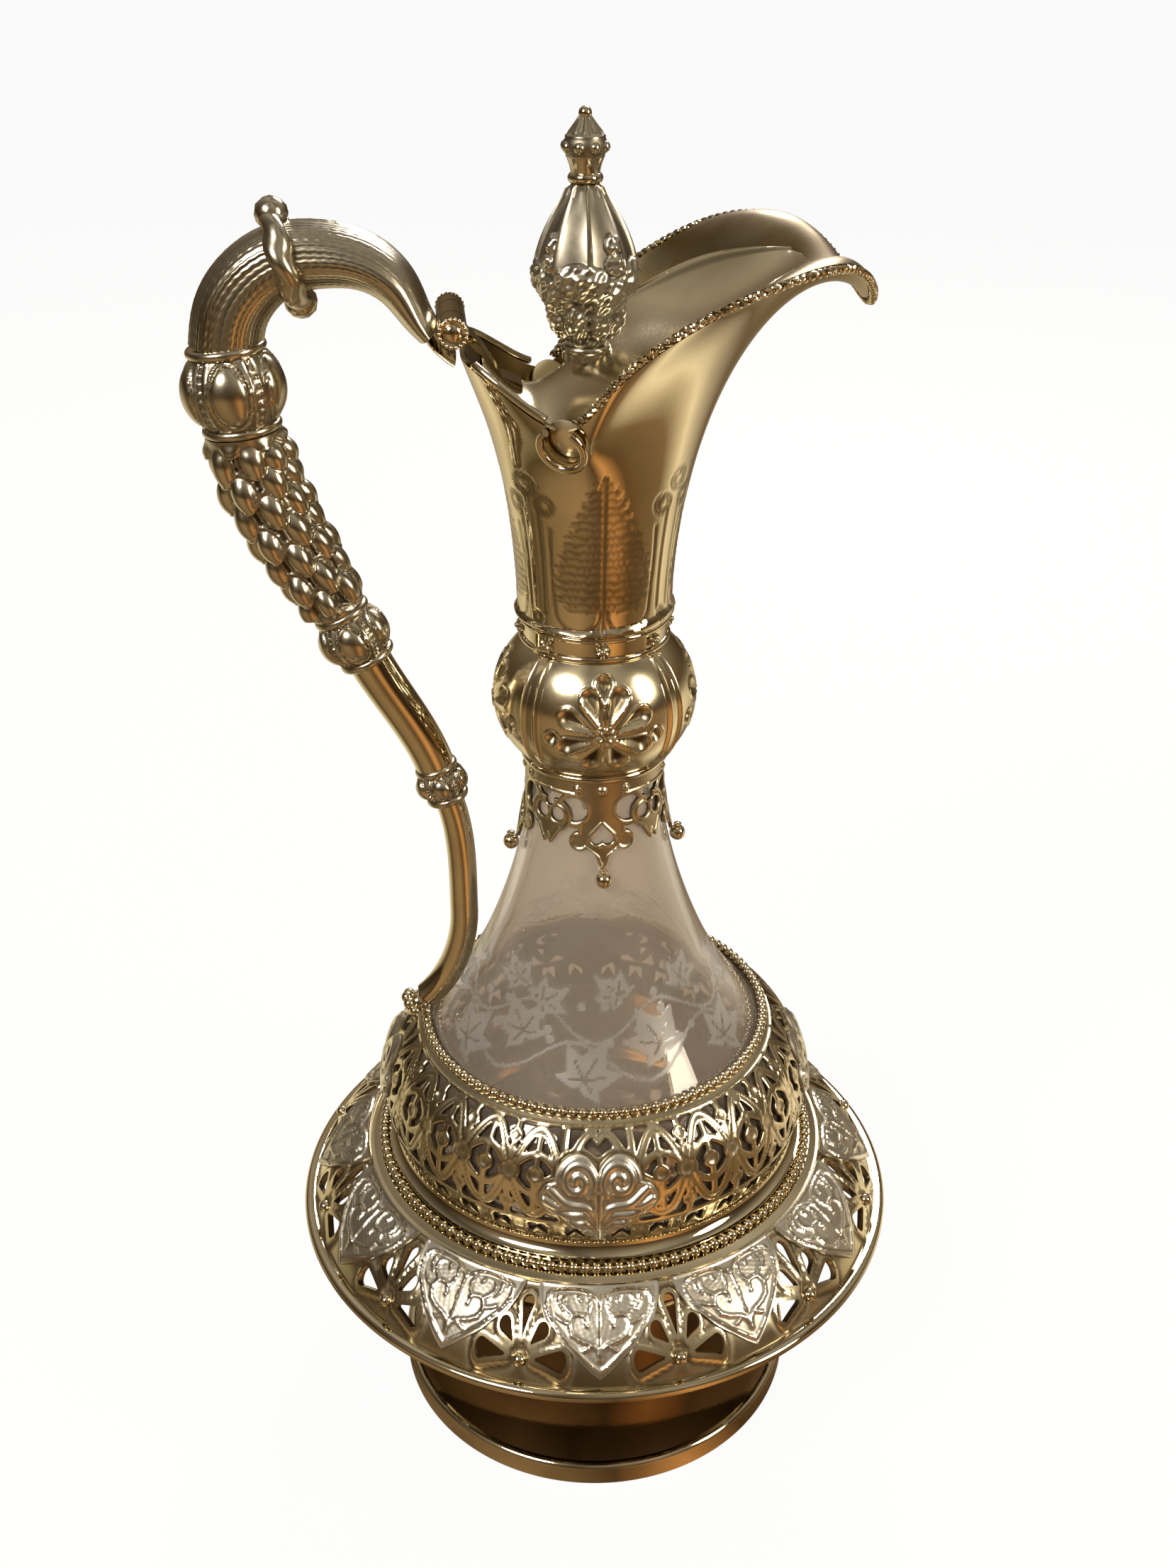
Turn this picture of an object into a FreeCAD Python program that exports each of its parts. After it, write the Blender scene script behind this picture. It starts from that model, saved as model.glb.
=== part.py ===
"""Glass claret jug with silver-gilt mounts: a pierced dish and cage, a saddle mouth and a hinged lid.

Millimetres. The origin is the middle of the foot's rest face, +Z is up, +X points to the spout and
the handle is on the -X side. The jug is symmetric about the XZ plane.
"""

import math
import os

import FreeCAD
import Part
import Sketcher

Vector = FreeCAD.Vector
Rotation = FreeCAD.Rotation
UP = Vector(0, 0, 1)
SIDE = Vector(0, 1, 0)
CENTRE = Vector(0, 0, 0)

doc = FreeCAD.newDocument("jug")
sheet = doc.addObject("Spreadsheet::Sheet", "Sizes")

# Driving dimensions: name, value in millimetres, degrees or pieces, and what it is
SIZES = [
    ("foot_radius", 58.8, "outside of the foot's rest ring"),
    ("foot_rim_height", 7.0, "height of the plain ring under the foot"),
    ("foot_rim_width", 4.6, "radial width of that ring"),
    ("foot_rim_round", 1.2, "rounded upper edge of that ring"),
    ("foot_ledge", 2.2, "step from the ring's outside to the foot's wall"),
    ("foot_waist_radius", 46.5, "narrowest part of the hollow-sided foot"),
    ("foot_waist_height", 38.0, "height of that waist"),
    ("foot_top_radius", 52.0, "foot where it meets the pan"),
    ("metal_wall", 1.4, "spun and raised sheet thickness"),
    ("seat_gap", 0.08, "solder or seating gap between round faces"),
    ("pan_floor_height", 64.0, "underside of the pan that holds the glass"),
    ("pan_radius", 54.6, "outside of the pan's wall"),
    ("pan_flange_width", 4.6, "pan flange that the cage stands on"),
    ("shoulder_height", 84.6, "flat shoulder of the dish under the lower bead wire"),
    ("shoulder_radius", 62.4, "outer edge of that shoulder"),
    ("dish_radius", 85.4, "widest edge of the dish"),
    ("dish_edge_height", 63.2, "underside of the dish's edge"),
    ("dish_edge_thickness", 3.0, "plain rounded edge of the dish"),
    ("dish_rim_width", 3.2, "plain rim between the edge and the pierced slope"),
    ("dish_crown", 2.6, "how far the slope bulges above a straight cone"),
    ("ornament_turn", -5.0, "turn of the dish and cage against the spout, degrees"),
    ("plaque_count", 12, "spade plaques and pierced palmettes round the dish"),
    ("plaque_thickness", 0.8, "applied silver plaque"),
    ("plaque_ledge", 2.6, "plain ledge between the shoulder and the plaques"),
    ("plaque_inner_radius", "=shoulder_radius + plaque_ledge", "upper edge of the plaques"),
    ("plaque_shoulder_share", 0.12, "straight upper part of a plaque's side, as a share of the plaque"),
    ("plaque_margin", 4.2, "point of the plaques to the dish's edge"),
    ("plaque_tip_radius", "=dish_radius - plaque_margin", "point of the plaques"),
    ("plaque_shoulder", "=plaque_shoulder_share * (plaque_tip_radius - plaque_inner_radius)", "that part"),
    ("plaque_slit", 2.4, "open slit between two plaques"),
    ("petal_width", 3.4, "widest part of a petal opening"),
    ("palmette_margin", 5.8, "ball at the root of each palmette to the dish's edge"),
    ("palmette_radius", "=dish_radius - palmette_margin", "that ball from the axis"),
    ("petal_share", 0.558, "petal opening of a palmette, as a share of the slope above its root"),
    ("petal_length", "=petal_share * (palmette_radius - shoulder_radius)", "that opening's length"),
    ("boss_radius", 1.3, "that ball"),
    ("lower_bead_radius", 60.9, "ring of the lower bead wire"),
    ("lower_bead_size", 2.6, "bead diameter of the lower wire"),
    ("cage_foot_radius", 56.4, "cage above its cove"),
    ("cage_foot_rise", 6.4, "where the cove ends, above the shoulder"),
    ("cage_foot_height", "=shoulder_height + cage_foot_rise", "that height"),
    ("cage_cove", 2.6, "how far the cove flares at its foot"),
    ("cage_belly_radius", 59.4, "widest part of the cage"),
    ("cage_belly_rise", 13.0, "that belly above the cove"),
    ("cage_belly_height", "=cage_foot_height + cage_belly_rise", "height of that belly"),
    ("cage_top_radius", 46.9, "top edge of the cage"),
    ("cage_top_rise", 33.4, "that edge above the cove"),
    ("cage_top_height", "=cage_foot_height + cage_top_rise", "height of that edge"),
    ("cage_wall", 1.0, "cage sheet thickness"),
    ("cartouche_width", 30.0, "silver cartouche on the cage"),
    ("cartouche_height", 24.0, "the same, upwards"),
    ("cartouche_thickness", 0.8, "the same, outwards"),
    ("upper_bead_size", 2.2, "bead diameter of the upper wire"),
    ("glass_gap", 0.35, "lining gap between the glass and its mounts"),
    ("glass_wall", 2.4, "glass thickness"),
    ("glass_floor", 4.0, "glass bottom thickness"),
    ("glass_heel", 8.0, "rounded heel of the glass"),
    ("glass_cone_radius", 31.0, "outside of the glass half way down its shoulder"),
    ("glass_cone_rise", 22.6, "that point above the cage"),
    ("glass_cone_height", "=cage_top_height + glass_cone_rise", "height of that point"),
    ("glass_sweep_radius", 22.4, "outside of the glass at the sweep of its cone"),
    ("glass_sweep_share", 0.451, "share of the way from the shoulder to the neck at that point"),
    ("glass_sweep_height",
     "=glass_cone_height + glass_sweep_share * (glass_neck_height - glass_cone_height)",
     "height of that point"),
    ("glass_neck_radius", 16.6, "outside of the glass neck"),
    ("glass_neck_height", 198.0, "where the neck becomes straight"),
    ("glass_rise", 6.0, "glass neck above the collar"),
    ("seal_height", 5.0, "cork bush round the top of the glass neck"),
    ("seat_height", 4.0, "cork ring under the glass"),
    ("seat_radius", 46.0, "outside of that ring"),
    ("seat_width", 16.0, "radial width of that ring"),
    ("skirt_wall", 0.9, "pierced skirt under the knop"),
    ("skirt_drop", 24.0, "skirt from the knop to the pendants' points"),
    ("skirt_scallop", 15.0, "skirt from the knop to its scalloped edge"),
    ("skirt_hole", 2.9, "radius of the skirt's round openings"),
    ("skirt_hole_drop", 8.0, "those openings below the knop"),
    ("pendant_width", 8.4, "one of the skirt's pendants"),
    ("pendant_count", 4, "pendants round the skirt and panels round the knop"),
    ("drop_radius", 1.5, "ball at a pendant's point"),
    ("knop_bottom", 205.8, "underside of the knop's ring"),
    ("knop_ring_radius", 18.9, "ring under the knop"),
    ("knop_ring_height", 2.0, "height of that ring"),
    ("knop_radius", 25.4, "widest part of the knop"),
    ("knop_height", 30.6, "knop above its ring"),
    ("knop_end_radius", 18.2, "knop at its two ends"),
    ("rib_radius", 0.6, "wire rib between two panels of the knop"),
    ("rib_spread", 9.0, "degrees between the two ribs of a pair"),
    ("rib_reach", 50.0, "degrees of the knop's curve that a rib covers, each way"),
    ("collar_radius", 18.0, "band above the knop"),
    ("collar_height", 6.6, "height of that band"),
    ("collar_wire", 0.8, "edge wire radius of the band"),
    ("stud_count", 8, "studs round the band"),
    ("stud_radius", 1.6, "one stud"),
    ("neck_foot_radius", 18.9, "metal neck at its foot"),
    ("neck_wall", 1.3, "metal neck thickness"),
    ("neck_swell", 20.0, "neck radius that its sides lean to"),
    ("neck_rise_back", 40.0, "height of that lean under the hinge"),
    ("neck_rise_spout", 67.0, "height of that lean under the spout"),
    ("rim_flare", 13.0, "upright reach of the flare below the rim"),
    ("rim_draw", 0.86, "share of the rim's radius where the flare starts"),
    ("lip_curl", 13.0, "how high the spout's lip rises before it turns down"),
    ("spout_reach", 61.0, "tip of the spout from the axis"),
    ("spout_tip_height", 319.0, "tip of the spout"),
    ("spout_lip_reach", 52.0, "shoulder of the spout's lip"),
    ("spout_lip_half", 26.0, "half width there"),
    ("spout_lip_height", 330.0, "height there"),
    ("crest_reach", 38.0, "highest stretch of the rim"),
    ("crest_half", 37.4, "half width there"),
    ("crest_height", 330.4, "height there"),
    ("flank_reach", 15.0, "widest stretch of the rising rim"),
    ("flank_half", 38.8, "half width there"),
    ("flank_height", 320.0, "height there"),
    ("rise_half", 35.9, "half width of the rim beside the axis"),
    ("rise_height", 307.7, "height there"),
    ("notch_reach", -9.5, "dip of the rim, along X"),
    ("notch_half", 28.2, "half width there"),
    ("notch_height", 297.8, "height there"),
    ("cheek_reach", -20.0, "rim between the dip and the hinge, along X"),
    ("cheek_half", 22.4, "half width there"),
    ("cheek_height", 302.6, "height there"),
    ("back_reach", -28.4, "rim under the hinge, along X"),
    ("back_half", 15.6, "half width of its back"),
    ("back_bow", 2.2, "how far the middle of the back bows out"),
    ("back_height", 308.4, "height there"),
    ("keyhole_radius", 4.4, "round window at the bottom of each dip"),
    ("keyhole_drop", 3.6, "that window's middle below the rim"),
    ("keyhole_wire", 0.9, "wire round the window"),
    ("rim_wire", 0.9, "wire along the rim"),
    ("rim_wire_gap", 0.45, "solder gap between that wire and the rim"),
    ("lid_wall", 1.2, "lid sheet thickness"),
    ("lid_gap", 1.8, "lid edge to the inside of the neck"),
    ("lid_sink", 3.4, "lid edge below the rim"),
    ("lid_tip_reach", 47.6, "leaf point of the lid"),
    ("lid_tip_half", 6.0, "half width of that point"),
    ("lid_back_reach", -25.8, "lid edge by the hinge, along X"),
    ("lid_back_rise", 2.6, "lid's middle above the rim there"),
    ("lid_valley_reach", -16.5, "lowest stretch of the lid's middle, along X"),
    ("lid_valley_height", 300.2, "height there"),
    ("lid_top_height", 306.8, "lid under the finial"),
    ("lid_trough_reach", 20.0, "lid's trough towards the spout"),
    ("lid_trough_height", 312.4, "height there"),
    ("lid_nose_reach", 39.0, "lid's middle in the spout"),
    ("lid_nose_height", 322.6, "height there"),
    ("lobe_radius", 3.5, "disc of the lid that shows in the keyhole"),
    ("lobe_thickness", 1.2, "the same, across"),
    ("lobe_gap", 0.5, "disc to the inside of the neck"),
    ("hinge_reach", -32.2, "lid hinge axis, along X"),
    ("hinge_height", 315.8, "lid hinge axis above the rest face"),
    ("barrel_radius", 3.3, "hinge knuckles"),
    ("barrel_length", 26.0, "all knuckles together"),
    ("lid_knuckle_length", 11.0, "middle knuckle, on the lid"),
    ("knuckle_gap", 0.35, "side gap between knuckles"),
    ("knuckle_room", 0.5, "room round the turning knuckle"),
    ("leaf_thickness", 1.6, "strap from the knuckle to the lid"),
    ("leaf_length", 9.0, "how far that strap lies on the lid"),
    ("bracket_drop", 4.0, "bracket below the rim"),
    ("bracket_gap", 1.0, "bracket behind the bowed back of the rim"),
    ("bracket_rear", 5.4, "bracket behind the hinge axis"),
    ("pin_radius", 1.2, "hinge pin"),
    ("pin_clearance", 0.06, "running clearance of the pin in the lid's knuckle"),
    ("cap_radius", 2.2, "domed end of the hinge pin"),
    ("cap_height", 0.9, "the same, outwards"),
    ("finial_reach", -2.0, "finial axis, along X"),
    ("finial_ring_radius", 5.4, "ring under the finial"),
    ("finial_ring_height", 3.0, "top of that ring above the lid"),
    ("finial_foot_radius", 5.0, "leafy body on its ring"),
    ("finial_radius", 11.8, "widest part of the leafy body"),
    ("finial_belly_height", 17.6, "that part above the ring"),
    ("finial_body_height", 34.6, "leafy body above its ring"),
    ("finial_collar_radius", 3.5, "ring between body and turban"),
    ("finial_collar_height", 2.2, "height of that ring"),
    ("turban_radius", 5.7, "turban of the finial"),
    ("turban_height", 11.2, "turban and its cone"),
    ("turban_belly", 4.8, "widest part above the ring"),
    ("turban_tip_radius", 1.5, "top of the cone"),
    ("tip_radius", 1.1, "ball on top"),
    ("screw_radius", 1.5, "screw that holds the finial to the lid"),
    ("screw_depth", 14.0, "screw inside the finial"),
    ("nut_radius", 3.4, "nut under the lid"),
    ("nut_height", 2.2, "height of that nut"),
    ("ball_upper_reach", -81.4, "upper ball of the handle, along X"),
    ("ball_upper_height", 302.0, "the same, upwards"),
    ("ball_upper_tilt", 6.0, "lean of its axis, degrees"),
    ("ball_upper_radius", 11.8, "the same, across"),
    ("ball_upper_length", 20.0, "the same, along the handle"),
    ("ball_lower_reach", -58.9, "lower ball, along X"),
    ("ball_lower_height", 240.9, "the same, upwards"),
    ("ball_lower_tilt", 25.0, "lean of its axis, degrees"),
    ("ball_lower_radius", 8.9, "the same, across"),
    ("ball_lower_length", 15.0, "the same, along the handle"),
    ("ball_small_reach", -39.5, "small ball, along X"),
    ("ball_small_height", 199.2, "the same, upwards"),
    ("ball_small_tilt", 17.0, "lean of its axis, degrees"),
    ("ball_small_radius", 6.7, "the same, across"),
    ("ball_small_length", 11.0, "the same, along the handle"),
    ("ball_ring", 2.2, "plain end ring of a ball, along the handle"),
    ("grip_radius", 8.8, "leafy grip between the balls"),
    ("grip_end_radius", 6.6, "grip at its lower end"),
    ("mid_tube_radius", 5.4, "plain tube under the lower ball"),
    ("low_tube_radius", 3.7, "slim tube at the bottom"),
    ("horn_radius", 8.0, "horn where it meets the upper ball"),
    ("horn_tip_thickness", 2.9, "half thickness of the horn by the hinge"),
    ("horn_tip_half", 12.4, "half width of the horn by the hinge"),
    ("horn_rise_reach", -44.0, "horn half way up, along X"),
    ("horn_rise_height", 324.6, "the same, upwards"),
    ("horn_crown_reach", -60.0, "horn at its top, along X"),
    ("horn_crown_height", 330.6, "the same, upwards"),
    ("horn_fall_reach", -75.4, "horn half way down, along X"),
    ("horn_fall_height", 325.4, "the same, upwards"),
    ("tie_share", 0.58, "share of the horn's length at its tie ring"),
    ("tie_wire", 1.2, "wire of the ring tied round the horn"),
    ("tie_ball_radius", 2.9, "ball at the ring's top and bottom"),
    ("terminal_reach", -46.4, "lower end of the handle, along X"),
    ("terminal_rise", 8.0, "the same, above the cage"),
    ("terminal_height", "=cage_top_height + terminal_rise", "the same, upwards"),
    ("bow_reach", -35.2, "lower tube where it is nearest to the axis, along X"),
    ("bow_rise", 27.6, "the same, above the handle's lower end"),
    ("bow_height", "=terminal_height + bow_rise", "the same, upwards"),
    ("terminal_radius", 3.0, "bead at that end"),
    ("terminal_petal", 1.7, "petals round that bead"),
]
for row, (alias, value, meaning) in enumerate(SIZES, start=1):
    sheet.set(f"A{row}", alias)
    sheet.set(f"B{row}", str(value))
    sheet.setAlias(f"B{row}", alias)
    sheet.set(f"C{row}", meaning)
doc.recompute()


class Sizes:
    """Reads one cell of the sheet as an attribute."""

    def __getattr__(self, alias):
        return float(getattr(sheet, alias))


s = Sizes()
subparts = []


def keep(item, label):
    """Gives a finished object its label and lists it for export."""
    item.Label = label
    subparts.append(item)
    return item


def kept_shape(label, shape):
    """A sub-part whose form is set by Part's own functions."""
    item = doc.addObject("Part::Feature", label)
    item.Shape = shape
    return keep(item, label)


# Turned bodies: a sketch of (radius, height) corners, each tied to the sheet, and one revolution


def number(expression):
    return float(sheet.evalExpression(expression))


def in_sheet(expression):
    """The same expression with every size written as a cell of the sheet."""
    return " ".join("Sizes." + word if word[0].isalpha() else word for word in expression.split())


def tie(sketch, geometry, point, axis, expression):
    """Ties one coordinate of a sketch point to a size; a zero lies on the sketch's own axis."""
    if expression == "0":
        own_axis = -2 if axis == "X" else -1
        sketch.addConstraint(Sketcher.Constraint("PointOnObject", geometry, point, own_axis))
        return
    place = sketch.addConstraint(
        Sketcher.Constraint("Distance" + axis, -1, 1, geometry, point, number(expression))
    )
    sketch.setExpression(f"Constraints[{place}]", in_sheet(expression))


def add_stretch(sketch, start, end, middle):
    """A line, or an arc through a middle point. Returns the geometry and its start and end points."""
    if middle is None:
        return sketch.addGeometry(Part.LineSegment(start, end), False), 1, 2
    turn = (middle - start).cross(end - middle).z
    if turn > 0:
        return sketch.addGeometry(Part.Arc(start, middle, end), False), 1, 2
    return sketch.addGeometry(Part.Arc(end, middle, start), False), 2, 1


def turned_body(label, outline, place=None):
    """A body turned about its own Z. Each corner is a radius and a height as expressions; a third entry
    is a point on the way to it, which makes the stretch that ends there an arc."""
    body = doc.addObject("PartDesign::Body", label)
    sketch = body.newObject("Sketcher::SketchObject", label + "_outline")
    planes = body.Origin.OriginFeatures
    sketch.AttachmentSupport = [(next(f for f in planes if f.Role == "XZ_Plane"), "")]
    sketch.MapMode = "FlatFace"
    corners = [Vector(number(c[0]), number(c[1]), 0) for c in outline]
    stretches = []
    for i, corner in enumerate(outline):
        middle = Vector(number(corner[2][0]), number(corner[2][1]), 0) if len(corner) > 2 else None
        stretches.append(add_stretch(sketch, corners[i - 1], corners[i], middle))
    for i, corner in enumerate(outline):
        geometry, start, end = stretches[i]
        before, _, before_end = stretches[i - 1]
        sketch.addConstraint(Sketcher.Constraint("Coincident", geometry, start, before, before_end))
        tie(sketch, geometry, end, "X", corner[0])
        tie(sketch, geometry, end, "Y", corner[1])
        if len(corner) > 2:
            middle = Vector(number(corner[2][0]), number(corner[2][1]), 0)
            mark = sketch.addGeometry(Part.Point(middle), True)
            tie(sketch, mark, 1, "X", corner[2][0])
            tie(sketch, mark, 1, "Y", corner[2][1])
            sketch.addConstraint(Sketcher.Constraint("PointOnObject", mark, 1, geometry))
    turn = body.newObject("PartDesign::Revolution", label + "_turn")
    turn.Profile = sketch
    turn.ReferenceAxis = (sketch, ["V_Axis"])
    turn.Angle = 360
    if place is not None:
        body.Placement = place
    return keep(body, label)


# Free-form sheets and rods: rows of points by formula, joined by a spline surface


def spline_surface(rows):
    surface = Part.BSplineSurface()
    surface.interpolate(rows)
    return surface


def closed_solid(faces, label):
    """Sews faces that share their edges into one solid."""
    shell = Part.Shell(faces)
    shell.sewShape()
    solid = Part.Solid(shell)
    if solid.Volume < 0:
        solid.reverse()
    if not solid.isValid():
        raise ValueError(label + " doesn't close")
    return solid


def ruled(first, second):
    return Part.makeRuledSurface(first.toShape(), second.toShape())


def ring_of(middle, across, along_side, thick, wide, points=12):
    """One elliptical ring of points, closed on itself."""
    turns = [2 * math.pi * i / points for i in range(points + 1)]
    return [middle + across * (thick * math.cos(a)) + along_side * (wide * math.sin(a)) for a in turns]


def rod_solid(rings, label):
    """A rod through closed rings of points, with flat ends."""
    surface = spline_surface(rings)
    ends = []
    for parameter in surface.bounds()[0:2]:
        ends.append(Part.Face(Part.Wire(surface.uIso(parameter).toShape())))
    return closed_solid([surface.toShape()] + ends, label)


def biggest(shape):
    return max(shape.Solids, key=lambda solid: solid.Volume)


def turned_copies(shape, count, start=0.0):
    """The same solid repeated round the jug's axis."""
    copies = []
    for i in range(int(count)):
        copy = shape.copy()
        copy.rotate(CENTRE, UP, start + 360.0 * i / int(count))
        copies.append(copy)
    return copies


# Foot, pan, glass and dish

turned_body("foot_rim", [
    ("foot_radius - foot_rim_width", "0"),
    ("foot_radius", "0"),
    ("foot_radius", "foot_rim_height - foot_rim_round"),
    ("foot_radius - foot_rim_round", "foot_rim_height",
     ("foot_radius - 0.293 * foot_rim_round", "foot_rim_height - 0.293 * foot_rim_round")),
    ("foot_radius - foot_rim_width", "foot_rim_height"),
])
turned_body("foot", [
    ("foot_radius - foot_ledge - metal_wall", "foot_rim_height",
     ("foot_waist_radius - metal_wall", "foot_waist_height")),
    ("foot_radius - foot_ledge", "foot_rim_height"),
    ("foot_top_radius", "pan_floor_height", ("foot_waist_radius", "foot_waist_height")),
    ("foot_top_radius - metal_wall", "pan_floor_height"),
])
turned_body("base_pan", [
    ("0", "pan_floor_height"),
    ("pan_radius", "pan_floor_height"),
    ("pan_radius", "shoulder_height"),
    ("pan_radius + pan_flange_width", "shoulder_height"),
    ("pan_radius + pan_flange_width", "shoulder_height + metal_wall"),
    ("pan_radius - metal_wall", "shoulder_height + metal_wall"),
    ("pan_radius - metal_wall", "pan_floor_height + metal_wall"),
    ("0", "pan_floor_height + metal_wall"),
])
SEAT_TOP = "pan_floor_height + metal_wall + seat_height"
turned_body("glass_seat", [
    ("seat_radius - seat_width", "pan_floor_height + metal_wall"),
    ("seat_radius", "pan_floor_height + metal_wall"),
    ("seat_radius", SEAT_TOP),
    ("seat_radius - seat_width", SEAT_TOP),
])

GLASS_LOW = "pan_radius - metal_wall - glass_gap"
GLASS_FOOT = "cage_foot_radius - cage_wall - glass_gap"
GLASS_BELLY = "cage_belly_radius - cage_wall - glass_gap"
GLASS_TOP = "cage_top_radius - cage_wall - glass_gap"
COLLAR_TOP = "knop_bottom + knop_ring_height + knop_height + collar_height"
SHOULDER_TOP = "shoulder_height + metal_wall"
CONE_MIDDLE = (
    "0.5 * cage_top_radius + 0.5 * glass_cone_radius - cage_wall - glass_gap",
    "0.5 * cage_top_height + 0.5 * glass_cone_height - glass_gap",
)
turned_body("glass_body", [
    ("0", SEAT_TOP),
    (GLASS_LOW + " - glass_heel", SEAT_TOP),
    (GLASS_LOW, SEAT_TOP + " + glass_heel",
     (GLASS_LOW + " - 0.293 * glass_heel", SEAT_TOP + " + 0.293 * glass_heel")),
    (GLASS_LOW, SHOULDER_TOP),
    (GLASS_FOOT, "cage_foot_height"),
    (GLASS_TOP, "cage_top_height", (GLASS_BELLY, "cage_belly_height")),
    ("glass_cone_radius", "glass_cone_height", CONE_MIDDLE),
    ("glass_neck_radius", "glass_neck_height", ("glass_sweep_radius", "glass_sweep_height")),
    ("glass_neck_radius", COLLAR_TOP + " + glass_rise"),
    ("glass_neck_radius - glass_wall", COLLAR_TOP + " + glass_rise"),
    ("glass_neck_radius - glass_wall", "glass_neck_height"),
    ("glass_cone_radius - glass_wall", "glass_cone_height - glass_wall",
     ("glass_sweep_radius - glass_wall", "glass_sweep_height")),
    (GLASS_TOP + " - glass_wall", "cage_top_height - glass_wall",
     (CONE_MIDDLE[0] + " - glass_wall", CONE_MIDDLE[1] + " - glass_wall")),
    (GLASS_FOOT + " - glass_wall", "cage_foot_height", (GLASS_BELLY + " - glass_wall", "cage_belly_height")),
    (GLASS_LOW + " - glass_wall", SHOULDER_TOP),
    (GLASS_LOW + " - glass_wall", SEAT_TOP + " + glass_heel"),
    (GLASS_LOW + " - glass_heel", SEAT_TOP + " + glass_floor",
     (GLASS_LOW + " - 0.293 * glass_heel - glass_wall",
      SEAT_TOP + " + 0.293 * glass_heel + 0.5 * glass_floor")),
    ("0", SEAT_TOP + " + glass_floor"),
])

SLOPE_FOOT = ("dish_radius - dish_rim_width", "dish_edge_height + dish_edge_thickness")
SLOPE_MIDDLE = (
    "0.5 * shoulder_radius + 0.5 * dish_radius - 0.5 * dish_rim_width + 0.66 * dish_crown",
    "0.5 * shoulder_height + 0.5 * dish_edge_height + 0.5 * dish_edge_thickness + 0.76 * dish_crown",
)
dish = turned_body("base_dish", [
    ("pan_radius + seat_gap", "shoulder_height"),
    ("pan_radius + seat_gap", "shoulder_height - metal_wall"),
    ("shoulder_radius - metal_wall", "shoulder_height - metal_wall"),
    (SLOPE_FOOT[0] + " - metal_wall", SLOPE_FOOT[1] + " - 0.5 * metal_wall",
     (SLOPE_MIDDLE[0] + " - 0.66 * metal_wall", SLOPE_MIDDLE[1] + " - 0.76 * metal_wall")),
    ("dish_radius - dish_rim_width - metal_wall", "dish_edge_height"),
    ("dish_radius - 0.5 * dish_edge_thickness", "dish_edge_height"),
    ("dish_radius - 0.5 * dish_edge_thickness", "dish_edge_height + dish_edge_thickness",
     ("dish_radius", "dish_edge_height + 0.5 * dish_edge_thickness")),
    SLOPE_FOOT,
    ("shoulder_radius", "shoulder_height", SLOPE_MIDDLE),
])


def petal_edges(root, lean, length, width):
    """A drop-shaped outline in plan: a point at its root and a round end, leaning off the inward line."""
    round_radius = 0.5 * width
    reach = length - round_radius
    inward = Vector(-math.cos(lean), math.sin(lean), 0)
    across = Vector(inward.y, -inward.x, 0)
    sine = round_radius / reach
    cosine = math.sqrt(1 - sine * sine)
    middle = root + inward * reach
    left = middle - inward * (round_radius * sine) + across * (round_radius * cosine)
    right = middle - inward * (round_radius * sine) - across * (round_radius * cosine)
    return [
        Part.LineSegment(root, left),
        Part.Arc(left, middle + inward * round_radius, right),
        Part.LineSegment(right, root),
    ]


def pierce_dish():
    """Five petal openings and the slit above them, repeated round the dish."""
    palmette = dish.newObject("Sketcher::SketchObject", "palmette_outline")
    planes = dish.Origin.OriginFeatures
    palmette.AttachmentSupport = [(next(f for f in planes if f.Role == "XY_Plane"), "")]
    palmette.MapMode = "FlatFace"
    turn = s.ornament_turn + 180.0 / s.plaque_count
    petals = [(0.0, 1.0), (0.70, 0.82), (-0.70, 0.82), (1.30, 1.0), (-1.30, 1.0)]
    for lean, share in petals:
        start = s.palmette_radius - 1.6 * s.boss_radius * math.cos(lean)
        root = Vector(start, 1.6 * s.boss_radius * math.sin(lean), 0)
        for edge in petal_edges(root, lean, s.petal_length * share, s.petal_width):
            edge.rotate(FreeCAD.Placement(CENTRE, UP, turn))
            palmette.addGeometry(edge, False)
    cut = dish.newObject("PartDesign::Pocket", "palmette_cut")
    cut.Profile = palmette
    cut.Type = "ThroughAll"
    cut.Reversed = True
    ring = dish.newObject("PartDesign::PolarPattern", "palmette_ring")
    ring.Originals = [cut]
    ring.Axis = (palmette, ["N_Axis"])
    ring.Angle = 360
    ring.setExpression("Occurrences", "Sizes.plaque_count")
    dish.Tip = ring


pierce_dish()


# Plaques and bosses on the dish, and the two bead wires


def arc_of(expressions):
    """Three points of a profile arc, as vectors in the XZ plane."""
    return [Vector(number(radius), 0, number(height)) for radius, height in expressions]


def grown(points, distance):
    """The same profile arc moved outwards, away from the jug's axis."""
    centre = Part.Circle(*points).Center
    moved = []
    for point in points:
        away = (point - centre).normalize()
        if away.x < 0:
            away = away * -1
        moved.append(point + away * distance)
    return moved


def turned_skin(points, inside, outside):
    """A thin turned sheet that lies over a profile arc."""
    low = grown(points, inside)
    high = grown(points, outside)
    edges = [
        Part.Arc(*low).toShape(),
        Part.makeLine(low[2], high[2]),
        Part.Arc(high[2], high[1], high[0]).toShape(),
        Part.makeLine(high[0], low[0]),
    ]
    return Part.Face(Part.Wire(edges)).revolve(CENTRE, UP, 360)


def prism(edges, push):
    """A flat outline pushed into a solid."""
    return Part.Face(Part.Wire([edge.toShape() for edge in edges])).extrude(push)


def height_on(points, radius):
    """Height of a profile arc at a radius, on its upper side."""
    arc = Part.Circle(*points)
    return arc.Center.z + math.sqrt(arc.Radius ** 2 - (radius - arc.Center.x) ** 2)


slope = arc_of([SLOPE_FOOT, SLOPE_MIDDLE, ("shoulder_radius", "shoulder_height")])


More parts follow.
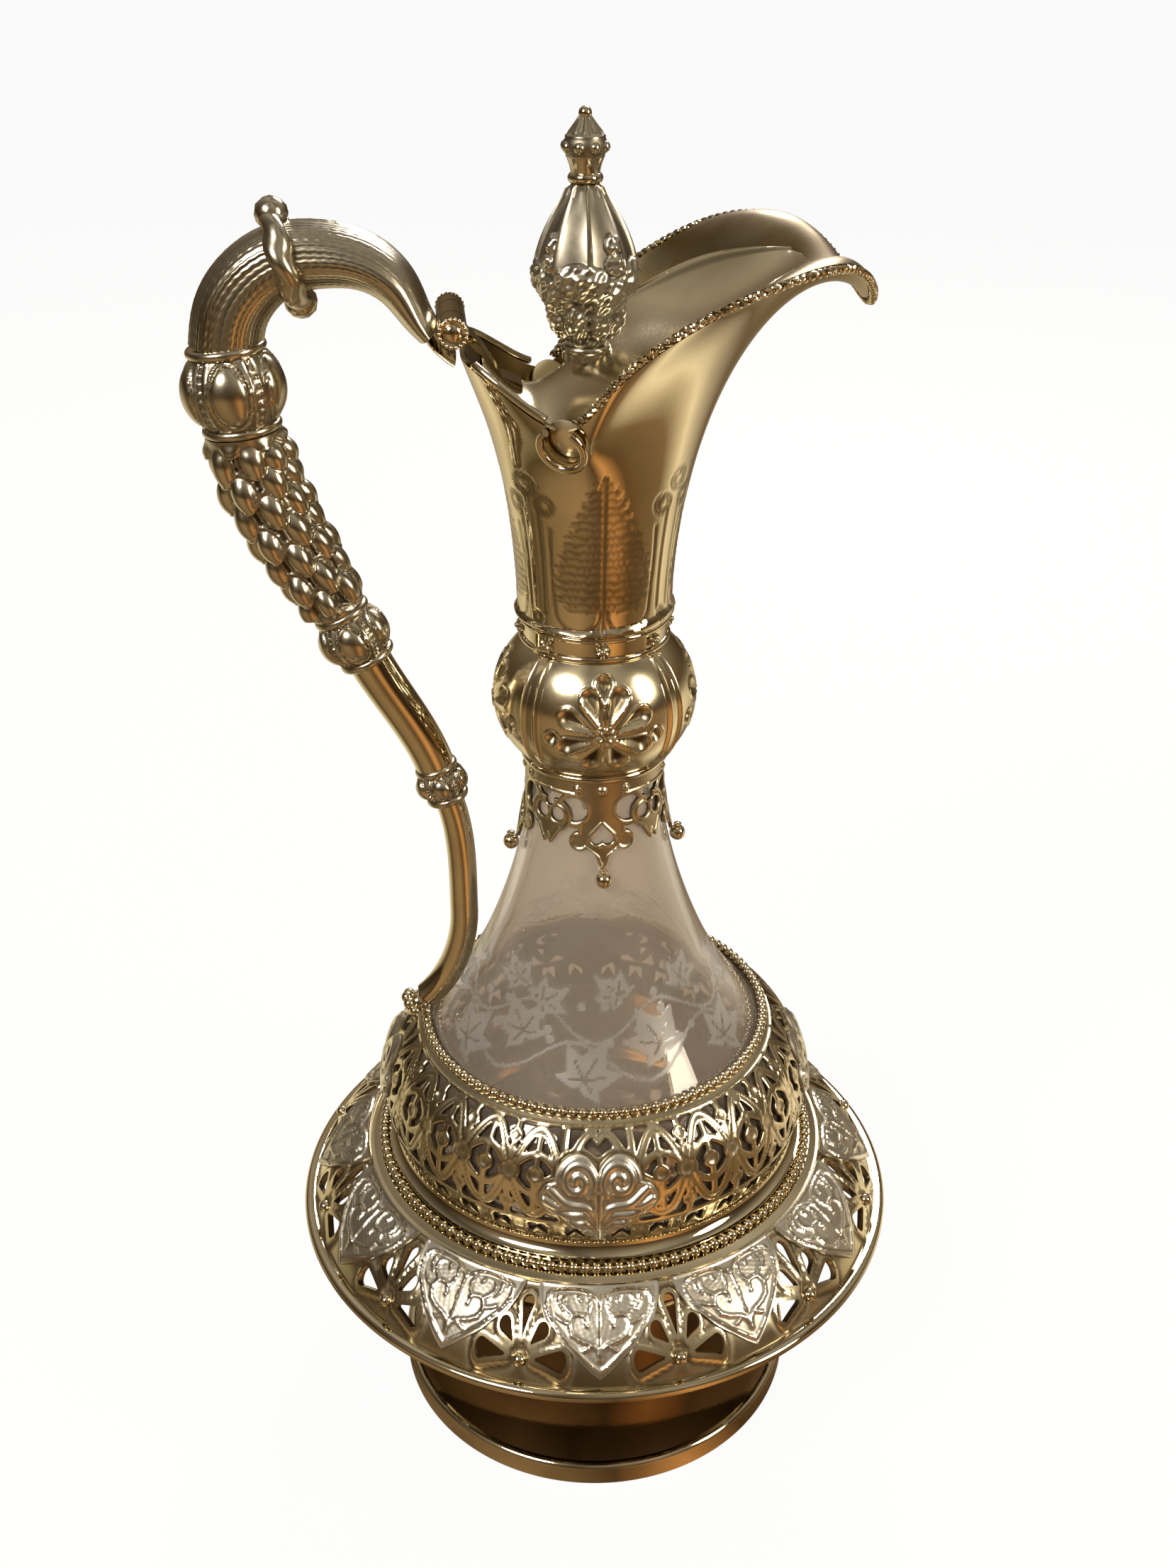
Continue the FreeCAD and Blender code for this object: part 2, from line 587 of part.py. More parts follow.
def spade_outline():
    """A plaque in plan: straight sides beside the slits, then two curves to a point outwards."""
    half_turn = math.pi / s.plaque_count
    low = s.plaque_inner_radius
    bend = low + s.plaque_shoulder
    slit = 0.5 * s.plaque_slit / math.cos(half_turn)
    low_half = low * math.tan(half_turn) - slit
    bend_half = bend * math.tan(half_turn) - slit
    middle = Vector(bend + 0.62 * (s.plaque_tip_radius - bend), 0.6 * bend_half, 0)
    tip = Vector(s.plaque_tip_radius, 0, 0)
    mirror = Vector(middle.x, -middle.y, 0)
    return [
        Part.LineSegment(Vector(low, -low_half, 0), Vector(bend, -bend_half, 0)),
        Part.Arc(Vector(bend, -bend_half, 0), mirror, tip),
        Part.Arc(tip, middle, Vector(bend, bend_half, 0)),
        Part.LineSegment(Vector(bend, bend_half, 0), Vector(low, low_half, 0)),
        Part.LineSegment(Vector(low, low_half, 0), Vector(low, -low_half, 0)),
    ]


plaque = turned_skin(slope, s.seat_gap, s.seat_gap + s.plaque_thickness).common(
    prism(spade_outline(), Vector(0, 0, 2 * s.shoulder_height))
)
kept_shape("dish_plaques", Part.makeCompound(turned_copies(plaque, s.plaque_count, s.ornament_turn)))

boss_spot = Vector(s.palmette_radius, 0, height_on(slope, s.palmette_radius))
boss_away = (boss_spot - Part.Circle(*slope).Center).normalize()
boss = Part.makeSphere(s.boss_radius, boss_spot + boss_away * (s.boss_radius + s.seat_gap))
boss_turn = s.ornament_turn + 180.0 / s.plaque_count
kept_shape("dish_bosses", Part.makeCompound(turned_copies(boss, s.plaque_count, boss_turn)))


def bead_wire(label, radius, bead, height):
    """A plain round wire that carries a row of beads."""
    wire = doc.addObject("Part::Torus", label)
    wire.setExpression("Radius1", in_sheet(radius))
    wire.setExpression("Radius2", in_sheet("0.5 * " + bead))
    wire.setExpression("Placement.Base.z", in_sheet(height + " + 0.5 * " + bead))
    return keep(wire, label)


bead_wire("lower_bead_wire", "lower_bead_radius", "lower_bead_size", "shoulder_height")
bead_wire("upper_bead_wire", "cage_top_radius", "upper_bead_size", "cage_top_height + seat_gap")

# Pierced cage with its silver cartouches

cage_arc = arc_of([
    ("cage_foot_radius", "cage_foot_height"),
    ("cage_belly_radius", "cage_belly_height"),
    ("cage_top_radius", "cage_top_height"),
])


def cage_blank():
    """The cage before it is pierced: a coved foot and a bellied sheet."""
    low = s.shoulder_height + s.metal_wall
    inner = [point - Vector(s.cage_wall, 0, 0) for point in cage_arc]
    lip = Vector(s.cage_foot_radius + s.cage_cove, 0, low)
    step = lip + Vector(0, 0, 0.2 * (s.cage_foot_height - low))
    cove_middle = Vector(s.cage_foot_radius + 0.25 * s.cage_cove, 0, low + 0.5 * (s.cage_foot_height - low))
    heel = Vector(s.cage_foot_radius - s.cage_wall, 0, low)
    edges = [
        Part.makeLine(heel, lip),
        Part.makeLine(lip, step),
        Part.Arc(step, cove_middle, cage_arc[0]).toShape(),
        Part.Arc(*cage_arc).toShape(),
        Part.makeLine(cage_arc[2], inner[2]),
        Part.Arc(inner[2], inner[1], inner[0]).toShape(),
        Part.makeLine(inner[0], heel),
    ]
    return Part.Face(Part.Wire(edges)).revolve(CENTRE, UP, 360)


def upright_drop(height, lean, length, width, turn):
    """A drop-shaped opening pushed outwards through the cage: point down, round end up."""
    edges = petal_edges(CENTRE, 0.0, length, width)
    drop = prism(edges, Vector(0, 0, 0.5 * s.cage_belly_radius))
    drop.rotate(CENTRE, SIDE, 90)
    drop.rotate(CENTRE, Vector(1, 0, 0), math.degrees(lean))
    drop.translate(Vector(0.6 * s.cage_belly_radius, 0, height))
    drop.rotate(CENTRE, UP, turn)
    return drop


def strapwork_openings(turn):
    """The openings of one gilt field: a fan of leaves over a row of small drops."""
    span = s.cage_top_height - s.cage_foot_height
    fan_foot = s.cage_foot_height + 0.36 * span
    row_foot = s.cage_foot_height + 0.10 * span
    openings = []
    for step in (-3, -2, -1, 0, 1, 2, 3):
        lean = (0.0, -0.42, 0.42, 0.0)[abs(step)]
        openings.append(upright_drop(
            fan_foot, math.copysign(lean, lean * step), 0.34 * span, 0.125 * span, turn + 8.6 * step
        ))
    for step in (-2.5, -1.5, -0.5, 0.5, 1.5, 2.5):
        openings.append(upright_drop(row_foot, 0.0, 0.2 * span, 0.1 * span, turn + 8.6 * step))
    return openings


openings = []
for quarter in range(4):
    openings += strapwork_openings(s.ornament_turn + 45 + 90 * quarter)
kept_shape("cage_band", biggest(cage_blank().cut(openings)))


def cartouche_outline():
    """Four bulging sides that meet in small notches."""
    wide = 0.5 * s.cartouche_width
    tall = 0.5 * s.cartouche_height
    corners = [Vector(0, 0.76 * wide * y, 0.72 * tall * z) for y, z in ((-1, -1), (1, -1), (1, 1), (-1, 1))]
    middles = [Vector(0, 0, -tall), Vector(0, wide, 0), Vector(0, 0, tall), Vector(0, -wide, 0)]
    return [Part.Arc(corners[i], middles[i], corners[(i + 1) % 4]) for i in range(4)]


cartouche_cut = prism(cartouche_outline(), Vector(2 * s.cage_belly_radius, 0, 0))
cartouche_cut.translate(Vector(0, 0, s.cage_belly_height + 0.12 * s.cartouche_height))
cartouche = turned_skin(cage_arc, s.seat_gap, s.seat_gap + s.cartouche_thickness).common(cartouche_cut)
kept_shape("cage_cartouches", Part.makeCompound(turned_copies(cartouche, 4, s.ornament_turn)))

# Skirt, knop and collar round the glass neck

BUSH = "glass_neck_radius + glass_gap"
KNOP_LOW = "knop_bottom + knop_ring_height"
KNOP_TOP = KNOP_LOW + " + knop_height"
KNOP_MIDDLE = KNOP_LOW + " + 0.5 * knop_height"
neck_arc = arc_of([
    ("glass_cone_radius", "glass_cone_height"),
    ("glass_sweep_radius", "glass_sweep_height"),
    ("glass_neck_radius", "glass_neck_height"),
])


def glass_radius(height):
    """Outside of the glass above its cone."""
    if height > s.glass_neck_height:
        return s.glass_neck_radius
    arc = Part.Circle(*neck_arc)
    return arc.Center.x - math.sqrt(arc.Radius ** 2 - (height - arc.Center.z) ** 2)


def skirt_shape():
    """A thin sheet on the glass, cut into scallops and four pendants, with round openings."""
    low = s.knop_bottom - s.skirt_drop
    heights = [low, 0.5 * (low + s.glass_neck_height), s.glass_neck_height]
    inner = [Vector(glass_radius(h) + s.glass_gap, 0, h) for h in heights]
    outer = [point + Vector(s.skirt_wall, 0, 0) for point in inner]
    inner_top = Vector(inner[2].x, 0, s.knop_bottom)
    outer_top = Vector(outer[2].x, 0, s.knop_bottom)
    edges = [
        Part.Arc(*inner).toShape(),
        Part.makeLine(inner[2], inner_top),
        Part.makeLine(inner_top, outer_top),
        Part.makeLine(outer_top, outer[2]),
        Part.Arc(outer[2], outer[1], outer[0]).toShape(),
        Part.makeLine(outer[0], inner[0]),
    ]
    sheet_metal = Part.Face(Part.Wire(edges)).revolve(CENTRE, UP, 360)
    radius = outer[1].x
    quarter = math.pi / s.pendant_count
    wide = radius * math.sin(quarter)
    edge = radius * math.sin(quarter - 0.5 * s.pendant_width / radius)
    scallop = s.knop_bottom - s.skirt_scallop
    rise = 0.2 * s.skirt_scallop
    corners = [Vector(0, -wide, low - 1), Vector(0, -edge, scallop), CENTRE, Vector(0, edge, scallop)]
    corners[2] = Vector(0, 0, scallop)
    last = Vector(0, wide, low - 1)
    gap = [
        Part.LineSegment(corners[0], corners[1]),
        Part.Arc(corners[1], Vector(0, -0.5 * edge, scallop + rise), corners[2]),
        Part.Arc(corners[2], Vector(0, 0.5 * edge, scallop + rise), corners[3]),
        Part.LineSegment(corners[3], last),
        Part.LineSegment(last, corners[0]),
    ]
    between = prism(gap, Vector(3 * radius, 0, 0))
    start = 180.0 / s.pendant_count
    cutters = turned_copies(between, s.pendant_count, start)
    window = Part.makeCylinder(
        s.skirt_hole, 3 * radius, Vector(0, 0, s.knop_bottom - s.skirt_hole_drop), Vector(1, 0, 0)
    )
    cutters += turned_copies(window, 2 * s.pendant_count, 0.5 * start)
    return biggest(sheet_metal.cut(cutters))


kept_shape("neck_skirt", skirt_shape())
drop_height = s.knop_bottom - s.skirt_drop - s.drop_radius
drop_spot = Vector(glass_radius(drop_height) + s.glass_gap + 1.15 * s.drop_radius, 0, drop_height)
skirt_drop = Part.makeSphere(s.drop_radius, drop_spot)
kept_shape("skirt_drops", Part.makeCompound(turned_copies(skirt_drop, s.pendant_count)))

turned_body("knop_ring", [
    (BUSH, "knop_bottom"),
    ("knop_ring_radius - 0.5 * knop_ring_height", "knop_bottom"),
    ("knop_ring_radius - 0.5 * knop_ring_height", KNOP_LOW,
     ("knop_ring_radius", "knop_bottom + 0.5 * knop_ring_height")),
    (BUSH, KNOP_LOW),
])
turned_body("knop", [
    (BUSH, KNOP_LOW),
    ("knop_end_radius", KNOP_LOW),
    ("knop_end_radius", KNOP_TOP, ("knop_radius", KNOP_MIDDLE)),
    (BUSH, KNOP_TOP),
    (BUSH, KNOP_TOP + " - metal_wall"),
    ("knop_end_radius - 0.3 * metal_wall", KNOP_TOP + " - metal_wall"),
    ("knop_end_radius - 0.3 * metal_wall", KNOP_LOW + " + metal_wall",
     ("knop_radius - metal_wall", KNOP_MIDDLE)),
    (BUSH, KNOP_LOW + " + metal_wall"),
])
knop_arc = Part.Circle(*arc_of([
    ("knop_end_radius", KNOP_LOW),
    ("knop_radius", KNOP_MIDDLE),
    ("knop_end_radius", KNOP_TOP),
]))
rib = Part.makeTorus(
    knop_arc.Radius + s.rib_radius + s.seat_gap, s.rib_radius, CENTRE, UP, -180, 180, 2 * s.rib_reach
)
rib.rotate(CENTRE, UP, -s.rib_reach)
rib.rotate(CENTRE, Vector(1, 0, 0), 90)
rib.translate(knop_arc.Center)
rib_start = 180.0 / s.pendant_count
ribs = turned_copies(rib, s.pendant_count, rib_start - 0.5 * s.rib_spread)
ribs += turned_copies(rib, s.pendant_count, rib_start + 0.5 * s.rib_spread)
kept_shape("knop_ribs", Part.makeCompound(ribs))

turned_body("collar_band", [
    (BUSH, KNOP_TOP),
    ("collar_radius", KNOP_TOP),
    ("collar_radius", KNOP_TOP + " + 2 * collar_wire",
     ("collar_radius + collar_wire", KNOP_TOP + " + collar_wire")),
    ("collar_radius", COLLAR_TOP + " - 2 * collar_wire"),
    ("collar_radius", COLLAR_TOP, ("collar_radius + collar_wire", COLLAR_TOP + " - collar_wire")),
    (BUSH, COLLAR_TOP),
])
collar_middle = number(KNOP_TOP + " + 0.5 * collar_height")
stud = Part.makeSphere(s.stud_radius, Vector(s.collar_radius, 0, collar_middle))
stud = stud.cut(Part.makeCylinder(s.collar_radius + s.seat_gap, 2 * collar_middle))
kept_shape("collar_studs", Part.makeCompound(turned_copies(stud, s.stud_count)))
turned_body("neck_seal", [
    ("glass_neck_radius + seat_gap", COLLAR_TOP),
    ("neck_foot_radius - neck_wall - seat_gap", COLLAR_TOP),
    ("neck_foot_radius - neck_wall - seat_gap", COLLAR_TOP + " + seal_height"),
    ("glass_neck_radius + seat_gap", COLLAR_TOP + " + seal_height"),
])

# Saddle mouth: every meridian is a cubic curve from the collar to one point of the rim


def rim_curve():
    """The closed rim, from the middle of the back round both sides."""
    half = [
        (s.back_reach, s.back_half, s.back_height),
        (s.cheek_reach, s.cheek_half, s.cheek_height),
        (s.notch_reach, s.notch_half, s.notch_height),
        (0.0, s.rise_half, s.rise_height),
        (s.flank_reach, s.flank_half, s.flank_height),
        (s.crest_reach, s.crest_half, s.crest_height),
        (s.spout_lip_reach, s.spout_lip_half, s.spout_lip_height),
    ]
    points = [Vector(s.back_reach - s.back_bow, 0, s.back_height)]
    points += [Vector(*p) for p in half]
    points.append(Vector(s.spout_reach, 0, s.spout_tip_height))
    points += [Vector(x, -y, z) for x, y, z in reversed(half)]
    curve = Part.BSplineCurve()
    curve.interpolate(Points=points, PeriodicFlag=True)
    return curve


NECK_BASE = number(COLLAR_TOP)


def meridian(rim):
    """The four points that pull one upright curve of the neck towards its point of the rim."""
    turn = math.atan2(rim.y, rim.x)
    outward = Vector(math.cos(turn), math.sin(turn), 0)
    front = 0.5 + 0.5 * math.cos(turn)
    rise = s.neck_rise_back + (s.neck_rise_spout - s.neck_rise_back) * front ** 2
    lift = 2 * s.lip_curl * front ** 4 - s.rim_flare
    foot = outward * s.neck_foot_radius + UP * NECK_BASE
    lean = outward * s.neck_swell + UP * (NECK_BASE + rise)
    flare = Vector(rim.x * s.rim_draw, rim.y * s.rim_draw, rim.z + lift)
    return foot, lean, flare, rim


def on_meridian(pulls, share):
    back = 1 - share
    weights = (back ** 3, 3 * share * back ** 2, 3 * share ** 2 * back, share ** 3)
    return sum((pull * weight for pull, weight in zip(pulls, weights)), Vector())


def wall_normal(rim_points, place, share):
    """Outward direction of the neck's wall at one rim point's meridian."""
    step = 0.01
    low = max(share - step, 0.0)
    high = min(share + step, 1.0)
    count = len(rim_points) - 1
    before = meridian(rim_points[(place - 1) % count])
    after = meridian(rim_points[(place + 1) % count])
    own = meridian(rim_points[place])
    along = on_meridian(after, share) - on_meridian(before, share)
    upwards = on_meridian(own, high) - on_meridian(own, low)
    normal = along.cross(upwards).normalize()
    outward = Vector(rim_points[place].x, rim_points[place].y, 0)
    if share < 0.5 and normal.dot(outward) < 0:
        return normal * -1
    return normal


rim = rim_curve()
rim_points = rim.discretize(Number=57)


def even_shares(pulls, count):
    """Shares of one meridian that cut it into stretches of the same length."""
    steps = [i / 80 for i in range(81)]
    points = [on_meridian(pulls, step) for step in steps]
    travelled = [0.0]
    for before, after in zip(points, points[1:]):
        travelled.append(travelled[-1] + (after - before).Length)
    found = []
    for i in range(count + 1):
        target = travelled[-1] * i / count
        place = min(max(j for j in range(81) if travelled[j] <= target + 1e-9), 79)
        part = (target - travelled[place]) / (travelled[place + 1] - travelled[place])
        found.append(min((place + part) / 80, 1.0))
    return found


rim_shares = [even_shares(meridian(point), 12) for point in rim_points]
facing = 1.0
first_normal = wall_normal(rim_points, 20, 0.9)
if first_normal.dot(Vector(rim_points[20].x, rim_points[20].y, 0)) < 0:
    facing = -1.0


def neck_wall_point(place, share, depth):
    """A point of the neck's wall, so deep under its outside."""
    outside = on_meridian(meridian(rim_points[place]), share)
    if share == 0.0:
        return outside - Vector(outside.x, outside.y, 0).normalize() * depth
    normal = wall_normal(rim_points, place, share)
    if share >= 0.5:
        normal = normal * facing
    return outside - normal * depth


def neck_solid():
    places = range(len(rim_points))
    outer = spline_surface([[neck_wall_point(i, share, 0.0) for share in rim_shares[i]] for i in places])
    inner = spline_surface([
        [neck_wall_point(i, share, s.neck_wall) for share in rim_shares[i]] for i in places
    ])
    low, high = outer.bounds()[2:4]
    inner_low, inner_high = inner.bounds()[2:4]
    faces = [
        outer.toShape(),
        inner.toShape(),
        ruled(outer.vIso(low), inner.vIso(inner_low)),
        ruled(outer.vIso(high), inner.vIso(inner_high)),
    ]
    return closed_solid(faces, "neck_mouth")


half_places = range(len(rim_points) // 2 + 1)
notch_place = min(half_places, key=lambda i: rim_points[i].z)
window_height = s.notch_height - s.keyhole_drop
window_share = min(
    (0.5 + 0.005 * i for i in range(100)),
    key=lambda share: abs(on_meridian(meridian(rim_points[notch_place]), share).z - window_height),
)
window_spot = neck_wall_point(notch_place, window_share, 0.0)
window_normal = (window_spot - neck_wall_point(notch_place, window_share, 1.0)).normalize()
if window_spot.y < 0:
    window_spot = Vector(window_spot.x, -window_spot.y, window_spot.z)
    window_normal = Vector(window_normal.x, -window_normal.y, window_normal.z)


def both_sides(shape):
    return [shape, shape.mirror(CENTRE, SIDE)]


window_start = window_spot - window_normal * 2 * s.neck_wall
window = Part.makeCylinder(s.keyhole_radius, 4 * s.neck_wall, window_start, window_normal)
kept_shape("neck_mouth", biggest(neck_solid().cut(both_sides(window))))

keyhole_ring = Part.makeTorus(s.keyhole_radius + s.keyhole_wire, s.keyhole_wire, CENTRE, UP, -180, 180, 290)
keyhole_ring.rotate(CENTRE, UP, -145)
keyhole_ring.Placement = FreeCAD.Placement(
    window_spot + window_normal * (1.8 * s.keyhole_wire),
    Rotation(window_normal.cross(UP).cross(window_normal) * -1, SIDE, window_normal, "ZXY"),
).multiply(keyhole_ring.Placement)
kept_shape("keyhole_rings", Part.makeCompound(both_sides(keyhole_ring)))


def wire_rings(places, radius):
    """Rings of a round wire that lies along the neck's edge."""
    rings = []
    for place in places:
        pulls = meridian(rim_points[place])
        edge = 0.5 * (neck_wall_point(place, 1.0, 0.0) + neck_wall_point(place, 1.0, s.neck_wall))
        count = len(rim_points) - 1
        run = (rim_points[(place + 1) % count] - rim_points[(place - 1) % count]).normalize()
        across = run.cross(pulls[3] - pulls[2]).normalize()
        off_edge = across.cross(run).normalize()
        middle = edge + off_edge * (radius + s.rim_wire_gap)
        rings.append(ring_of(middle, across, off_edge, radius, radius, 8))
    return rings


last_place = len(rim_points) - 1
hinge_place = min(i for i in half_places if abs(rim_points[i].y) > 0.5 * s.barrel_length + 3 * s.rim_wire)
plain_run = range(hinge_place, notch_place)
plain_wire = rod_solid(wire_rings(plain_run, s.rim_wire), "rim_wires")
kept_shape("rim_wires", Part.makeCompound(both_sides(plain_wire)))
spout_run = range(notch_place + 1, last_place - notch_place)
kept_shape("spout_wire", rod_solid(wire_rings(spout_run, s.rim_wire), "spout_wire"))

# Lid: a saddle sheet between a centre line and an edge that follows the rim


def rim_at(reach):
    """Half width and height of the rim at one X."""
    half = [Vector(p.x, abs(p.y), p.z) for p in rim_points[: len(rim_points) // 2 + 1]]
    for before, after in zip(half, half[1:]):
        if before.x <= reach <= after.x:
            share = (reach - before.x) / max(after.x - before.x, 1e-6)
            return before + (after - before) * share
    return half[-1]


def inside_half(reach, height):
    """Half width of the room inside the neck at one X and height."""
    ring = []
    for place in half_places:
        column = [neck_wall_point(place, share, s.neck_wall) for share in rim_shares[place]]
        for low, high in zip(column, column[1:]):
            if low.z <= height <= high.z:
                spot = low + (high - low) * ((height - low.z) / (high.z - low.z))
                ring.append(Vector(spot.x, abs(spot.y), height))
                break
    for before, after in zip(ring, ring[1:]):
        if before.x <= reach <= after.x:
            return before.y + (after.y - before.y) * (reach - before.x) / (after.x - before.x)
    return 0.0


def lid_edge(reach):
    """Half width and height of the lid's edge at one X."""
    height = rim_at(reach).z - s.lid_sink
    half = inside_half(reach, height - s.lid_wall) - s.lid_gap
    if reach > s.flank_reach:
        widest = rim_at(s.flank_reach).y - 3 * s.lid_gap
        share = min((reach - s.flank_reach) / (s.lid_tip_reach - s.flank_reach), 1.0)
        half = min(half, s.lid_tip_half + (widest - s.lid_tip_half) * math.sqrt(1 - share ** 2))
    return max(half, 0.5 * s.lid_tip_half), height


lid_line = Part.BSplineCurve()
lid_line.interpolate(Points=[
    Vector(s.lid_back_reach, 0, rim_at(s.lid_back_reach).z + s.lid_back_rise),
    Vector(s.lid_valley_reach, 0, s.lid_valley_height),
    Vector(s.finial_reach, 0, s.lid_top_height),
    Vector(s.lid_trough_reach, 0, s.lid_trough_height),
    Vector(s.lid_nose_reach, 0, s.lid_nose_height),
    Vector(s.lid_tip_reach, 0, rim_at(s.lid_tip_reach).z - s.lid_sink),
])


def lid_rows(drop):
    """Rows of points across the lid, so far under its upper side."""
    rows = []
    for middle in lid_line.discretize(Number=15):
        half, edge = lid_edge(middle.x)
        row = []
        for step in range(-4, 5):
            share = step / 4.0
            height = edge + (middle.z - edge) * (1 - share ** 2)
            row.append(Vector(middle.x, half * share, height - drop))
        rows.append(row)
    return rows


def lid_sheet():
    top = spline_surface(lid_rows(0.0))
    under = spline_surface(lid_rows(s.lid_wall))
    faces = [top.toShape(), under.toShape()]
    top_bounds = top.bounds()
    under_bounds = under.bounds()
    for side in (0, 1):
        faces.append(ruled(top.uIso(top_bounds[side]), under.uIso(under_bounds[side])))
        faces.append(ruled(top.vIso(top_bounds[side + 2]), under.vIso(under_bounds[side + 2])))
    return closed_solid(faces, "lid")


screw_room = Part.makeCylinder(s.screw_radius + s.seat_gap, 2 * s.lid_top_height, Vector(s.finial_reach, 0, 0))
lid_shape = lid_sheet().cut(screw_room)
kept_shape("lid", biggest(lid_shape))

lobe_spot = window_spot - window_normal * (s.neck_wall + s.lobe_gap + s.lobe_thickness)
lobe = Part.makeCylinder(s.lobe_radius, s.lobe_thickness, lobe_spot, window_normal).cut(lid_shape)
kept_shape("lid_lobes", Part.makeCompound(both_sides(biggest(lobe))))

# Hinge: the lid's knuckle turns on a pin between two knuckles of the bracket

hinge = Vector(s.hinge_reach, 0, s.hinge_height)


def along_hinge(radius, half_length, middle=0.0):
    """A cylinder on the hinge axis."""
    return Part.makeCylinder(radius, 2 * half_length, hinge + SIDE * (middle - half_length), SIDE)


def slab(corners, half_width):
    """An XZ outline made into a slab across the jug."""
    points = [Vector(x, -half_width, z) for x, z in corners]
    return Part.Face(Part.makePolygon(points + points[:1])).extrude(SIDE * (2 * half_width))


def lid_height(reach):
    """Height of the lid's centre line."""
    return min(lid_line.discretize(Number=200), key=lambda p: abs(p.x - reach)).z


def lid_knuckle():
    """The turning knuckle with the strap that lies on the lid."""
    far = s.lid_back_reach + s.leaf_length
    near_height = lid_height(s.lid_back_reach)
    half_way = s.lid_back_reach + 0.5 * s.leaf_length
    strap = slab([
        (s.hinge_reach + 0.4 * s.barrel_radius, s.hinge_height - 0.8 * s.barrel_radius),
        (s.hinge_reach + 0.8 * s.barrel_radius, s.hinge_height - 0.3 * s.barrel_radius),
        (s.lid_back_reach, near_height + s.leaf_thickness),
        (half_way, lid_height(half_way) + s.leaf_thickness),
        (far, lid_height(far) + s.leaf_thickness),
        (far, lid_height(far) - 0.5 * s.lid_wall),
        (half_way, lid_height(half_way) - 0.5 * s.lid_wall),
        (s.lid_back_reach, near_height - 0.5 * s.lid_wall),
    ], 0.36 * s.lid_knuckle_length)
    strap = biggest(strap.cut(lid_shape))
    knuckle = along_hinge(s.barrel_radius, 0.5 * s.lid_knuckle_length).fuse(strap)
    return knuckle.cut(along_hinge(s.pin_radius + s.pin_clearance, s.barrel_length)).removeSplitter()


kept_shape("lid_knuckle", biggest(lid_knuckle()))

ROOM_HALF = 0.5 * s.lid_knuckle_length + s.knuckle_gap


def hinge_bracket():
    """Two fixed knuckles on a block behind the rim, open in the middle for the lid's knuckle and strap."""
    front = s.back_reach - s.back_bow - s.bracket_gap
    rear = s.hinge_reach - s.bracket_rear
    room = s.barrel_radius + s.knuckle_room
    block = slab([
        (front, s.back_height - s.bracket_drop),
        (front, s.back_height + s.rim_wire),
        (s.hinge_reach + 0.8 * s.barrel_radius, s.hinge_height),
        (rear, s.hinge_height + 0.5 * s.barrel_radius),
        (rear, s.hinge_height - 1.5 * s.barrel_radius),
    ], 0.5 * s.barrel_length)
    block = block.fuse(along_hinge(s.barrel_radius, 0.5 * s.barrel_length))
    way = Part.makeBox(
        2 * room, 2 * ROOM_HALF, 4 * room, Vector(s.hinge_reach, -ROOM_HALF, s.back_height + s.rim_wire)
    )
    pin_way = along_hinge(s.pin_radius + s.seat_gap, s.barrel_length)
    block = block.cut([along_hinge(room, ROOM_HALF), way, pin_way])
    return block.removeSplitter()


kept_shape("hinge_bracket", biggest(hinge_bracket()))
kept_shape("hinge_pin", along_hinge(s.pin_radius, 0.5 * s.barrel_length))
cap = Part.makeCone(
    s.cap_radius, 0.6 * s.cap_radius, s.cap_height, hinge + SIDE * (0.5 * s.barrel_length), SIDE
)
kept_shape("hinge_caps", Part.makeCompound(both_sides(cap)))

# Finial, screwed to the lid

RING_TOP = "lid_top_height + finial_ring_height"
BODY_TOP = RING_TOP + " + finial_body_height"
TURBAN_LOW = BODY_TOP + " + finial_collar_height"
TURBAN_TOP = TURBAN_LOW + " + turban_height"
finial_spot = Vector(s.finial_reach, 0, 0)
ring_top = number(RING_TOP)
ring_foot = finial_spot + UP * (ring_top - 4 * s.finial_ring_height)
ring_blank = Part.makeCylinder(s.finial_ring_radius, 4 * s.finial_ring_height, ring_foot)
ring_cut = ring_blank.cut([screw_room, lid_shape])
kept_shape("finial_ring", max(ring_cut.Solids, key=lambda solid: solid.BoundBox.ZMax))


def on_finial(label, outline):
    """A turned piece on the finial's axis."""
    body = turned_body(label, outline)
    body.setExpression("Placement.Base.x", "Sizes.finial_reach")
    return body


on_finial("finial_body", [
    ("screw_radius + seat_gap", RING_TOP),
    ("finial_foot_radius", RING_TOP),
    ("finial_radius", RING_TOP + " + finial_belly_height",
     ("0.23 * finial_foot_radius + 0.77 * finial_radius", RING_TOP + " + 0.49 * finial_belly_height")),
    ("finial_collar_radius", BODY_TOP,
     ("0.62 * finial_radius + 0.38 * finial_collar_radius + 0.8", BODY_TOP + " - 0.24 * finial_body_height")),
    ("0", BODY_TOP),
    ("0", RING_TOP + " + screw_depth + seat_gap"),
    ("screw_radius + seat_gap", RING_TOP + " + screw_depth + seat_gap"),
])
on_finial("finial_collar", [
    ("0", BODY_TOP),
    ("finial_collar_radius", BODY_TOP),
    ("finial_collar_radius", TURBAN_LOW,
     ("finial_collar_radius + 0.5 * finial_collar_height", BODY_TOP + " + 0.5 * finial_collar_height")),
    ("0", TURBAN_LOW),
])
on_finial("finial_turban", [
    ("0", TURBAN_LOW),
    ("finial_collar_radius", TURBAN_LOW),
    ("turban_radius", TURBAN_LOW + " + turban_belly",
     ("0.35 * finial_collar_radius + 0.65 * turban_radius", TURBAN_LOW + " + 0.4 * turban_belly")),
    ("turban_tip_radius", TURBAN_TOP,
     ("0.45 * turban_radius + 0.55 * turban_tip_radius", TURBAN_TOP + " - 0.33 * turban_height")),
    ("0", TURBAN_TOP),
])
tip = doc.addObject("Part::Sphere", "finial_tip")
tip.setExpression("Radius", "Sizes.tip_radius")
tip.setExpression("Placement.Base.x", "Sizes.finial_reach")
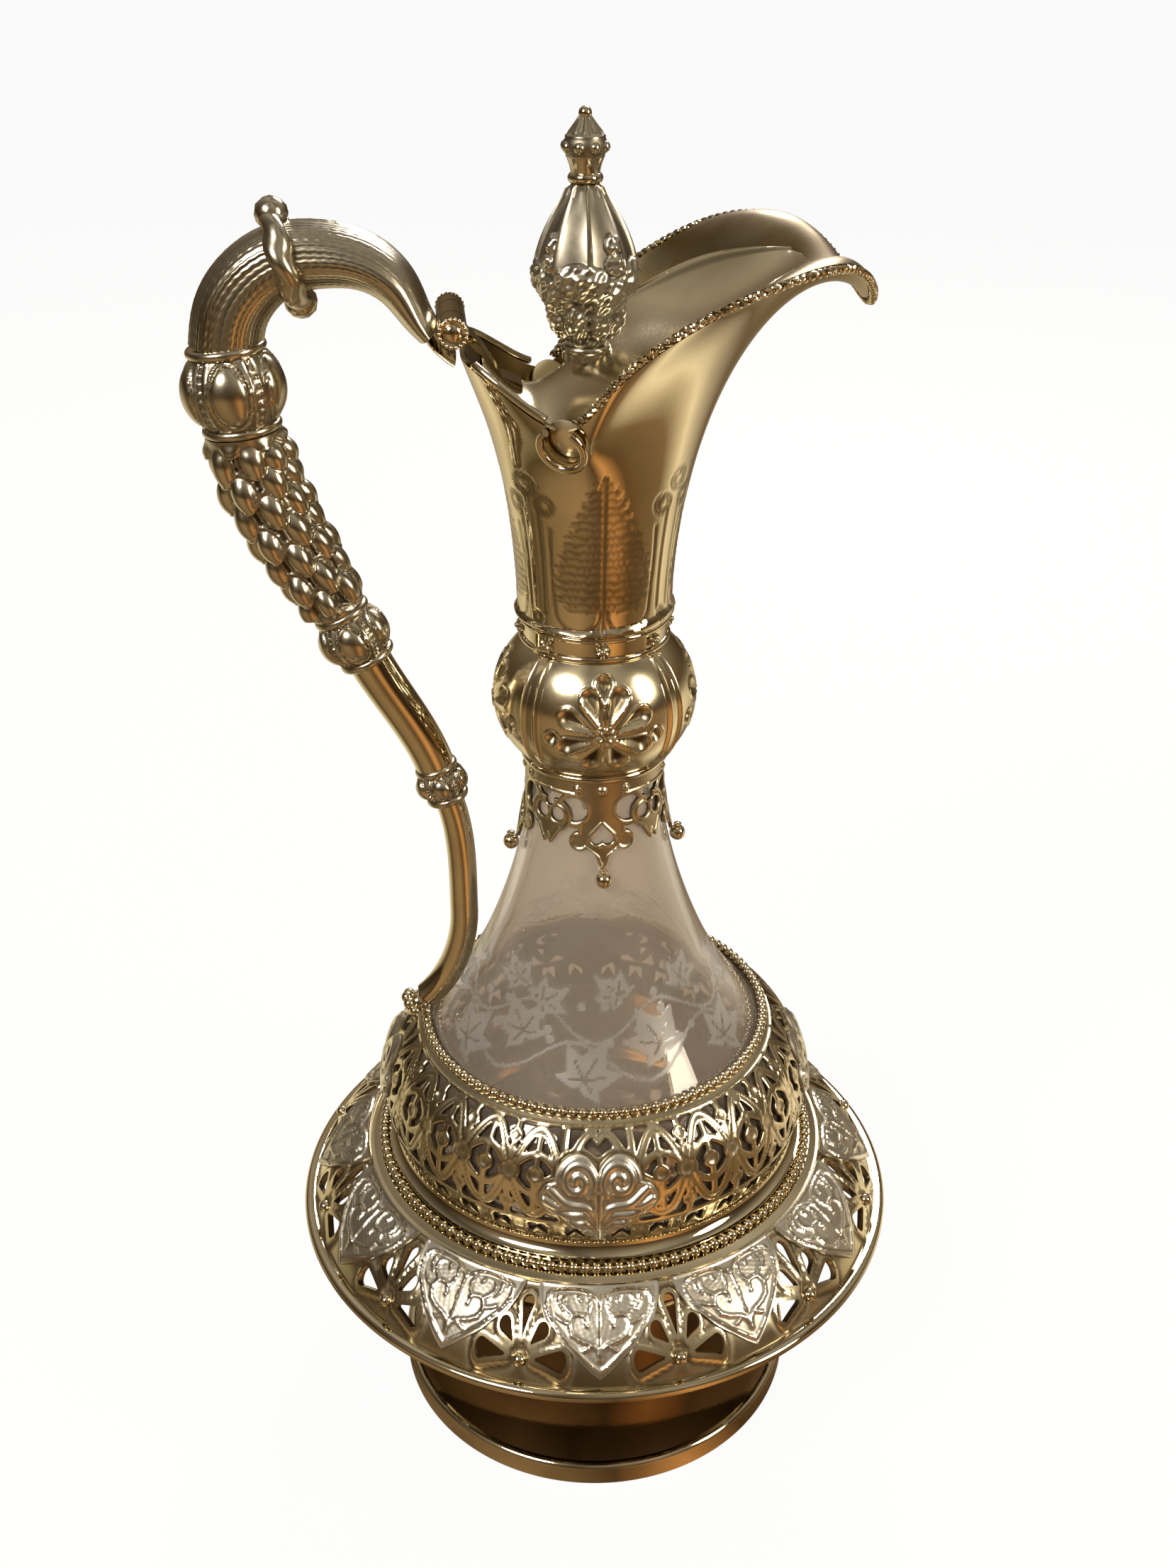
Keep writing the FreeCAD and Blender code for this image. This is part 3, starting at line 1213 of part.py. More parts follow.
tip.setExpression("Placement.Base.z", in_sheet(TURBAN_TOP + " + tip_radius"))
keep(tip, "finial_tip")
screw_foot = s.lid_top_height - s.lid_wall - s.nut_height - s.finial_ring_height
kept_shape("finial_screw", Part.makeCylinder(
    s.screw_radius, ring_top + s.screw_depth - screw_foot, finial_spot + UP * screw_foot
))
nut_blank = Part.makeCylinder(s.nut_radius, 2 * s.nut_height + s.lid_wall, finial_spot + UP * screw_foot)
nut_cut = nut_blank.cut([lid_shape, screw_room])
kept_shape("finial_nut", min(nut_cut.Solids, key=lambda solid: solid.BoundBox.ZMin))

# Handle: three turned balls joined by a horn, a grip and two tubes that start square to the balls


class Ball:
    """A ball of the handle: where it sits, how its axis leans and how wide its plain ends are."""

    def __init__(self, name):
        self.name = name
        lean = math.radians(getattr(s, name + "_tilt"))
        self.down = Vector(math.sin(lean), 0, -math.cos(lean))
        self.middle = Vector(getattr(s, name + "_reach"), 0, getattr(s, name + "_height"))
        self.half = 0.5 * getattr(s, name + "_length")
        self.top = self.middle - self.down * self.half
        self.foot = self.middle + self.down * self.half

    def build(self, label):
        radius = self.name + "_radius"
        length = self.name + "_length"
        end = "0.7 * " + radius
        return turned_body(label, [
            ("0", "0"),
            (end, "0"),
            (end, "ball_ring", (end + " + 0.4 * ball_ring", "0.5 * ball_ring")),
            (end, length + " - ball_ring", (radius, "0.5 * " + length)),
            (end, length, (end + " + 0.4 * ball_ring", length + " - 0.5 * ball_ring")),
            ("0", length),
        ], FreeCAD.Placement(self.foot, Rotation(UP, self.down * -1)))


upper = Ball("ball_upper")
lower = Ball("ball_lower")
small = Ball("ball_small")
upper.build("handle_upper_ball")
lower.build("handle_lower_ball")
small.build("handle_small_ball")


def pulled_path(start, start_run, end, end_run, count):
    """Points and directions of a cubic path that leaves and arrives along given directions."""
    pull = (end - start).Length / 3
    pulls = (start, start + start_run * pull, end - end_run * pull, end)
    shares = [i / count for i in range(count + 1)]
    points = [on_meridian(pulls, share) for share in shares]
    runs = [on_meridian(pulls, min(q + 0.01, 1)) - on_meridian(pulls, max(q - 0.01, 0)) for q in shares]
    runs[0] = start_run
    runs[-1] = end_run
    return list(zip(points, [run.normalize() for run in runs]))


def tube(path, thickness, width, label):
    """A rod along a path in the XZ plane; thickness and width are functions of the share of its length."""
    rings = []
    for i, (point, run) in enumerate(path):
        share = i / (len(path) - 1)
        rings.append(ring_of(point, run.cross(SIDE), SIDE, thickness(share), width(share)))
    return rod_solid(rings, label)


def grip_radius(share):
    return s.grip_end_radius + (s.grip_radius - s.grip_end_radius) * (1 - share ** 2.5)


grip_path = pulled_path(upper.foot, Vector(upper.down), lower.top, Vector(lower.down), 8)
kept_shape("handle_grip", tube(grip_path, grip_radius, grip_radius, "handle_grip"))


def mid_radius(share):
    return s.mid_tube_radius - 0.08 * s.mid_tube_radius * share


mid_path = pulled_path(lower.foot, Vector(lower.down), small.top, Vector(small.down), 6)
kept_shape("handle_mid_tube", tube(mid_path, mid_radius, mid_radius, "handle_mid_tube"))


def low_radius(share):
    return s.low_tube_radius


bow = Vector(s.bow_reach, 0, s.bow_height)
terminal = Vector(s.terminal_reach, 0, s.terminal_height)
terminal_run = Vector(-0.75, 0, -0.66).normalize()
low_path = pulled_path(small.foot, Vector(small.down), bow, Vector(0, 0, -1), 6)[:-1]
low_path += pulled_path(bow, Vector(0, 0, -1), terminal, Vector(terminal_run), 6)
kept_shape("handle_lower_tube", tube(low_path, low_radius, low_radius, "handle_lower_tube"))


def terminal_shape():
    """A bead with a ring of petals on the side away from the glass."""
    middle = terminal + terminal_run * (s.terminal_radius + s.seat_gap)
    away = terminal_run.cross(SIDE)
    if away.z < 0:
        away = away * -1
    reach = s.terminal_radius + 0.25 * s.terminal_petal
    shape = Part.makeSphere(s.terminal_radius, middle)
    for turn in (-1.5, -0.7, 0.0, 0.7, 1.5):
        spot = middle + away * (reach * math.cos(turn)) + SIDE * (reach * math.sin(turn))
        shape = shape.fuse(Part.makeSphere(s.terminal_petal, spot + terminal_run * (0.8 * s.terminal_petal)))
    return shape.removeSplitter()


kept_shape("handle_terminal", biggest(terminal_shape()))

horn_start = Vector(s.hinge_reach - s.bracket_rear, 0, s.hinge_height - 0.5 * s.barrel_radius)
horn_line = Part.BSplineCurve()
horn_line.interpolate(
    Points=[
        horn_start,
        Vector(s.horn_rise_reach, 0, s.horn_rise_height),
        Vector(s.horn_crown_reach, 0, s.horn_crown_height),
        Vector(s.horn_fall_reach, 0, s.horn_fall_height),
        upper.top - upper.down * (4 * s.seat_gap),
    ],
    InitialTangent=Vector(-1, 0, 0),
    FinalTangent=upper.down,
)


def horn_thickness(share):
    return s.horn_tip_thickness + (s.horn_radius - s.horn_tip_thickness) * (1 - (1 - share) ** 2.4)


def horn_width(share):
    return s.horn_tip_half + (s.horn_radius - s.horn_tip_half) * (1 - (1 - share) ** 1.8)


def horn_path():
    points = horn_line.discretize(Number=16)
    return [(point, horn_line.tangent(horn_line.parameter(point))[0].normalize()) for point in points]


horn = tube(horn_path(), horn_thickness, horn_width, "handle_horn")
kept_shape("handle_horn", horn)

tie_spot, tie_run = min(horn_path(), key=lambda step: abs(
    horn_line.parameter(step[0]) - s.tie_share * horn_line.LastParameter
))
tie_radius = horn_width(s.tie_share) + s.tie_wire + 2 * s.seat_gap
tie_ring = Part.makeTorus(tie_radius, s.tie_wire, tie_spot, tie_run)
kept_shape("handle_tie_ring", tie_ring)
tie_across = tie_run.cross(SIDE)
tie_balls = []
for side in (1, -1):
    reach = side * (tie_radius + 0.7 * s.tie_ball_radius)
    ball = Part.makeSphere(s.tie_ball_radius, tie_spot + tie_across * reach)
    tie_balls.append(biggest(ball.cut(tie_ring)))
kept_shape("tie_ring_balls", Part.makeCompound(tie_balls))

# Every object recomputed without an error, every shape sound, then one file for each sub-part

doc.recompute()
faults = [item.Name for item in doc.Objects if "Invalid" in item.State or "Error" in item.State]
for item in subparts:
    if item.Shape.isNull() or not item.Shape.isValid() or item.Shape.Volume <= 0:
        faults.append(item.Label + " shape")
if faults:
    raise RuntimeError("not sound: " + ", ".join(faults))
os.makedirs("parts", exist_ok=True)
for item in subparts:
    item.Shape.exportStep(f"parts/{item.Label}.step")
    box = item.Shape.BoundBox
    print(f"{item.Label:20s} {len(item.Shape.Solids):3d} solids {item.Shape.Volume:10.1f} mm3 "
          f"x {box.XMin:7.2f} {box.XMax:7.2f} y {box.YMin:7.2f} {box.YMax:7.2f} "
          f"z {box.ZMin:7.2f} {box.ZMax:7.2f}")
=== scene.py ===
# %% [markdown]
# # A claret jug in glass and silver-gilt
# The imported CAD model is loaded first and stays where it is. Every piece below is made in the same frame,
# so it lands on its CAD solid without fitting. Sizes are written in millimetres, as a silversmith would
# give them, and become metres when a mesh is made.

# %% Frame
import math

import bmesh
import bpy
import numpy as np
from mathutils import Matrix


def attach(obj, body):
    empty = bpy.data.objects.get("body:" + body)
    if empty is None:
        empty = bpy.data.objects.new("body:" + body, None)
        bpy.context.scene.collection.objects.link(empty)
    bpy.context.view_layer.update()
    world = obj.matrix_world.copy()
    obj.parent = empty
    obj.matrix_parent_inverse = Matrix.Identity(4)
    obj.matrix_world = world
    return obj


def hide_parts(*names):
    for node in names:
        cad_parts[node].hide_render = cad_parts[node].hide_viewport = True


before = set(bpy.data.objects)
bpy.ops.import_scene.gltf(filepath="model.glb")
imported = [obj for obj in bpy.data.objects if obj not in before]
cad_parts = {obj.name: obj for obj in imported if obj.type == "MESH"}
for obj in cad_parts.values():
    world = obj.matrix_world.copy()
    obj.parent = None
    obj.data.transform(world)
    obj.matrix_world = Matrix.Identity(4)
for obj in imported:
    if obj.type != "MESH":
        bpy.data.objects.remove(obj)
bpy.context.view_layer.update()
MM = 0.001
SAME_POINT = 1e-6
TURN = 2 * math.pi

# %% [markdown]
# ## Curves and profiles
# A turned piece is a profile in radius and height. Short arcs could be joined one by one, but a spline
# through a few stations gives the soft lines of spun metal and blown glass, so one helper draws it.


# %% Spline through stations
def way_along(points):
    """Length walked to each point of a line."""
    steps = np.linalg.norm(np.diff(points, axis=0), axis=1)
    return np.concatenate([[0.0], np.cumsum(steps)])


def evenly(points, count):
    """The same line with its points spread evenly."""
    way = way_along(points)
    wanted = np.linspace(0, way[-1], count)
    return np.stack([np.interp(wanted, way, points[:, k]) for k in range(points.shape[1])], axis=1)


def even_spline(stations, count, closed=False):
    """Points spread evenly on a smooth curve through the stations, of any dimension."""
    places = np.array(stations, float)
    loop = np.vstack([places, places[:1]]) if closed else places
    steps = np.linalg.norm(np.diff(loop, axis=0), axis=1)
    knots = way_along(loop)
    size = len(places)
    matrix = np.zeros((size, size))
    right = np.zeros(places.shape)
    for i in range(size):
        if not closed and i in (0, size - 1):
            matrix[i, i] = 1.0
            continue
        before = steps[i - 1]
        after = steps[i] if i < len(steps) else steps[0]
        matrix[i, (i - 1) % size] = before
        matrix[i, i] = 2 * (before + after)
        matrix[i, (i + 1) % size] = after
        rise = (loop[(i + 1) if i + 1 < len(loop) else 1] - places[i]) / after
        fall = (places[i] - places[i - 1]) / before
        right[i] = 6 * (rise - fall)
    bends = np.linalg.solve(matrix, right)
    if closed:
        bends = np.vstack([bends, bends[:1]])
    dense = np.linspace(0, knots[-1], max(40 * len(places), 400))
    cell = np.clip(np.searchsorted(knots, dense, side="right") - 1, 0, len(steps) - 1)
    span = steps[cell][:, None]
    ahead = ((dense - knots[cell])[:, None]) / span
    behind = 1 - ahead
    points = behind * loop[cell] + ahead * loop[cell + 1]
    points += ((behind ** 3 - behind) * bends[cell] + (ahead ** 3 - ahead) * bends[cell + 1]) * span ** 2 / 6
    return evenly(points, count)


def arc_through(start, middle, end, count):
    """Points on the circle through three points of a profile."""
    ax, ay = start
    bx, by = middle
    cx, cy = end
    twice = 2 * (ax * (by - cy) + bx * (cy - ay) + cx * (ay - by))
    ux = ((ax**2 + ay**2) * (by - cy) + (bx**2 + by**2) * (cy - ay) + (cx**2 + cy**2) * (ay - by)) / twice
    uy = ((ax**2 + ay**2) * (cx - bx) + (bx**2 + by**2) * (ax - cx) + (cx**2 + cy**2) * (bx - ax)) / twice
    radius = math.hypot(ax - ux, ay - uy)
    first = math.atan2(ay - uy, ax - ux)
    mid = (math.atan2(by - uy, bx - ux) - first) % TURN
    last = (math.atan2(cy - uy, cx - ux) - first) % TURN
    if mid > last:
        last -= TURN
    turns = first + np.linspace(0, last, count)
    return np.stack([ux + radius * np.cos(turns), uy + radius * np.sin(turns)], axis=1)


def joined(*stretches):
    """Stretches of a profile set end to end, without doubled points."""
    points = [np.array(stretches[0], float)]
    for stretch in stretches[1:]:
        stretch = np.array(stretch, float)
        if np.linalg.norm(stretch[0] - points[-1][-1]) < 1e-6:
            stretch = stretch[1:]
        points.append(stretch)
    return np.vstack(points)


known_arc = arc_through((10.0, 0.0), (6.0, 8.0), (0.0, 10.0), 90)
print("a quarter of a 10 mm circle is", round(way_along(known_arc)[-1], 2), "mm long")

# %% [markdown]
# ## From points to a piece
# Each piece is a closed mesh with smooth faces and sharp edges where the metal turns a corner. It carries
# one number for every point, called recess: 0 on high polished spots and 1 in the chased hollows, which
# the finishes read to lay dark tarnish into the hollows. The piece then rides on its CAD body.


# %% Piece maker
def number_points(mesh, name, values):
    """Writes one number for every point of a mesh."""
    numbers = mesh.attributes.new(name, "FLOAT", "POINT")
    numbers.data.foreach_set("value", values.astype(np.float32))


def make_mesh(name, points, faces, recess=None, sharp=38.0):
    """A mesh from points in millimetres, with doubles merged and the recess attribute written."""
    mesh = bpy.data.meshes.new(name)
    mesh.from_pydata((np.asarray(points) * MM).tolist(), [], faces)
    number_points(mesh, "recess", np.zeros(len(points)) if recess is None else np.clip(recess, 0, 1))
    build = bmesh.new()
    build.from_mesh(mesh)
    bmesh.ops.remove_doubles(build, verts=build.verts, dist=SAME_POINT)
    bmesh.ops.recalc_face_normals(build, faces=build.faces)
    build.to_mesh(mesh)
    build.free()
    mesh.polygons.foreach_set("use_smooth", np.ones(len(mesh.polygons), dtype=bool))
    mesh.set_sharp_from_angle(angle=math.radians(sharp))
    return mesh


def show(name, mesh, finish, *nodes, body="jug", slot="gilt"):
    """Puts a finished mesh into the scene, on its body and in place of its CAD nodes."""
    piece = bpy.data.objects.new(name, mesh)
    bpy.context.scene.collection.objects.link(piece)
    mesh.materials.clear()
    mesh.materials.append(finish)
    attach(piece, body)
    if nodes:
        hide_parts(*nodes)
    print(f"{name}: {len(mesh.polygons)} faces")


def grid_faces(rows, columns, closed_rows=False, closed_columns=False):
    """Quads over a grid of points listed row by row."""
    last_row = rows if closed_rows else rows - 1
    last_column = columns if closed_columns else columns - 1
    i, j = np.meshgrid(np.arange(last_row), np.arange(last_column), indexing="ij")
    up = (i + 1) % rows
    on = (j + 1) % columns
    quads = np.stack([i * columns + j, i * columns + on, up * columns + on, up * columns + j], axis=-1)
    return quads.reshape(-1, 4).tolist()


def turned_points(profile, columns, height=None, loop=False):
    """Points of a turned piece; height(turn, along) lifts the metal off the profile."""
    profile = np.array(profile, float)
    before = np.roll(profile, 1, axis=0)
    after = np.roll(profile, -1, axis=0)
    if not loop:
        before[0] = profile[0]
        after[-1] = profile[-1]
    run = after - before
    run /= np.maximum(np.linalg.norm(run, axis=1), 1e-9)[:, None]
    outward = np.stack([run[:, 1], -run[:, 0]], axis=1)
    along = way_along(profile)
    turn = np.arange(columns) * TURN / columns
    lift = np.zeros((len(profile), columns))
    if height is not None:
        lift = lift + height(turn[None, :], along[:, None])
    radius = profile[:, :1] + lift * outward[:, :1]
    level = profile[:, 1:] + lift * outward[:, 1:]
    points = np.stack([radius * np.cos(turn), radius * np.sin(turn), level], axis=-1)
    return points, lift


def hollows(start, per_mm):
    """Recess from the lift of a relief: start on the ground, more below it and less above."""
    return lambda lift: np.clip(start - per_mm * lift, 0, 1)


def turned_mesh(name, profile, columns, height=None, recess=None, loop=False, place=None):
    """A turned mesh. recess(lift) turns the lift of the relief into the recess attribute."""
    points, lift = turned_points(profile, columns, height, loop)
    flat = points.reshape(-1, 3)
    if place is not None:
        flat = place(flat)
    hollow = None if recess is None else recess(lift).reshape(-1)
    return make_mesh(name, flat, grid_faces(len(points), columns, loop, True), hollow)


def spun(name, line, columns, finish, *nodes, height=None, recess=None, loop=True, place=None, **where):
    """A turned piece, shown in place of its CAD nodes; where may name another body, and a slot, which is not
    used.
    """
    mesh = turned_mesh(name, line, columns, height, recess, loop, place)
    show(name, mesh, finish, *nodes, **where)


print("a 3 by 4 grid has", len(grid_faces(3, 4)), "quads, or", len(grid_faces(3, 4, True, True)), "closed")

# %% [markdown]
# ## Drawing in metal
# Chased and pierced work is drawn flat first. A drop, a ring or a scroll is a distance from a line or
# from an outline, and metal rises or opens where that distance is small. Working with distances keeps
# every edge crisp at any size, and one drawing can serve as an opening, a raised wire or an engraved line.


# %% Distances
def to_polyline(x, y, line):
    """Distance from every point to a line of points."""
    spot = np.stack([np.ravel(x), np.ravel(y)], axis=1)
    best = np.full(len(spot), np.inf)
    for a, b in zip(line[:-1], line[1:]):
        a = np.array(a, float)
        run = np.array(b, float) - a
        share = np.clip(((spot - a) @ run) / max(run @ run, 1e-12), 0, 1)
        best = np.minimum(best, np.linalg.norm(spot - a - share[:, None] * run, axis=1))
    return best.reshape(np.shape(x))


def to_drop(x, y, root, lean, length, width):
    """Signed distance to a drop: a point at its root and a round head; negative inside."""
    c, s = math.cos(lean), math.sin(lean)
    across = (x - root[0]) * c - (y - root[1]) * s
    up = (x - root[0]) * s + (y - root[1]) * c
    head = 0.5 * width
    reach = length - head
    sine = head / reach
    cosine = math.sqrt(1 - sine * sine)
    across = np.abs(across)
    on_side = across * cosine - up * sine
    beyond = up * cosine + across * sine
    side_length = reach * cosine
    to_head = np.hypot(across, up - reach) - head
    to_root = np.hypot(across, up)
    flank = np.where(beyond < 0, to_root, on_side)
    return np.where(beyond > side_length, to_head, flank)


def to_ring(x, y, middle, radius):
    """Signed distance to a circle; negative inside."""
    return np.hypot(x - middle[0], y - middle[1]) - radius


def scroll(middle, radius, start, turns):
    """A volute: a spiral that winds in to its middle."""
    share = np.linspace(0, 1, 40)
    turn = start + turns * TURN * share
    reach = radius * (1 - 0.85 * share)
    return np.stack([middle[0] + reach * np.cos(turn), middle[1] + reach * np.sin(turn)], axis=1)


def bead_of(distance, width):
    """A raised round line."""
    return np.clip(1 - (distance / width) ** 2, 0, 1)


def soft_step(value, low, high):
    """0 at low and 1 at high, with soft ends; low may be the larger."""
    share = np.clip((value - low) / (high - low), 0, 1)
    return share * share * (3 - 2 * share)


head_depth = to_drop(0.0, 8.0, (0.0, 0.0), 0.0, 10.0, 4.0)
print("the middle of a drop's head is", round(float(head_depth), 2), "mm from its edge")

# %% [markdown]
# ## Piercing a sheet
# The dish, the cage and the skirt are sheet metal with sawn openings. A Boolean for every opening would be
# slow and leave long thin faces. Here a fine grid is cut along the line where the drawing's distance is
# zero, square by square, so the sawn edge follows the drawing exactly. The sheet is then laid on the
# turned surface and given its thickness.


# %% Pierced sheet
def pierced_sheet(name, xs, ys, keep, lay, thickness, relief=None, recess=None, seam=False):
    """A sheet over the grid xs by ys, open where keep(x, y) is negative; lay(x, y, h) puts it in space."""
    x, y = np.meshgrid(xs, ys, indexing="xy")
    metal = keep(x, y)
    metal = np.where(np.abs(metal) < 1e-4, 1e-4, metal)
    flat = []
    index = {}
    polygons = []

    def corner(i, j):
        key = (i, j)
        if key not in index:
            index[key] = len(flat)
            flat.append((x[i, j], y[i, j]))
        return index[key]

    def crossing(a, b):
        key = (a, b) if a < b else (b, a)
        if key not in index:
            first, second = key
            share = metal[first] / (metal[first] - metal[second])
            index[key] = len(flat)
            flat.append((
                x[first] + share * (x[second] - x[first]),
                y[first] + share * (y[second] - y[first]),
            ))
        return index[key]

    for i in range(len(ys) - 1):
        for j in range(len(xs) - 1):
            corners = ((i, j), (i, j + 1), (i + 1, j + 1), (i + 1, j))
            signs = [metal[c] > 0 for c in corners]
            if not any(signs):
                continue
            loop = []
            for k in range(4):
                here = corners[k]
                then = corners[(k + 1) % 4]
                if signs[k]:
                    loop.append(corner(*here))
                if signs[k] != signs[(k + 1) % 4]:
                    loop.append(crossing(here, then))
            if len(loop) > 2:
                polygons.append(loop)
    flat = np.array(flat)
    lift = np.zeros(len(flat)) if relief is None else relief(flat[:, 0], flat[:, 1])
    front = lay(flat[:, 0], flat[:, 1], lift)
    back = lay(flat[:, 0], flat[:, 1], np.full(len(flat), -thickness))
    count = len(flat)
    edges = {}
    for loop in polygons:
        for a, b in zip(loop, loop[1:] + loop[:1]):
            edges[(a, b)] = edges.get((a, b), 0) + 1
    faces = list(polygons)
    faces += [[p + count for p in reversed(loop)] for loop in polygons]
    for a, b in edges:
        on_seam = seam and flat[a, 0] == flat[b, 0] and flat[a, 0] in (xs[0], xs[-1])
        if (b, a) not in edges and not on_seam:
            faces.append([b, a, a + count, b + count])
    hollow = np.zeros(count) if recess is None else recess(flat[:, 0], flat[:, 1], lift)
    return make_mesh(name, np.vstack([front, back]), faces, np.concatenate([hollow, np.ones(count)]))


def laid_over(line, measure):
    """A lay for a turned surface: a turn, a place along the line by its measure, a lift square to it."""
    run = np.gradient(line, axis=0)
    run /= np.linalg.norm(run, axis=1)[:, None]
    order = np.argsort(measure)
    known = np.column_stack([line, run])[order].T

    def lay(turn, place, lift):
        radius, level, run_r, run_z = (np.interp(place, measure[order], row) for row in known)
        reach = radius + lift * run_z
        return np.stack([reach * np.cos(turn), reach * np.sin(turn), level - lift * run_r], axis=-1)

    return lay


on_bevel = laid_over(np.array([(20.0, 0.0), (10.0, 10.0)]), np.array([0.0, 1.0]))
print("half way up a bevel and 1 mm over it:", np.round(on_bevel(0.0, 0.5, 1.0), 2))

# %% [markdown]
# ## Finishes
# Gilt and silver age alike: polish wears the high spots bright, soft clouds of tarnish dull the sheet, and
# dark wax stays in the hollows. That ageing is one node group, placed in every metal with its own values.
# The Principled shader stays in the material, so the export can read it.


# %% Ageing group
def put(tree, node, values):
    """Puts sockets or plain values into a node's inputs, by name or by number."""
    for label, value in values.items():
        if isinstance(value, bpy.types.NodeSocket):
            tree.links.new(value, node.inputs[label])
        else:
            node.inputs[label].default_value = value
    return node


def add(tree, kind, values):
    """A new node with its inputs filled in."""
    return put(tree, tree.nodes.new(kind), values)


def new_group(name, kind, inputs, outputs):
    """A node group; its inputs and outputs are given as names with a kind of socket."""
    group = bpy.data.node_groups.new(name, kind)
    for way, sockets in (("INPUT", inputs), ("OUTPUT", outputs)):
        for label, socket in sockets.items():
            group.interface.new_socket(label, in_out=way, socket_type="NodeSocket" + socket)
    return group, group.nodes.new("NodeGroupInput"), group.nodes.new("NodeGroupOutput")


def maths(tree, operation, *values, clamp=False):
    """A Math node on sockets or plain numbers."""
    node = add(tree, "ShaderNodeMath", dict(enumerate(values)))
    node.operation = operation
    node.use_clamp = clamp
    return node.outputs[0]


def noise(tree, scale, detail):
    """Noise that is fixed to the piece."""
    place = tree.nodes.new("ShaderNodeTexCoord").outputs["Object"]
    return add(tree, "ShaderNodeTexNoise", {"Vector": place, "Scale": scale, "Detail": detail}).outputs["Fac"]


def ageing_group():
    """Clouds of tarnish, wax in the hollows and fine polishing marks."""
    group, given, out = new_group(
        "Ageing", "ShaderNodeTree", {"Recess": "Float", "Tarnish": "Float"},
        {"Cloud": "Float", "Wax": "Float", "Rough": "Float", "Height": "Float"},
    )
    cloud = noise(group, 60.0, 4.0)
    marks = noise(group, 900.0, 2.0)
    clouds = maths(group, "MULTIPLY", maths(group, "SUBTRACT", cloud, 0.35, clamp=True), 2.2, clamp=True)
    cling = maths(group, "ADD", 0.55, maths(group, "MULTIPLY", cloud, 0.8))
    wax = maths(group, "MULTIPLY", given.outputs["Recess"], cling, clamp=True)
    tarnished = maths(group, "MULTIPLY", clouds, given.outputs["Tarnish"])
    rough = maths(group, "ADD", tarnished, maths(group, "MULTIPLY", wax, 0.35))
    rough = maths(group, "ADD", rough, maths(group, "MULTIPLY", marks, 0.05))
    height = maths(group, "ADD", marks, maths(group, "MULTIPLY", cloud, 0.5))
    put(group, out, {"Cloud": clouds, "Wax": wax, "Rough": rough, "Height": height})
    return group


AGEING = ageing_group()
print("shader group", AGEING.name)

# %% [markdown]
# ## Metals
# All metals share one recipe: a bright and a dull colour for the sheet, a wax colour for the hollows, and
# how rough and how tarnished it is. Only these values part polished gilt from chased gilt and silver.


# %% Metal finishes
def blank_material(name):
    material = bpy.data.materials.new(name)
    material.use_nodes = True
    tree = material.node_tree
    return material, tree, tree.nodes["Principled BSDF"]


def blend(tree, share, first, second):
    """A colour between two colours or colour sockets."""
    node = tree.nodes.new("ShaderNodeMix")
    node.data_type = "RGBA"
    first, second = ((*colour, 1.0) if isinstance(colour, tuple) else colour for colour in (first, second))
    return put(tree, node, {"Factor": share, "A": first, "B": second}).outputs["Result"]


def attribute(tree, name):
    node = tree.nodes.new("ShaderNodeAttribute")
    node.attribute_name = name
    return node.outputs["Fac"]


def roughen(tree, shader, height, strength, depth):
    """Fine unevenness of a surface, as a bump."""
    bump = add(tree, "ShaderNodeBump", {"Strength": strength, "Distance": depth, "Height": height})
    put(tree, shader, {"Normal": bump.outputs["Normal"]})


def metal(name, bright, dull, wax, rough, tarnish):
    """Polished or chased metal with its own colours, aged by the shared group."""
    material, tree, shader = blank_material(name)
    aged = tree.nodes.new("ShaderNodeGroup")
    aged.node_tree = AGEING
    put(tree, aged, {"Recess": attribute(tree, "recess"), "Tarnish": tarnish})
    sheet = blend(tree, aged.outputs["Cloud"], bright, dull)
    put(tree, shader, {
        "Base Color": blend(tree, aged.outputs["Wax"], sheet, wax),
        "Roughness": maths(tree, "ADD", aged.outputs["Rough"], rough, clamp=True),
        "Metallic": 1.0,
    })
    roughen(tree, shader, aged.outputs["Height"], 0.02, 0.0004)
    return material


GILT = metal("gilt_polished", (0.62, 0.54, 0.38), (0.46, 0.39, 0.25), (0.12, 0.08, 0.03), 0.02, 0.05)
GILT_CHASED = metal("gilt_chased", (0.64, 0.56, 0.39), (0.5, 0.42, 0.27), (0.07, 0.045, 0.02), 0.13, 0.08)
SILVER = metal("silver_chased", (0.66, 0.62, 0.53), (0.52, 0.48, 0.4), (0.14, 0.115, 0.08), 0.2, 0.1)
GILT_SILVER = metal("silver_gilt_worn", (0.53, 0.48, 0.37), (0.36, 0.32, 0.24), (0.06, 0.05, 0.03),
                    0.14, 0.12)
SILVER_WORN = metal("silver_worn", (0.52, 0.48, 0.39), (0.34, 0.31, 0.25), (0.05, 0.04, 0.025), 0.2, 0.15)
# The foot's gilt: the shade under the dish and a dim reflection painted into its colour.
GILT_PAINTED_SHADE = metal("gilt_shadowed", (0.18, 0.12, 0.06), (0.11, 0.07, 0.035), (0.10, 0.06, 0.03), 0.03, 0.06)
# A rougher gilt whose colour is lighter than the others, which paints a bright lit face on the lobes.
SATIN_PAINTED_LIGHT = metal("gilt_satin_painted_light", (0.82, 0.73, 0.54), (0.68, 0.59, 0.41), (0.2, 0.14, 0.07), 0.26, 0.08)
GILT_SOFT = metal("gilt_soft", (0.62, 0.54, 0.38), (0.46, 0.39, 0.25), (0.08, 0.05, 0.02), 0.16, 0.06)
PIN = metal("drawn_pin", (0.56, 0.48, 0.34), (0.42, 0.35, 0.24), (0.1, 0.07, 0.04), 0.22, 0.2)
print("metals", [m.name for m in bpy.data.materials])
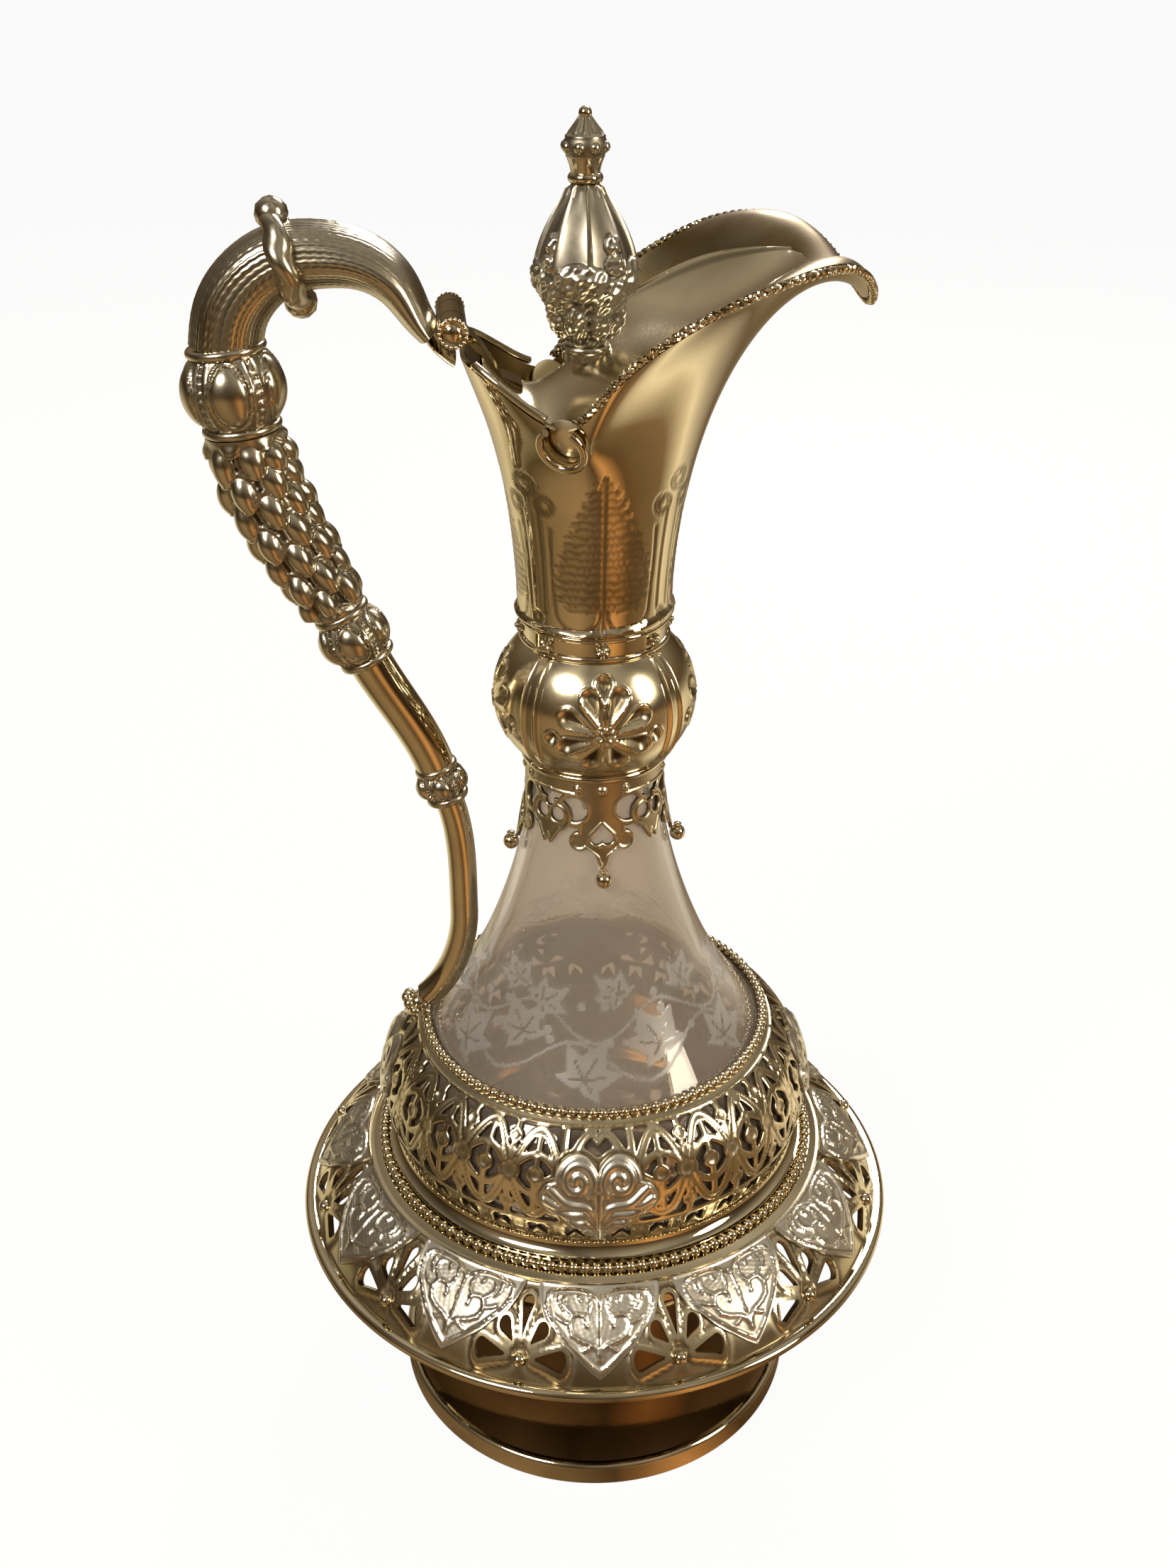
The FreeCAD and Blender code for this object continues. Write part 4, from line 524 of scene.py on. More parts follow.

# %% [markdown]
# ## Glass and cork
# The glass is smoky. Its vine is cut with a wheel and left matt, so the leaves are the same glass with a
# rough surface and a paler look. The leaf drawing is written to an attribute named frost on the glass mesh.
# A second one, shade, is painted shade: it darkens the colour of the glass behind the cage, where metal lies
# all round it. Cork is plain matt stuff with pores, seen only through the foot and from inside.


# %% Glass and cork
def smoky_glass():
    material, tree, shader = blank_material("smoky_glass")
    frost = attribute(tree, "frost")
    ripple = noise(tree, 45.0, 2.0)
    clear = blend(tree, ripple, (0.64, 0.55, 0.45), (0.72, 0.63, 0.53))
    # Painted shade: the glass behind the cage is darkened towards dark brown.
    shade = maths(tree, "MULTIPLY", attribute(tree, "shade"), 0.75)
    wall = blend(tree, shade, clear, (0.16, 0.11, 0.07))
    put(tree, shader, {
        "Base Color": blend(tree, frost, wall, (0.88, 0.84, 0.78)),
        "Roughness": maths(tree, "MULTIPLY_ADD", frost, 0.4, 0.015),
        "Transmission Weight": 0.84,
        "IOR": 1.47,
    })
    grain = noise(tree, 2600.0, 2.0)
    roughen(tree, shader, maths(tree, "MULTIPLY", frost, grain), 0.25, 0.0002)
    return material


def cork():
    material, tree, shader = blank_material("cork")
    grain = noise(tree, 700.0, 5.0)
    put(tree, shader, {
        "Base Color": blend(tree, grain, (0.30, 0.18, 0.09), (0.55, 0.38, 0.22)),
        "Roughness": maths(tree, "MULTIPLY_ADD", grain, 0.2, 0.7),
    })
    roughen(tree, shader, grain, 0.4, 0.0005)
    return material


GLASS = smoky_glass()
CORK = cork()
print("glass and cork", GLASS.name, CORK.name)

# %% [markdown]
# ## Pieces that keep their CAD shape
# What hardly shows needs no new mesh. The cork rings, the pin, the screw with its nut, the pan and the
# lid's knuckle stay as CAD solids and only get a better finish.


# %% Finishes for CAD nodes
def dress(finish, *nodes):
    """A better finish for CAD nodes whose shape is kept."""
    for node in nodes:
        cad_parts[node].data.materials.clear()
        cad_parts[node].data.materials.append(finish)
    print(finish.name, "on", nodes)


dress(CORK, "glass_seat", "neck_seal")
dress(PIN, "hinge_pin", "finial_screw", "finial_nut")
dress(GILT, "base_pan", "lid_knuckle")

# %% [markdown]
# ## Geometry Nodes for what repeats
# A jug like this is full of rings: beads, studs, plaques, ribs. One tree turns any single piece round the
# axis, another strings beads on a ring, and a third puts a bead on every point it is given. All end in real
# geometry with its material.


# %% Repeat trees
def node_tree(name, inputs):
    """A Geometry Nodes tree with a geometry input, named inputs, a finish and a geometry output."""
    geometry = {"Geometry": "Geometry"}
    return new_group(name, "GeometryNodeTree", {**geometry, **inputs, "Finish": "Material"}, geometry)


def finish_tree(tree, given, out, instances):
    """Real geometry, doubles merged at the seams, with the material named in the inputs."""
    real = add(tree, "GeometryNodeRealizeInstances", {0: instances})
    merge = add(tree, "GeometryNodeMergeByDistance", {"Geometry": real.outputs[0], "Distance": 2e-6})
    finish = {"Geometry": merge.outputs[0], "Material": given.outputs["Finish"]}
    put(tree, out, {0: add(tree, "GeometryNodeSetMaterial", finish).outputs[0]})


def ring_tree():
    """Turns the given piece round the axis, Count times, the first by Start radians."""
    tree, given, out = node_tree("RoundTheAxis", {"Count": "Int", "Start": "Float"})
    count = given.outputs["Count"]
    points = add(tree, "GeometryNodePoints", {"Count": count})
    place = tree.nodes.new("GeometryNodeInputIndex")
    step = maths(tree, "DIVIDE", TURN, count)
    turn = maths(tree, "MULTIPLY_ADD", place.outputs[0], step, given.outputs["Start"])
    spin = add(tree, "ShaderNodeCombineXYZ", {"Z": turn})
    copies = add(tree, "GeometryNodeInstanceOnPoints", {
        "Points": points.outputs[0], "Instance": given.outputs["Geometry"], "Rotation": spin.outputs[0],
    })
    finish_tree(tree, given, out, copies.outputs[0])
    return tree


def balls_on(tree, given, points, out):
    """A low ball of the given size on every point, as finished geometry."""
    ball = add(tree, "GeometryNodeMeshIcoSphere", {"Radius": given.outputs["Bead"], "Subdivisions": 2})
    smooth = add(tree, "GeometryNodeSetShadeSmooth", {0: ball.outputs["Mesh"]})
    copies = add(tree, "GeometryNodeInstanceOnPoints", {"Points": points, "Instance": smooth.outputs[0]})
    finish_tree(tree, given, out, copies.outputs[0])


def bead_tree():
    """Beads on a ring of the given radius and height."""
    tree, given, out = node_tree(
        "BeadRing", {"Radius": "Float", "Height": "Float", "Bead": "Float", "Count": "Int"},
    )
    circle = {"Vertices": given.outputs["Count"], "Radius": given.outputs["Radius"]}
    ring = add(tree, "GeometryNodeMeshCircle", circle)
    lift = add(tree, "ShaderNodeCombineXYZ", {"Z": given.outputs["Height"]})
    move = add(tree, "GeometryNodeTransform", {"Geometry": ring.outputs[0], "Translation": lift.outputs[0]})
    balls_on(tree, given, move.outputs[0], out)
    return tree


def spot_tree():
    """A low ball on every given point."""
    tree, given, out = node_tree("BeadsAtPoints", {"Bead": "Float"})
    balls_on(tree, given, given.outputs["Geometry"], out)
    return tree


ROUND_THE_AXIS = ring_tree()
BEAD_RING = bead_tree()
BEADS_AT_POINTS = spot_tree()
print("trees", ROUND_THE_AXIS.name, BEAD_RING.name, BEADS_AT_POINTS.name)

# %% [markdown]
# ## Running a tree
# A tree runs as a modifier on a host object. Copies could stay instances, but the part is handed on as plain
# meshes, so the result is read back at once and the host is taken away again.


# %% Running a tree
def grown_mesh(name, mesh, tree, values):
    """Runs a tree on a mesh and reads the result back as a plain mesh."""
    host = bpy.data.objects.new(name + "_host", mesh)
    bpy.context.scene.collection.objects.link(host)
    grow = host.modifiers.new("Grow", "NODES")
    grow.node_group = tree
    for item in tree.interface.items_tree:
        if item.in_out == "INPUT" and item.name in values:
            grow[item.identifier] = values[item.name]
    bpy.context.view_layer.update()
    depsgraph = bpy.context.evaluated_depsgraph_get()
    result = bpy.data.meshes.new_from_object(host.evaluated_get(depsgraph))
    result.name = name
    bpy.data.objects.remove(host)
    return result


def ring_of(name, piece, count, start, finish, node, slot="gilt"):
    """Copies of one piece round the axis, the first turned by start degrees."""
    values = {"Count": count, "Start": math.radians(start), "Finish": finish}
    show(name, grown_mesh(name, piece, ROUND_THE_AXIS, values), finish, node, slot=slot)


def bead_ring(name, radius, height, bead, count, finish):
    """Beads on a level ring round the axis."""
    sizes = {"Radius": radius * MM, "Height": height * MM, "Bead": bead * MM}
    blank = bpy.data.meshes.new(name)
    return grown_mesh(name, blank, BEAD_RING, {**sizes, "Count": count, "Finish": finish})


def beads_at(name, spots, bead, finish):
    """Beads at chosen spots."""
    points = bpy.data.meshes.new(name)
    points.from_pydata((np.asarray(spots) * MM).tolist(), [], [])
    return grown_mesh(name, points, BEADS_AT_POINTS, {"Bead": bead * MM, "Finish": finish})


def beads(name, spots, bead, finish, node, **where):
    """Beads at chosen spots, shown in place of a CAD node."""
    show(name, beads_at(name, spots, bead, finish), finish, node, **where)


one_bead = beads_at("one_bead", [(0.0, 0.0, 0.0)], 1.0, GILT)
print("one bead has", len(one_bead.polygons), "faces")
bpy.data.meshes.remove(one_bead)

# %% [markdown]
# ## Foot
# The foot is a plain spun trumpet on a rounded ring. Its dark look is the shade under the dish and the dim
# room it reflects, painted into a deeper gilt than the rest. The wall is closed, with an inside, since the
# jug can be picked up.

# %% Foot
rim_line = joined([(54.2, 0.0), (58.3, 0.0)], arc_through((58.3, 0.0), (58.65, 0.15), (58.8, 0.5), 5),
                  [(58.8, 5.4)], arc_through((58.8, 5.4), (58.3, 6.5), (57.2, 7.0), 9), [(54.2, 7.0)])
spun("foot_ring", rim_line, 192, GILT, "foot_rim")
foot_line = joined(arc_through((56.6, 7.0), (46.5, 38.0), (52.0, 64.0), 60),
                   arc_through((50.6, 64.0), (45.1, 38.0), (55.2, 7.0), 40))
# The foot wall takes the gilt with painted shade and reflection.
spun("foot_wall", foot_line, 192, GILT_PAINTED_SHADE, "foot")

# %% [markdown]
# ## Dish
# Twelve sawn palmettes of five petals stand between twelve applied plaques. A twelfth of a turn is drawn in
# plan, as the saw sees it, and laid on the arc of the dish. Each opening has a flat raised rim.

# %% Dish
SLOPE = arc_through((82.2, 66.2), (74.016, 77.376), (62.4, 84.6), 200)
on_slope = laid_over(SLOPE, SLOPE[:, 0])
HALF_SECTOR = math.pi / 12
PALMETTE_ROOT = 79.6
PETALS = ((-1.46, 9.0), (-0.76, 5.6), (0.0, 8.4), (0.76, 5.6), (1.46, 9.0))
PETAL_START = 3.2
PETAL_WIDTH = 3.2
PLAQUE_TOP = 65.0
PLAQUE_TIP = 81.2


def petal_distance(turn, radius):
    """Signed distance in plan to the nearest petal of the palmette at turn 0."""
    across = radius * np.sin(turn)
    inward = PALMETTE_ROOT - radius * np.cos(turn)
    found = np.full(np.shape(across), np.inf)
    for lean, length in PETALS:
        root = (PETAL_START * math.sin(lean), PETAL_START * math.cos(lean))
        found = np.minimum(found, to_drop(across, inward, root, lean, length, PETAL_WIDTH))
    return found


def dish_relief(turn, radius):
    rims = 0.5 * soft_step(petal_distance(turn, radius), 1.45, 1.0)
    edge = 0.3 * bead_of(radius - PLAQUE_TOP, 0.5)
    return np.maximum(rims, edge)


def dish_recess(turn, radius, lift):
    near = soft_step(petal_distance(turn, radius), 3.4, 1.2)
    return near * np.clip(0.95 - lift / 0.45, 0, 1)


sector = pierced_sheet(
    "dish_sector",
    np.linspace(-HALF_SECTOR, HALF_SECTOR, 81),
    np.linspace(62.4, 82.2, 52),
    petal_distance, on_slope, 1.4, dish_relief, dish_recess, seam=True,
)
ring_of("dish_slope", sector, 12, 10.0, GILT_CHASED, "base_dish")
edge_line = joined([(80.6, 65.4), (80.6, 63.2), (83.9, 63.2)],
                   arc_through((83.9, 63.2), (85.4, 64.7), (83.9, 66.2), 12), [(82.2, 66.2)])
spun("dish_edge", edge_line, 192, GILT, "base_dish")
spun("dish_ledge", [(62.4, 84.6), (62.4, 83.2), (54.7, 83.2), (54.7, 84.6)], 160, GILT, "base_dish")

# %% [markdown]
# ## Plaques
# Each plaque is a thin silver spade with a drawn border. Inside it two volutes open from one stem, with
# leaves between them. The same drawing gives the height of the relief and the dark ground around it.

# %% Plaques
SPADE_SIDE = even_spline([
    (0.0, 14.8), (0.1, 15.4), (0.3, 14.8), (0.5, 12.8), (0.68, 9.6), (0.82, 6.0), (0.92, 3.0), (1.0, 0.0),
], 90)
HEART = even_spline([
    (0.0, 17.2), (3.4, 20.2), (8.4, 20.6), (12.4, 19.2), (13.3, 15.6), (11.6, 11.2), (8.0, 6.9),
    (4.2, 3.8), (1.5, 2.0), (0.0, 1.2),
], 80)
# One half of the foliage, in millimetres across and up from the tip: stations, points and width
FOLIAGE = [(even_spline(stations, count), width) for stations, count, width in (
    ([(0.0, 3.2), (1.2, 6.0), (4.8, 7.4), (7.6, 10.4), (6.4, 13.4), (3.6, 13.0), (3.4, 10.8)], 40, 0.85),
    ([(2.0, 6.2), (5.2, 5.2), (7.4, 6.6)], 12, 0.7),
    ([(6.6, 8.6), (9.4, 8.2), (10.8, 10.2)], 12, 0.75),
    ([(7.6, 11.2), (10.6, 12.4), (12.8, 15.4), (12.2, 18.6)], 16, 0.8),
    ([(6.6, 13.4), (8.6, 15.6), (8.2, 18.8), (5.8, 19.4), (5.0, 17.4)], 24, 0.8),
    ([(3.6, 13.2), (2.4, 15.6), (2.8, 19.0)], 14, 0.7),
    ([(12.6, 15.4), (14.6, 17.2), (14.2, 19.6)], 12, 0.65),
    ([(9.4, 14.6), (10.4, 17.0), (9.8, 19.6)], 12, 0.6),
    ([(0.0, 3.0), (0.0, 20.0)], 6, 0.6),
)]


def spade(turn, radius):
    """Distance inside the spade's outline, in plan."""
    across = np.abs(radius * np.sin(turn))
    share = (radius - PLAQUE_TOP) / (PLAQUE_TIP - PLAQUE_TOP)
    half = np.interp(share, SPADE_SIDE[:, 0], SPADE_SIDE[:, 1])
    return np.minimum(np.minimum((half - across) * 0.72, radius - PLAQUE_TOP), PLAQUE_TIP - radius)


def plaque_relief(turn, radius):
    inside = spade(turn, radius)
    across = np.abs(radius * np.sin(turn))
    up = (PLAQUE_TIP - radius) * 1.36
    border = to_polyline(across, up, HEART)
    lift = np.maximum(0.45 * bead_of(border, 0.5), 0.2 * soft_step(0.7 - inside, 0.0, 0.4))
    field = soft_step(inside, 1.9, 2.4)
    grain = 0.07 * np.sin(3.3 * across + 1.7 * up) * np.sin(2.9 * up - 0.8 * across)
    for line, width in FOLIAGE:
        lift = np.maximum(lift, field * (0.42 * bead_of(to_polyline(across, up, line), 0.78 * width) + grain))
    return lift


def plaque_recess(turn, radius, lift):
    inside = spade(turn, radius)
    return soft_step(inside, 0.7, 1.1) * np.clip(0.5 - lift / 0.3, 0, 1)


plaque = pierced_sheet(
    "plaque",
    np.linspace(-0.98 * HALF_SECTOR, 0.98 * HALF_SECTOR, 85),
    np.linspace(64.6, 81.5, 71),
    spade, lambda turn, radius, lift: on_slope(turn, radius, lift + 0.95), 0.85, plaque_relief, plaque_recess,
)
ring_of("plaques", plaque, 12, -5.0, SILVER, "dish_plaques", "silver")
boss_line = arc_through((0.0, 1.9), (1.5, 1.2), (1.75, -0.3), 8)[::-1]
boss_foot = on_slope(0.0, PALMETTE_ROOT, 0.2)
boss_tilt = np.array([[0.72, 0, -0.69], [0, 1, 0], [0.69, 0, 0.72]])
boss = turned_mesh("boss", boss_line, 20, place=lambda p: p @ boss_tilt + boss_foot)
ring_of("bosses", boss, 12, 10.0, GILT, "dish_bosses")

# %% [markdown]
# ## Beaded wires
# A row of cast beads hides each seam of the cage. The beads come from one tree, and a thin plain ring
# holds them together, as on the real wire.


# %% Beaded wires
def bead_wire(name, radius, low, size, count, node):
    """Beads and the thin ring that holds them, both in place of one CAD node."""
    level = low + 0.5 * size
    half = 0.16 * size
    show(name, bead_ring(name, radius, level, 0.53 * size, count, GILT), GILT, node)
    ring = joined(arc_through((radius + half, level), (radius, level + half), (radius - half, level), 9),
                  arc_through((radius - half, level), (radius, level - half), (radius + half, level), 9))
    spun(name + "_core", ring[:-1], 160, GILT_CHASED, node)


bead_wire("lower_beads", 60.9, 84.6, 2.8, 128, "lower_bead_wire")
bead_wire("upper_beads", 46.9, 124.5, 2.6, 108, "upper_bead_wire")

# %% [markdown]
# ## Cage
# The cage holds the glass. Between four silver cartouches it is gilt and sawn into interlaced straps with
# discs where they cross, over a row of small leaning drops and a cove. A quarter of it is drawn and turned.

# %% Cage
CAGE = arc_through((56.4, 91.0), (59.4, 104.0), (46.9, 124.4), 300)
CAGE_WAY = way_along(CAGE)
on_cage = laid_over(CAGE, CAGE_WAY)
SHIELD_REACH = 59.0
SHIELD_MIDDLE = 106.88
FIELD_REACH = 56.0
STRAP_MIDDLE = 22.4
STRAP_REACH = np.linspace(0.0, 46.0, 70)
STRAP_SWING = np.cos(math.pi * STRAP_REACH / 14.0)
# Waving straps with their half widths, then the upright bars where they cross and where they part
STRAPS = [(np.stack([STRAP_REACH, STRAP_MIDDLE + tall * STRAP_SWING], axis=1), half)
          for tall, half in ((11.6, 1.2), (-11.6, 1.2), (5.4, 0.95), (-5.4, 0.95))]
STRAPS += [(((reach, 10.8), (reach, 34.0)), 0.85) for reach in (0.0, 14.0, 28.0)]
STRAPS += [(((reach, 8.0), (reach, 37.0)), 0.95) for reach in (7.0, 21.0, 35.0)]
DISCS = ((7.0, 22.4, 2.9), (21.0, 22.4, 2.9), (0.0, 22.4, 2.3), (14.0, 22.4, 2.3), (28.0, 22.4, 2.3),
         (7.0, 31.4, 2.0), (21.0, 31.4, 2.0), (7.0, 13.4, 2.0), (21.0, 13.4, 2.0))


def on_shield(turn, way):
    """A place on the cartouche at turn 0: across from its middle, to either side, and up."""
    return np.abs(turn) * SHIELD_REACH, np.interp(way, CAGE_WAY, CAGE[:, 1]) - SHIELD_MIDDLE


def shield(turn, way):
    """Distance inside the cartouche's outline: two volutes, two leaves and a tapering foot."""
    across, up = on_shield(turn, way)
    volute = 5.9 - np.hypot(across - 5.5, up - 5.5)
    leaf = 4.9 - np.hypot((across - 9.5) / 1.15, up - 0.8)
    half = np.interp(up, (-12.0, -9.0, -5.0, -1.0, 4.0), (0.6, 4.6, 9.0, 11.6, 12.2))
    foot = np.minimum(np.minimum(0.8 * (half - across), up + 12.0), 4.0 - up)
    return np.maximum(np.maximum(volute, leaf), foot)


def strap_openings(turn, way):
    """Signed distance to the nearest opening of one gilt field: gaps in the strapwork, and drops below it."""
    across = np.abs(turn) * FIELD_REACH
    found = np.maximum(9.2 - way, way - 35.2)
    for line, half in STRAPS:
        found = np.maximum(found, half - to_polyline(across, way, line))
    for x, y, radius in DISCS:
        found = np.maximum(found, -to_ring(across, way, (x, y), radius))
    for step in range(9):
        lean = 0.3 if step % 2 else -0.3
        found = np.minimum(found, to_drop(across, way, (2.3 + 4.8 * step, 2.4), lean, 5.4, 2.4))
    return np.maximum(found, shield(math.pi / 4 - np.abs(turn), way) + 1.3)


def cage_relief(turn, way):
    lift = 0.32 * bead_of(strap_openings(turn, way) - 0.5, 0.6)
    return np.maximum(lift, 0.3 * bead_of(way - 1.6, 0.5))


def cage_recess(turn, way, lift):
    inside = soft_step(strap_openings(turn, way), 2.6, 0.8)
    return inside * np.clip(0.55 - lift / 0.3, 0, 1)


quarter = pierced_sheet(
    "cage_quarter",
    np.linspace(-math.pi / 4, math.pi / 4, 169),
    np.linspace(0.0, CAGE_WAY[-1], 73),
    strap_openings, on_cage, 0.95, cage_relief, cage_recess, seam=True,
)
ring_of("cage", quarter, 4, 40.0, GILT_CHASED, "cage_band")
cove_line = joined([(55.4, 86.0), (59.0, 86.0), (59.0, 87.0)],
                   arc_through((59.0, 87.0), (57.05, 88.5), (56.4, 91.0), 14), [(55.4, 91.0)])
spun("cage_cove", cove_line, 192, GILT, "cage_band")

# %% [markdown]
# ## Cartouches
# The cartouche is a bulging silver shield: two volutes like a bow at the top, a split stem and acanthus
# leaves that curl out below.

# %% Cartouches
ACANTHUS = [
    (scroll((5.5, 5.5), 4.7, -2.4, -1.6), 1.0),
    (even_spline([(0.55, -11.4), (0.55, -3.0), (0.8, 1.6), (1.2, 5.2)], 20), 0.5),
    (even_spline([(0.9, -6.0), (3.0, -1.4), (7.6, -0.6), (11.2, 2.0), (13.4, 3.8)], 24), 0.9),
    (even_spline([(6.4, -1.0), (10.4, -1.2), (13.8, 0.4)], 14), 0.8),
    (even_spline([(0.9, -7.4), (3.6, -3.8), (7.4, -3.8), (10.6, -2.8)], 18), 0.9),
    (even_spline([(0.9, -9.0), (3.4, -6.4), (5.8, -6.6), (7.4, -6.0)], 18), 0.85),
    (even_spline([(0.9, -10.4), (2.4, -8.8), (4.0, -9.0)], 12), 0.6),
]


def shield_relief(turn, way):
    across, up = on_shield(turn, way)
    inside = shield(turn, way)
    field = soft_step(inside, 0.0, 0.8)
    lift = 0.25 * field * bead_of(inside - 0.9, 0.6)
    for line, width in ACANTHUS:
        lift = np.maximum(lift, 0.85 * field * bead_of(to_polyline(across, up, line), 1.5 * width))
    return lift


def shield_recess(turn, way, lift):
    return np.clip(0.5 - lift / 0.45, 0, 1)


shield_span = np.interp([94.2, 119.6], CAGE[:, 1], CAGE_WAY)
cartouche = pierced_sheet(
    "cartouche",
    np.linspace(-0.262, 0.262, 113),
    np.linspace(*shield_span, 97),
    shield, lambda turn, way, lift: on_cage(turn, way, lift + 1.0), 0.9, shield_relief, shield_recess,
)
ring_of("cartouches", cartouche, 4, -5.0, SILVER, "cage_cartouches", "silver")

# %% [markdown]
# ## Glass
# The body is one closed wall of blown glass, turned from an outside and an inside line that meet at the lip.
# A wall with a real inside bends the light as a jug does, where a single skin would look like a soap bubble.

# %% Glass
CONE = arc_through((31.0, 147.0), (22.4, 170.0), (16.6, 198.0), 60)
GLASS_WALL = 2.4
GLASS_COLUMNS = 400


def glass_lines():
    """The outside and the inside of the wall, each from the middle of the floor to the lip."""
    belly = arc_through((55.05, 91.0), (58.05, 104.0), (45.55, 124.4), 40)
    shoulder = arc_through((45.55, 124.4), (37.6, 135.35), (31.0, 147.0), 46)
    outside = joined([(0.01, 69.4), (26.0, 69.4), (48.85, 69.4)],
                     arc_through((48.85, 69.4), (51.68, 70.57), (52.85, 73.4), 6),
                     [(52.85, 86.0)], belly, shoulder, CONE, [(16.6, 215.0), (16.6, 251.0)])
    inner_bend = (45.55 - GLASS_WALL, 122.0)
    inner_neck = (31.0 - GLASS_WALL, 147.0 - GLASS_WALL)
    inner_belly = arc_through((55.05 - GLASS_WALL, 91.0), (58.05 - GLASS_WALL, 104.0), inner_bend, 24)
    inner_shoulder = arc_through(inner_bend, (37.6 - GLASS_WALL, 135.35 - GLASS_WALL), inner_neck, 24)
    inner_cone = arc_through(inner_neck, (22.4 - GLASS_WALL, 170.0), (16.6 - GLASS_WALL, 198.0), 30)
    inside = joined([(0.01, 73.4), (26.0, 73.4), (48.85, 73.4)],
                    arc_through((48.85, 73.4), (49.9, 73.9), (50.45, 75.4), 4),
                    [(50.45, 86.0)], inner_belly, inner_shoulder, inner_cone, [(14.2, 215.0), (14.2, 251.0)])
    return outside, inside


outside, inside = glass_lines()
wall = np.vstack([outside, inside[::-1]])
points, _ = turned_points(wall, GLASS_COLUMNS)
glass = make_mesh("glass", points.reshape(-1, 3), grid_faces(len(wall), GLASS_COLUMNS, False, True), sharp=60)
print("glass", len(glass.polygons), "faces, wall", GLASS_WALL, "mm")

# %% [markdown]
# ## Vine on the glass
# The vine trail is drawn on the cone between the cage and the skirt: stems wind round the jug, with
# five-lobed leaves and small berries. Points inside a leaf get the frost number, apart from its veins, which
# the wheel leaves clear. An image could do the same, but numbers on the mesh need no unwrapping.

# %% Vine
# Turn in degrees, height, lean and size of every leaf
LEAVES = (
    (-100, 131, 0.5, 12.4), (-68, 137, -0.4, 12.8), (-37, 131, 0.6, 12.0), (-10, 140, 0.2, 11.0),
    (20, 131, -0.5, 12.4), (52, 138, 0.5, 12.0), (82, 131, -0.3, 12.4), (112, 139, 0.6, 11.6),
    (144, 131, 0.3, 12.4), (176, 138, -0.5, 12.0), (206, 131, 0.4, 12.4), (232, 139, -0.6, 11.6),
    (-122, 147, 0.9, 9.0), (-84, 150, -0.8, 8.6), (-48, 149, 0.5, 9.0), (36, 149, 0.7, 9.0),
    (98, 150, -0.7, 8.6), (160, 148, 0.6, 8.6), (222, 150, -0.6, 8.6),
)


def vine_leaf(across, up, size):
    """1 inside a five-lobed leaf, 0 outside and on its veins."""
    leaf = np.full(np.shape(across), np.inf)
    veins = np.full(np.shape(across), np.inf)
    for lean, share in ((0.0, 1.0), (0.95, 0.85), (-0.95, 0.85), (2.0, 0.62), (-2.0, 0.62)):
        length = share * size
        tip = (length * math.sin(lean), length * math.cos(lean))
        leaf = np.minimum(leaf, to_drop(across, up, tip, lean + math.pi, 0.98 * length, 0.62 * length))
        veins = np.minimum(veins, to_polyline(across, up, [(0.0, 0.0), (0.52 * tip[0], 0.52 * tip[1])]))
    return soft_step(-leaf, -0.25, 0.25) * soft_step(veins, 0.18, 0.45)


def turned_from(turn, degrees):
    """Angle from a direction, within half a turn to either side."""
    return (turn - math.radians(degrees) + math.pi) % TURN - math.pi


def frost_on(turn, radius, level):
    """The vine trail over the cone."""
    frost = np.zeros(np.shape(turn))
    for degrees, height, lean, size in LEAVES:
        across = turned_from(turn, degrees) * radius
        up = (level - height) * 1.25
        near = np.hypot(across, up) < 1.3 * size
        c, s = math.cos(lean), math.sin(lean)
        leaf = vine_leaf(across[near] * c - up[near] * s, across[near] * s + up[near] * c, size)
        frost[near] = np.maximum(frost[near], leaf)
    for phase, middle, sway in ((0.0, 134.5, 4.5), (2.1, 143.0, 4.0)):
        stem = np.abs(level - middle - sway * np.sin(6 * turn + phase)) * 1.1
        frost = np.maximum(frost, 0.85 * soft_step(stem, 0.75, 0.35))
    for step in range(42):
        degrees = step * 360 / 42 + 4 * math.sin(step * 2.1)
        height = 143.5 + 5.5 * math.sin(step * 1.7)
        berry = np.hypot(turned_from(turn, degrees) * radius, (level - height) * 1.2)
        frost = np.maximum(frost, soft_step(berry, 1.5, 1.0))
    return frost


place = np.array([v.co for v in glass.vertices]) / MM
reach = np.hypot(place[:, 0], place[:, 1])
skin = reach > np.interp(place[:, 2], inside[:, 1], inside[:, 0]) + 1.2
cone = skin & (place[:, 2] > 120) & (place[:, 2] < 160)
frosting = np.zeros(len(place))
frosting[cone] = frost_on(np.arctan2(place[cone, 1], place[cone, 0]), reach[cone], place[cone, 2])
number_points(glass, "frost", frosting)
# Painted shade on the outside of the glass behind the cage, full from 90 to 120 mm high.
shade = np.where(skin, soft_step(place[:, 2], 124.0, 120.0), 0.0) * soft_step(place[:, 2], 76.0, 90.0)
number_points(glass, "shade", shade)
show("glass", glass, GLASS, "glass_body", slot="smoky_glass")

# %% [markdown]
# ## Skirt
# Under the knop a thin gilt skirt lies on the glass: interlaced rings, crescent openings and four pendants
# with a heart sawn through, each ending in a drop. A quarter is drawn with its pendant in the middle.

# %% Skirt
SKIRT_TOP = 205.8
SKIRT_REACH = 18.0


def on_skirt(turn, depth, lift):
    """A point of the skirt, so far below the knop, over the glass."""
    level = SKIRT_TOP - depth
    radius = np.interp(level, CONE[:, 1], CONE[:, 0]) + 1.2 + lift
    return np.stack([radius * np.cos(turn), radius * np.sin(turn), level], axis=-1)


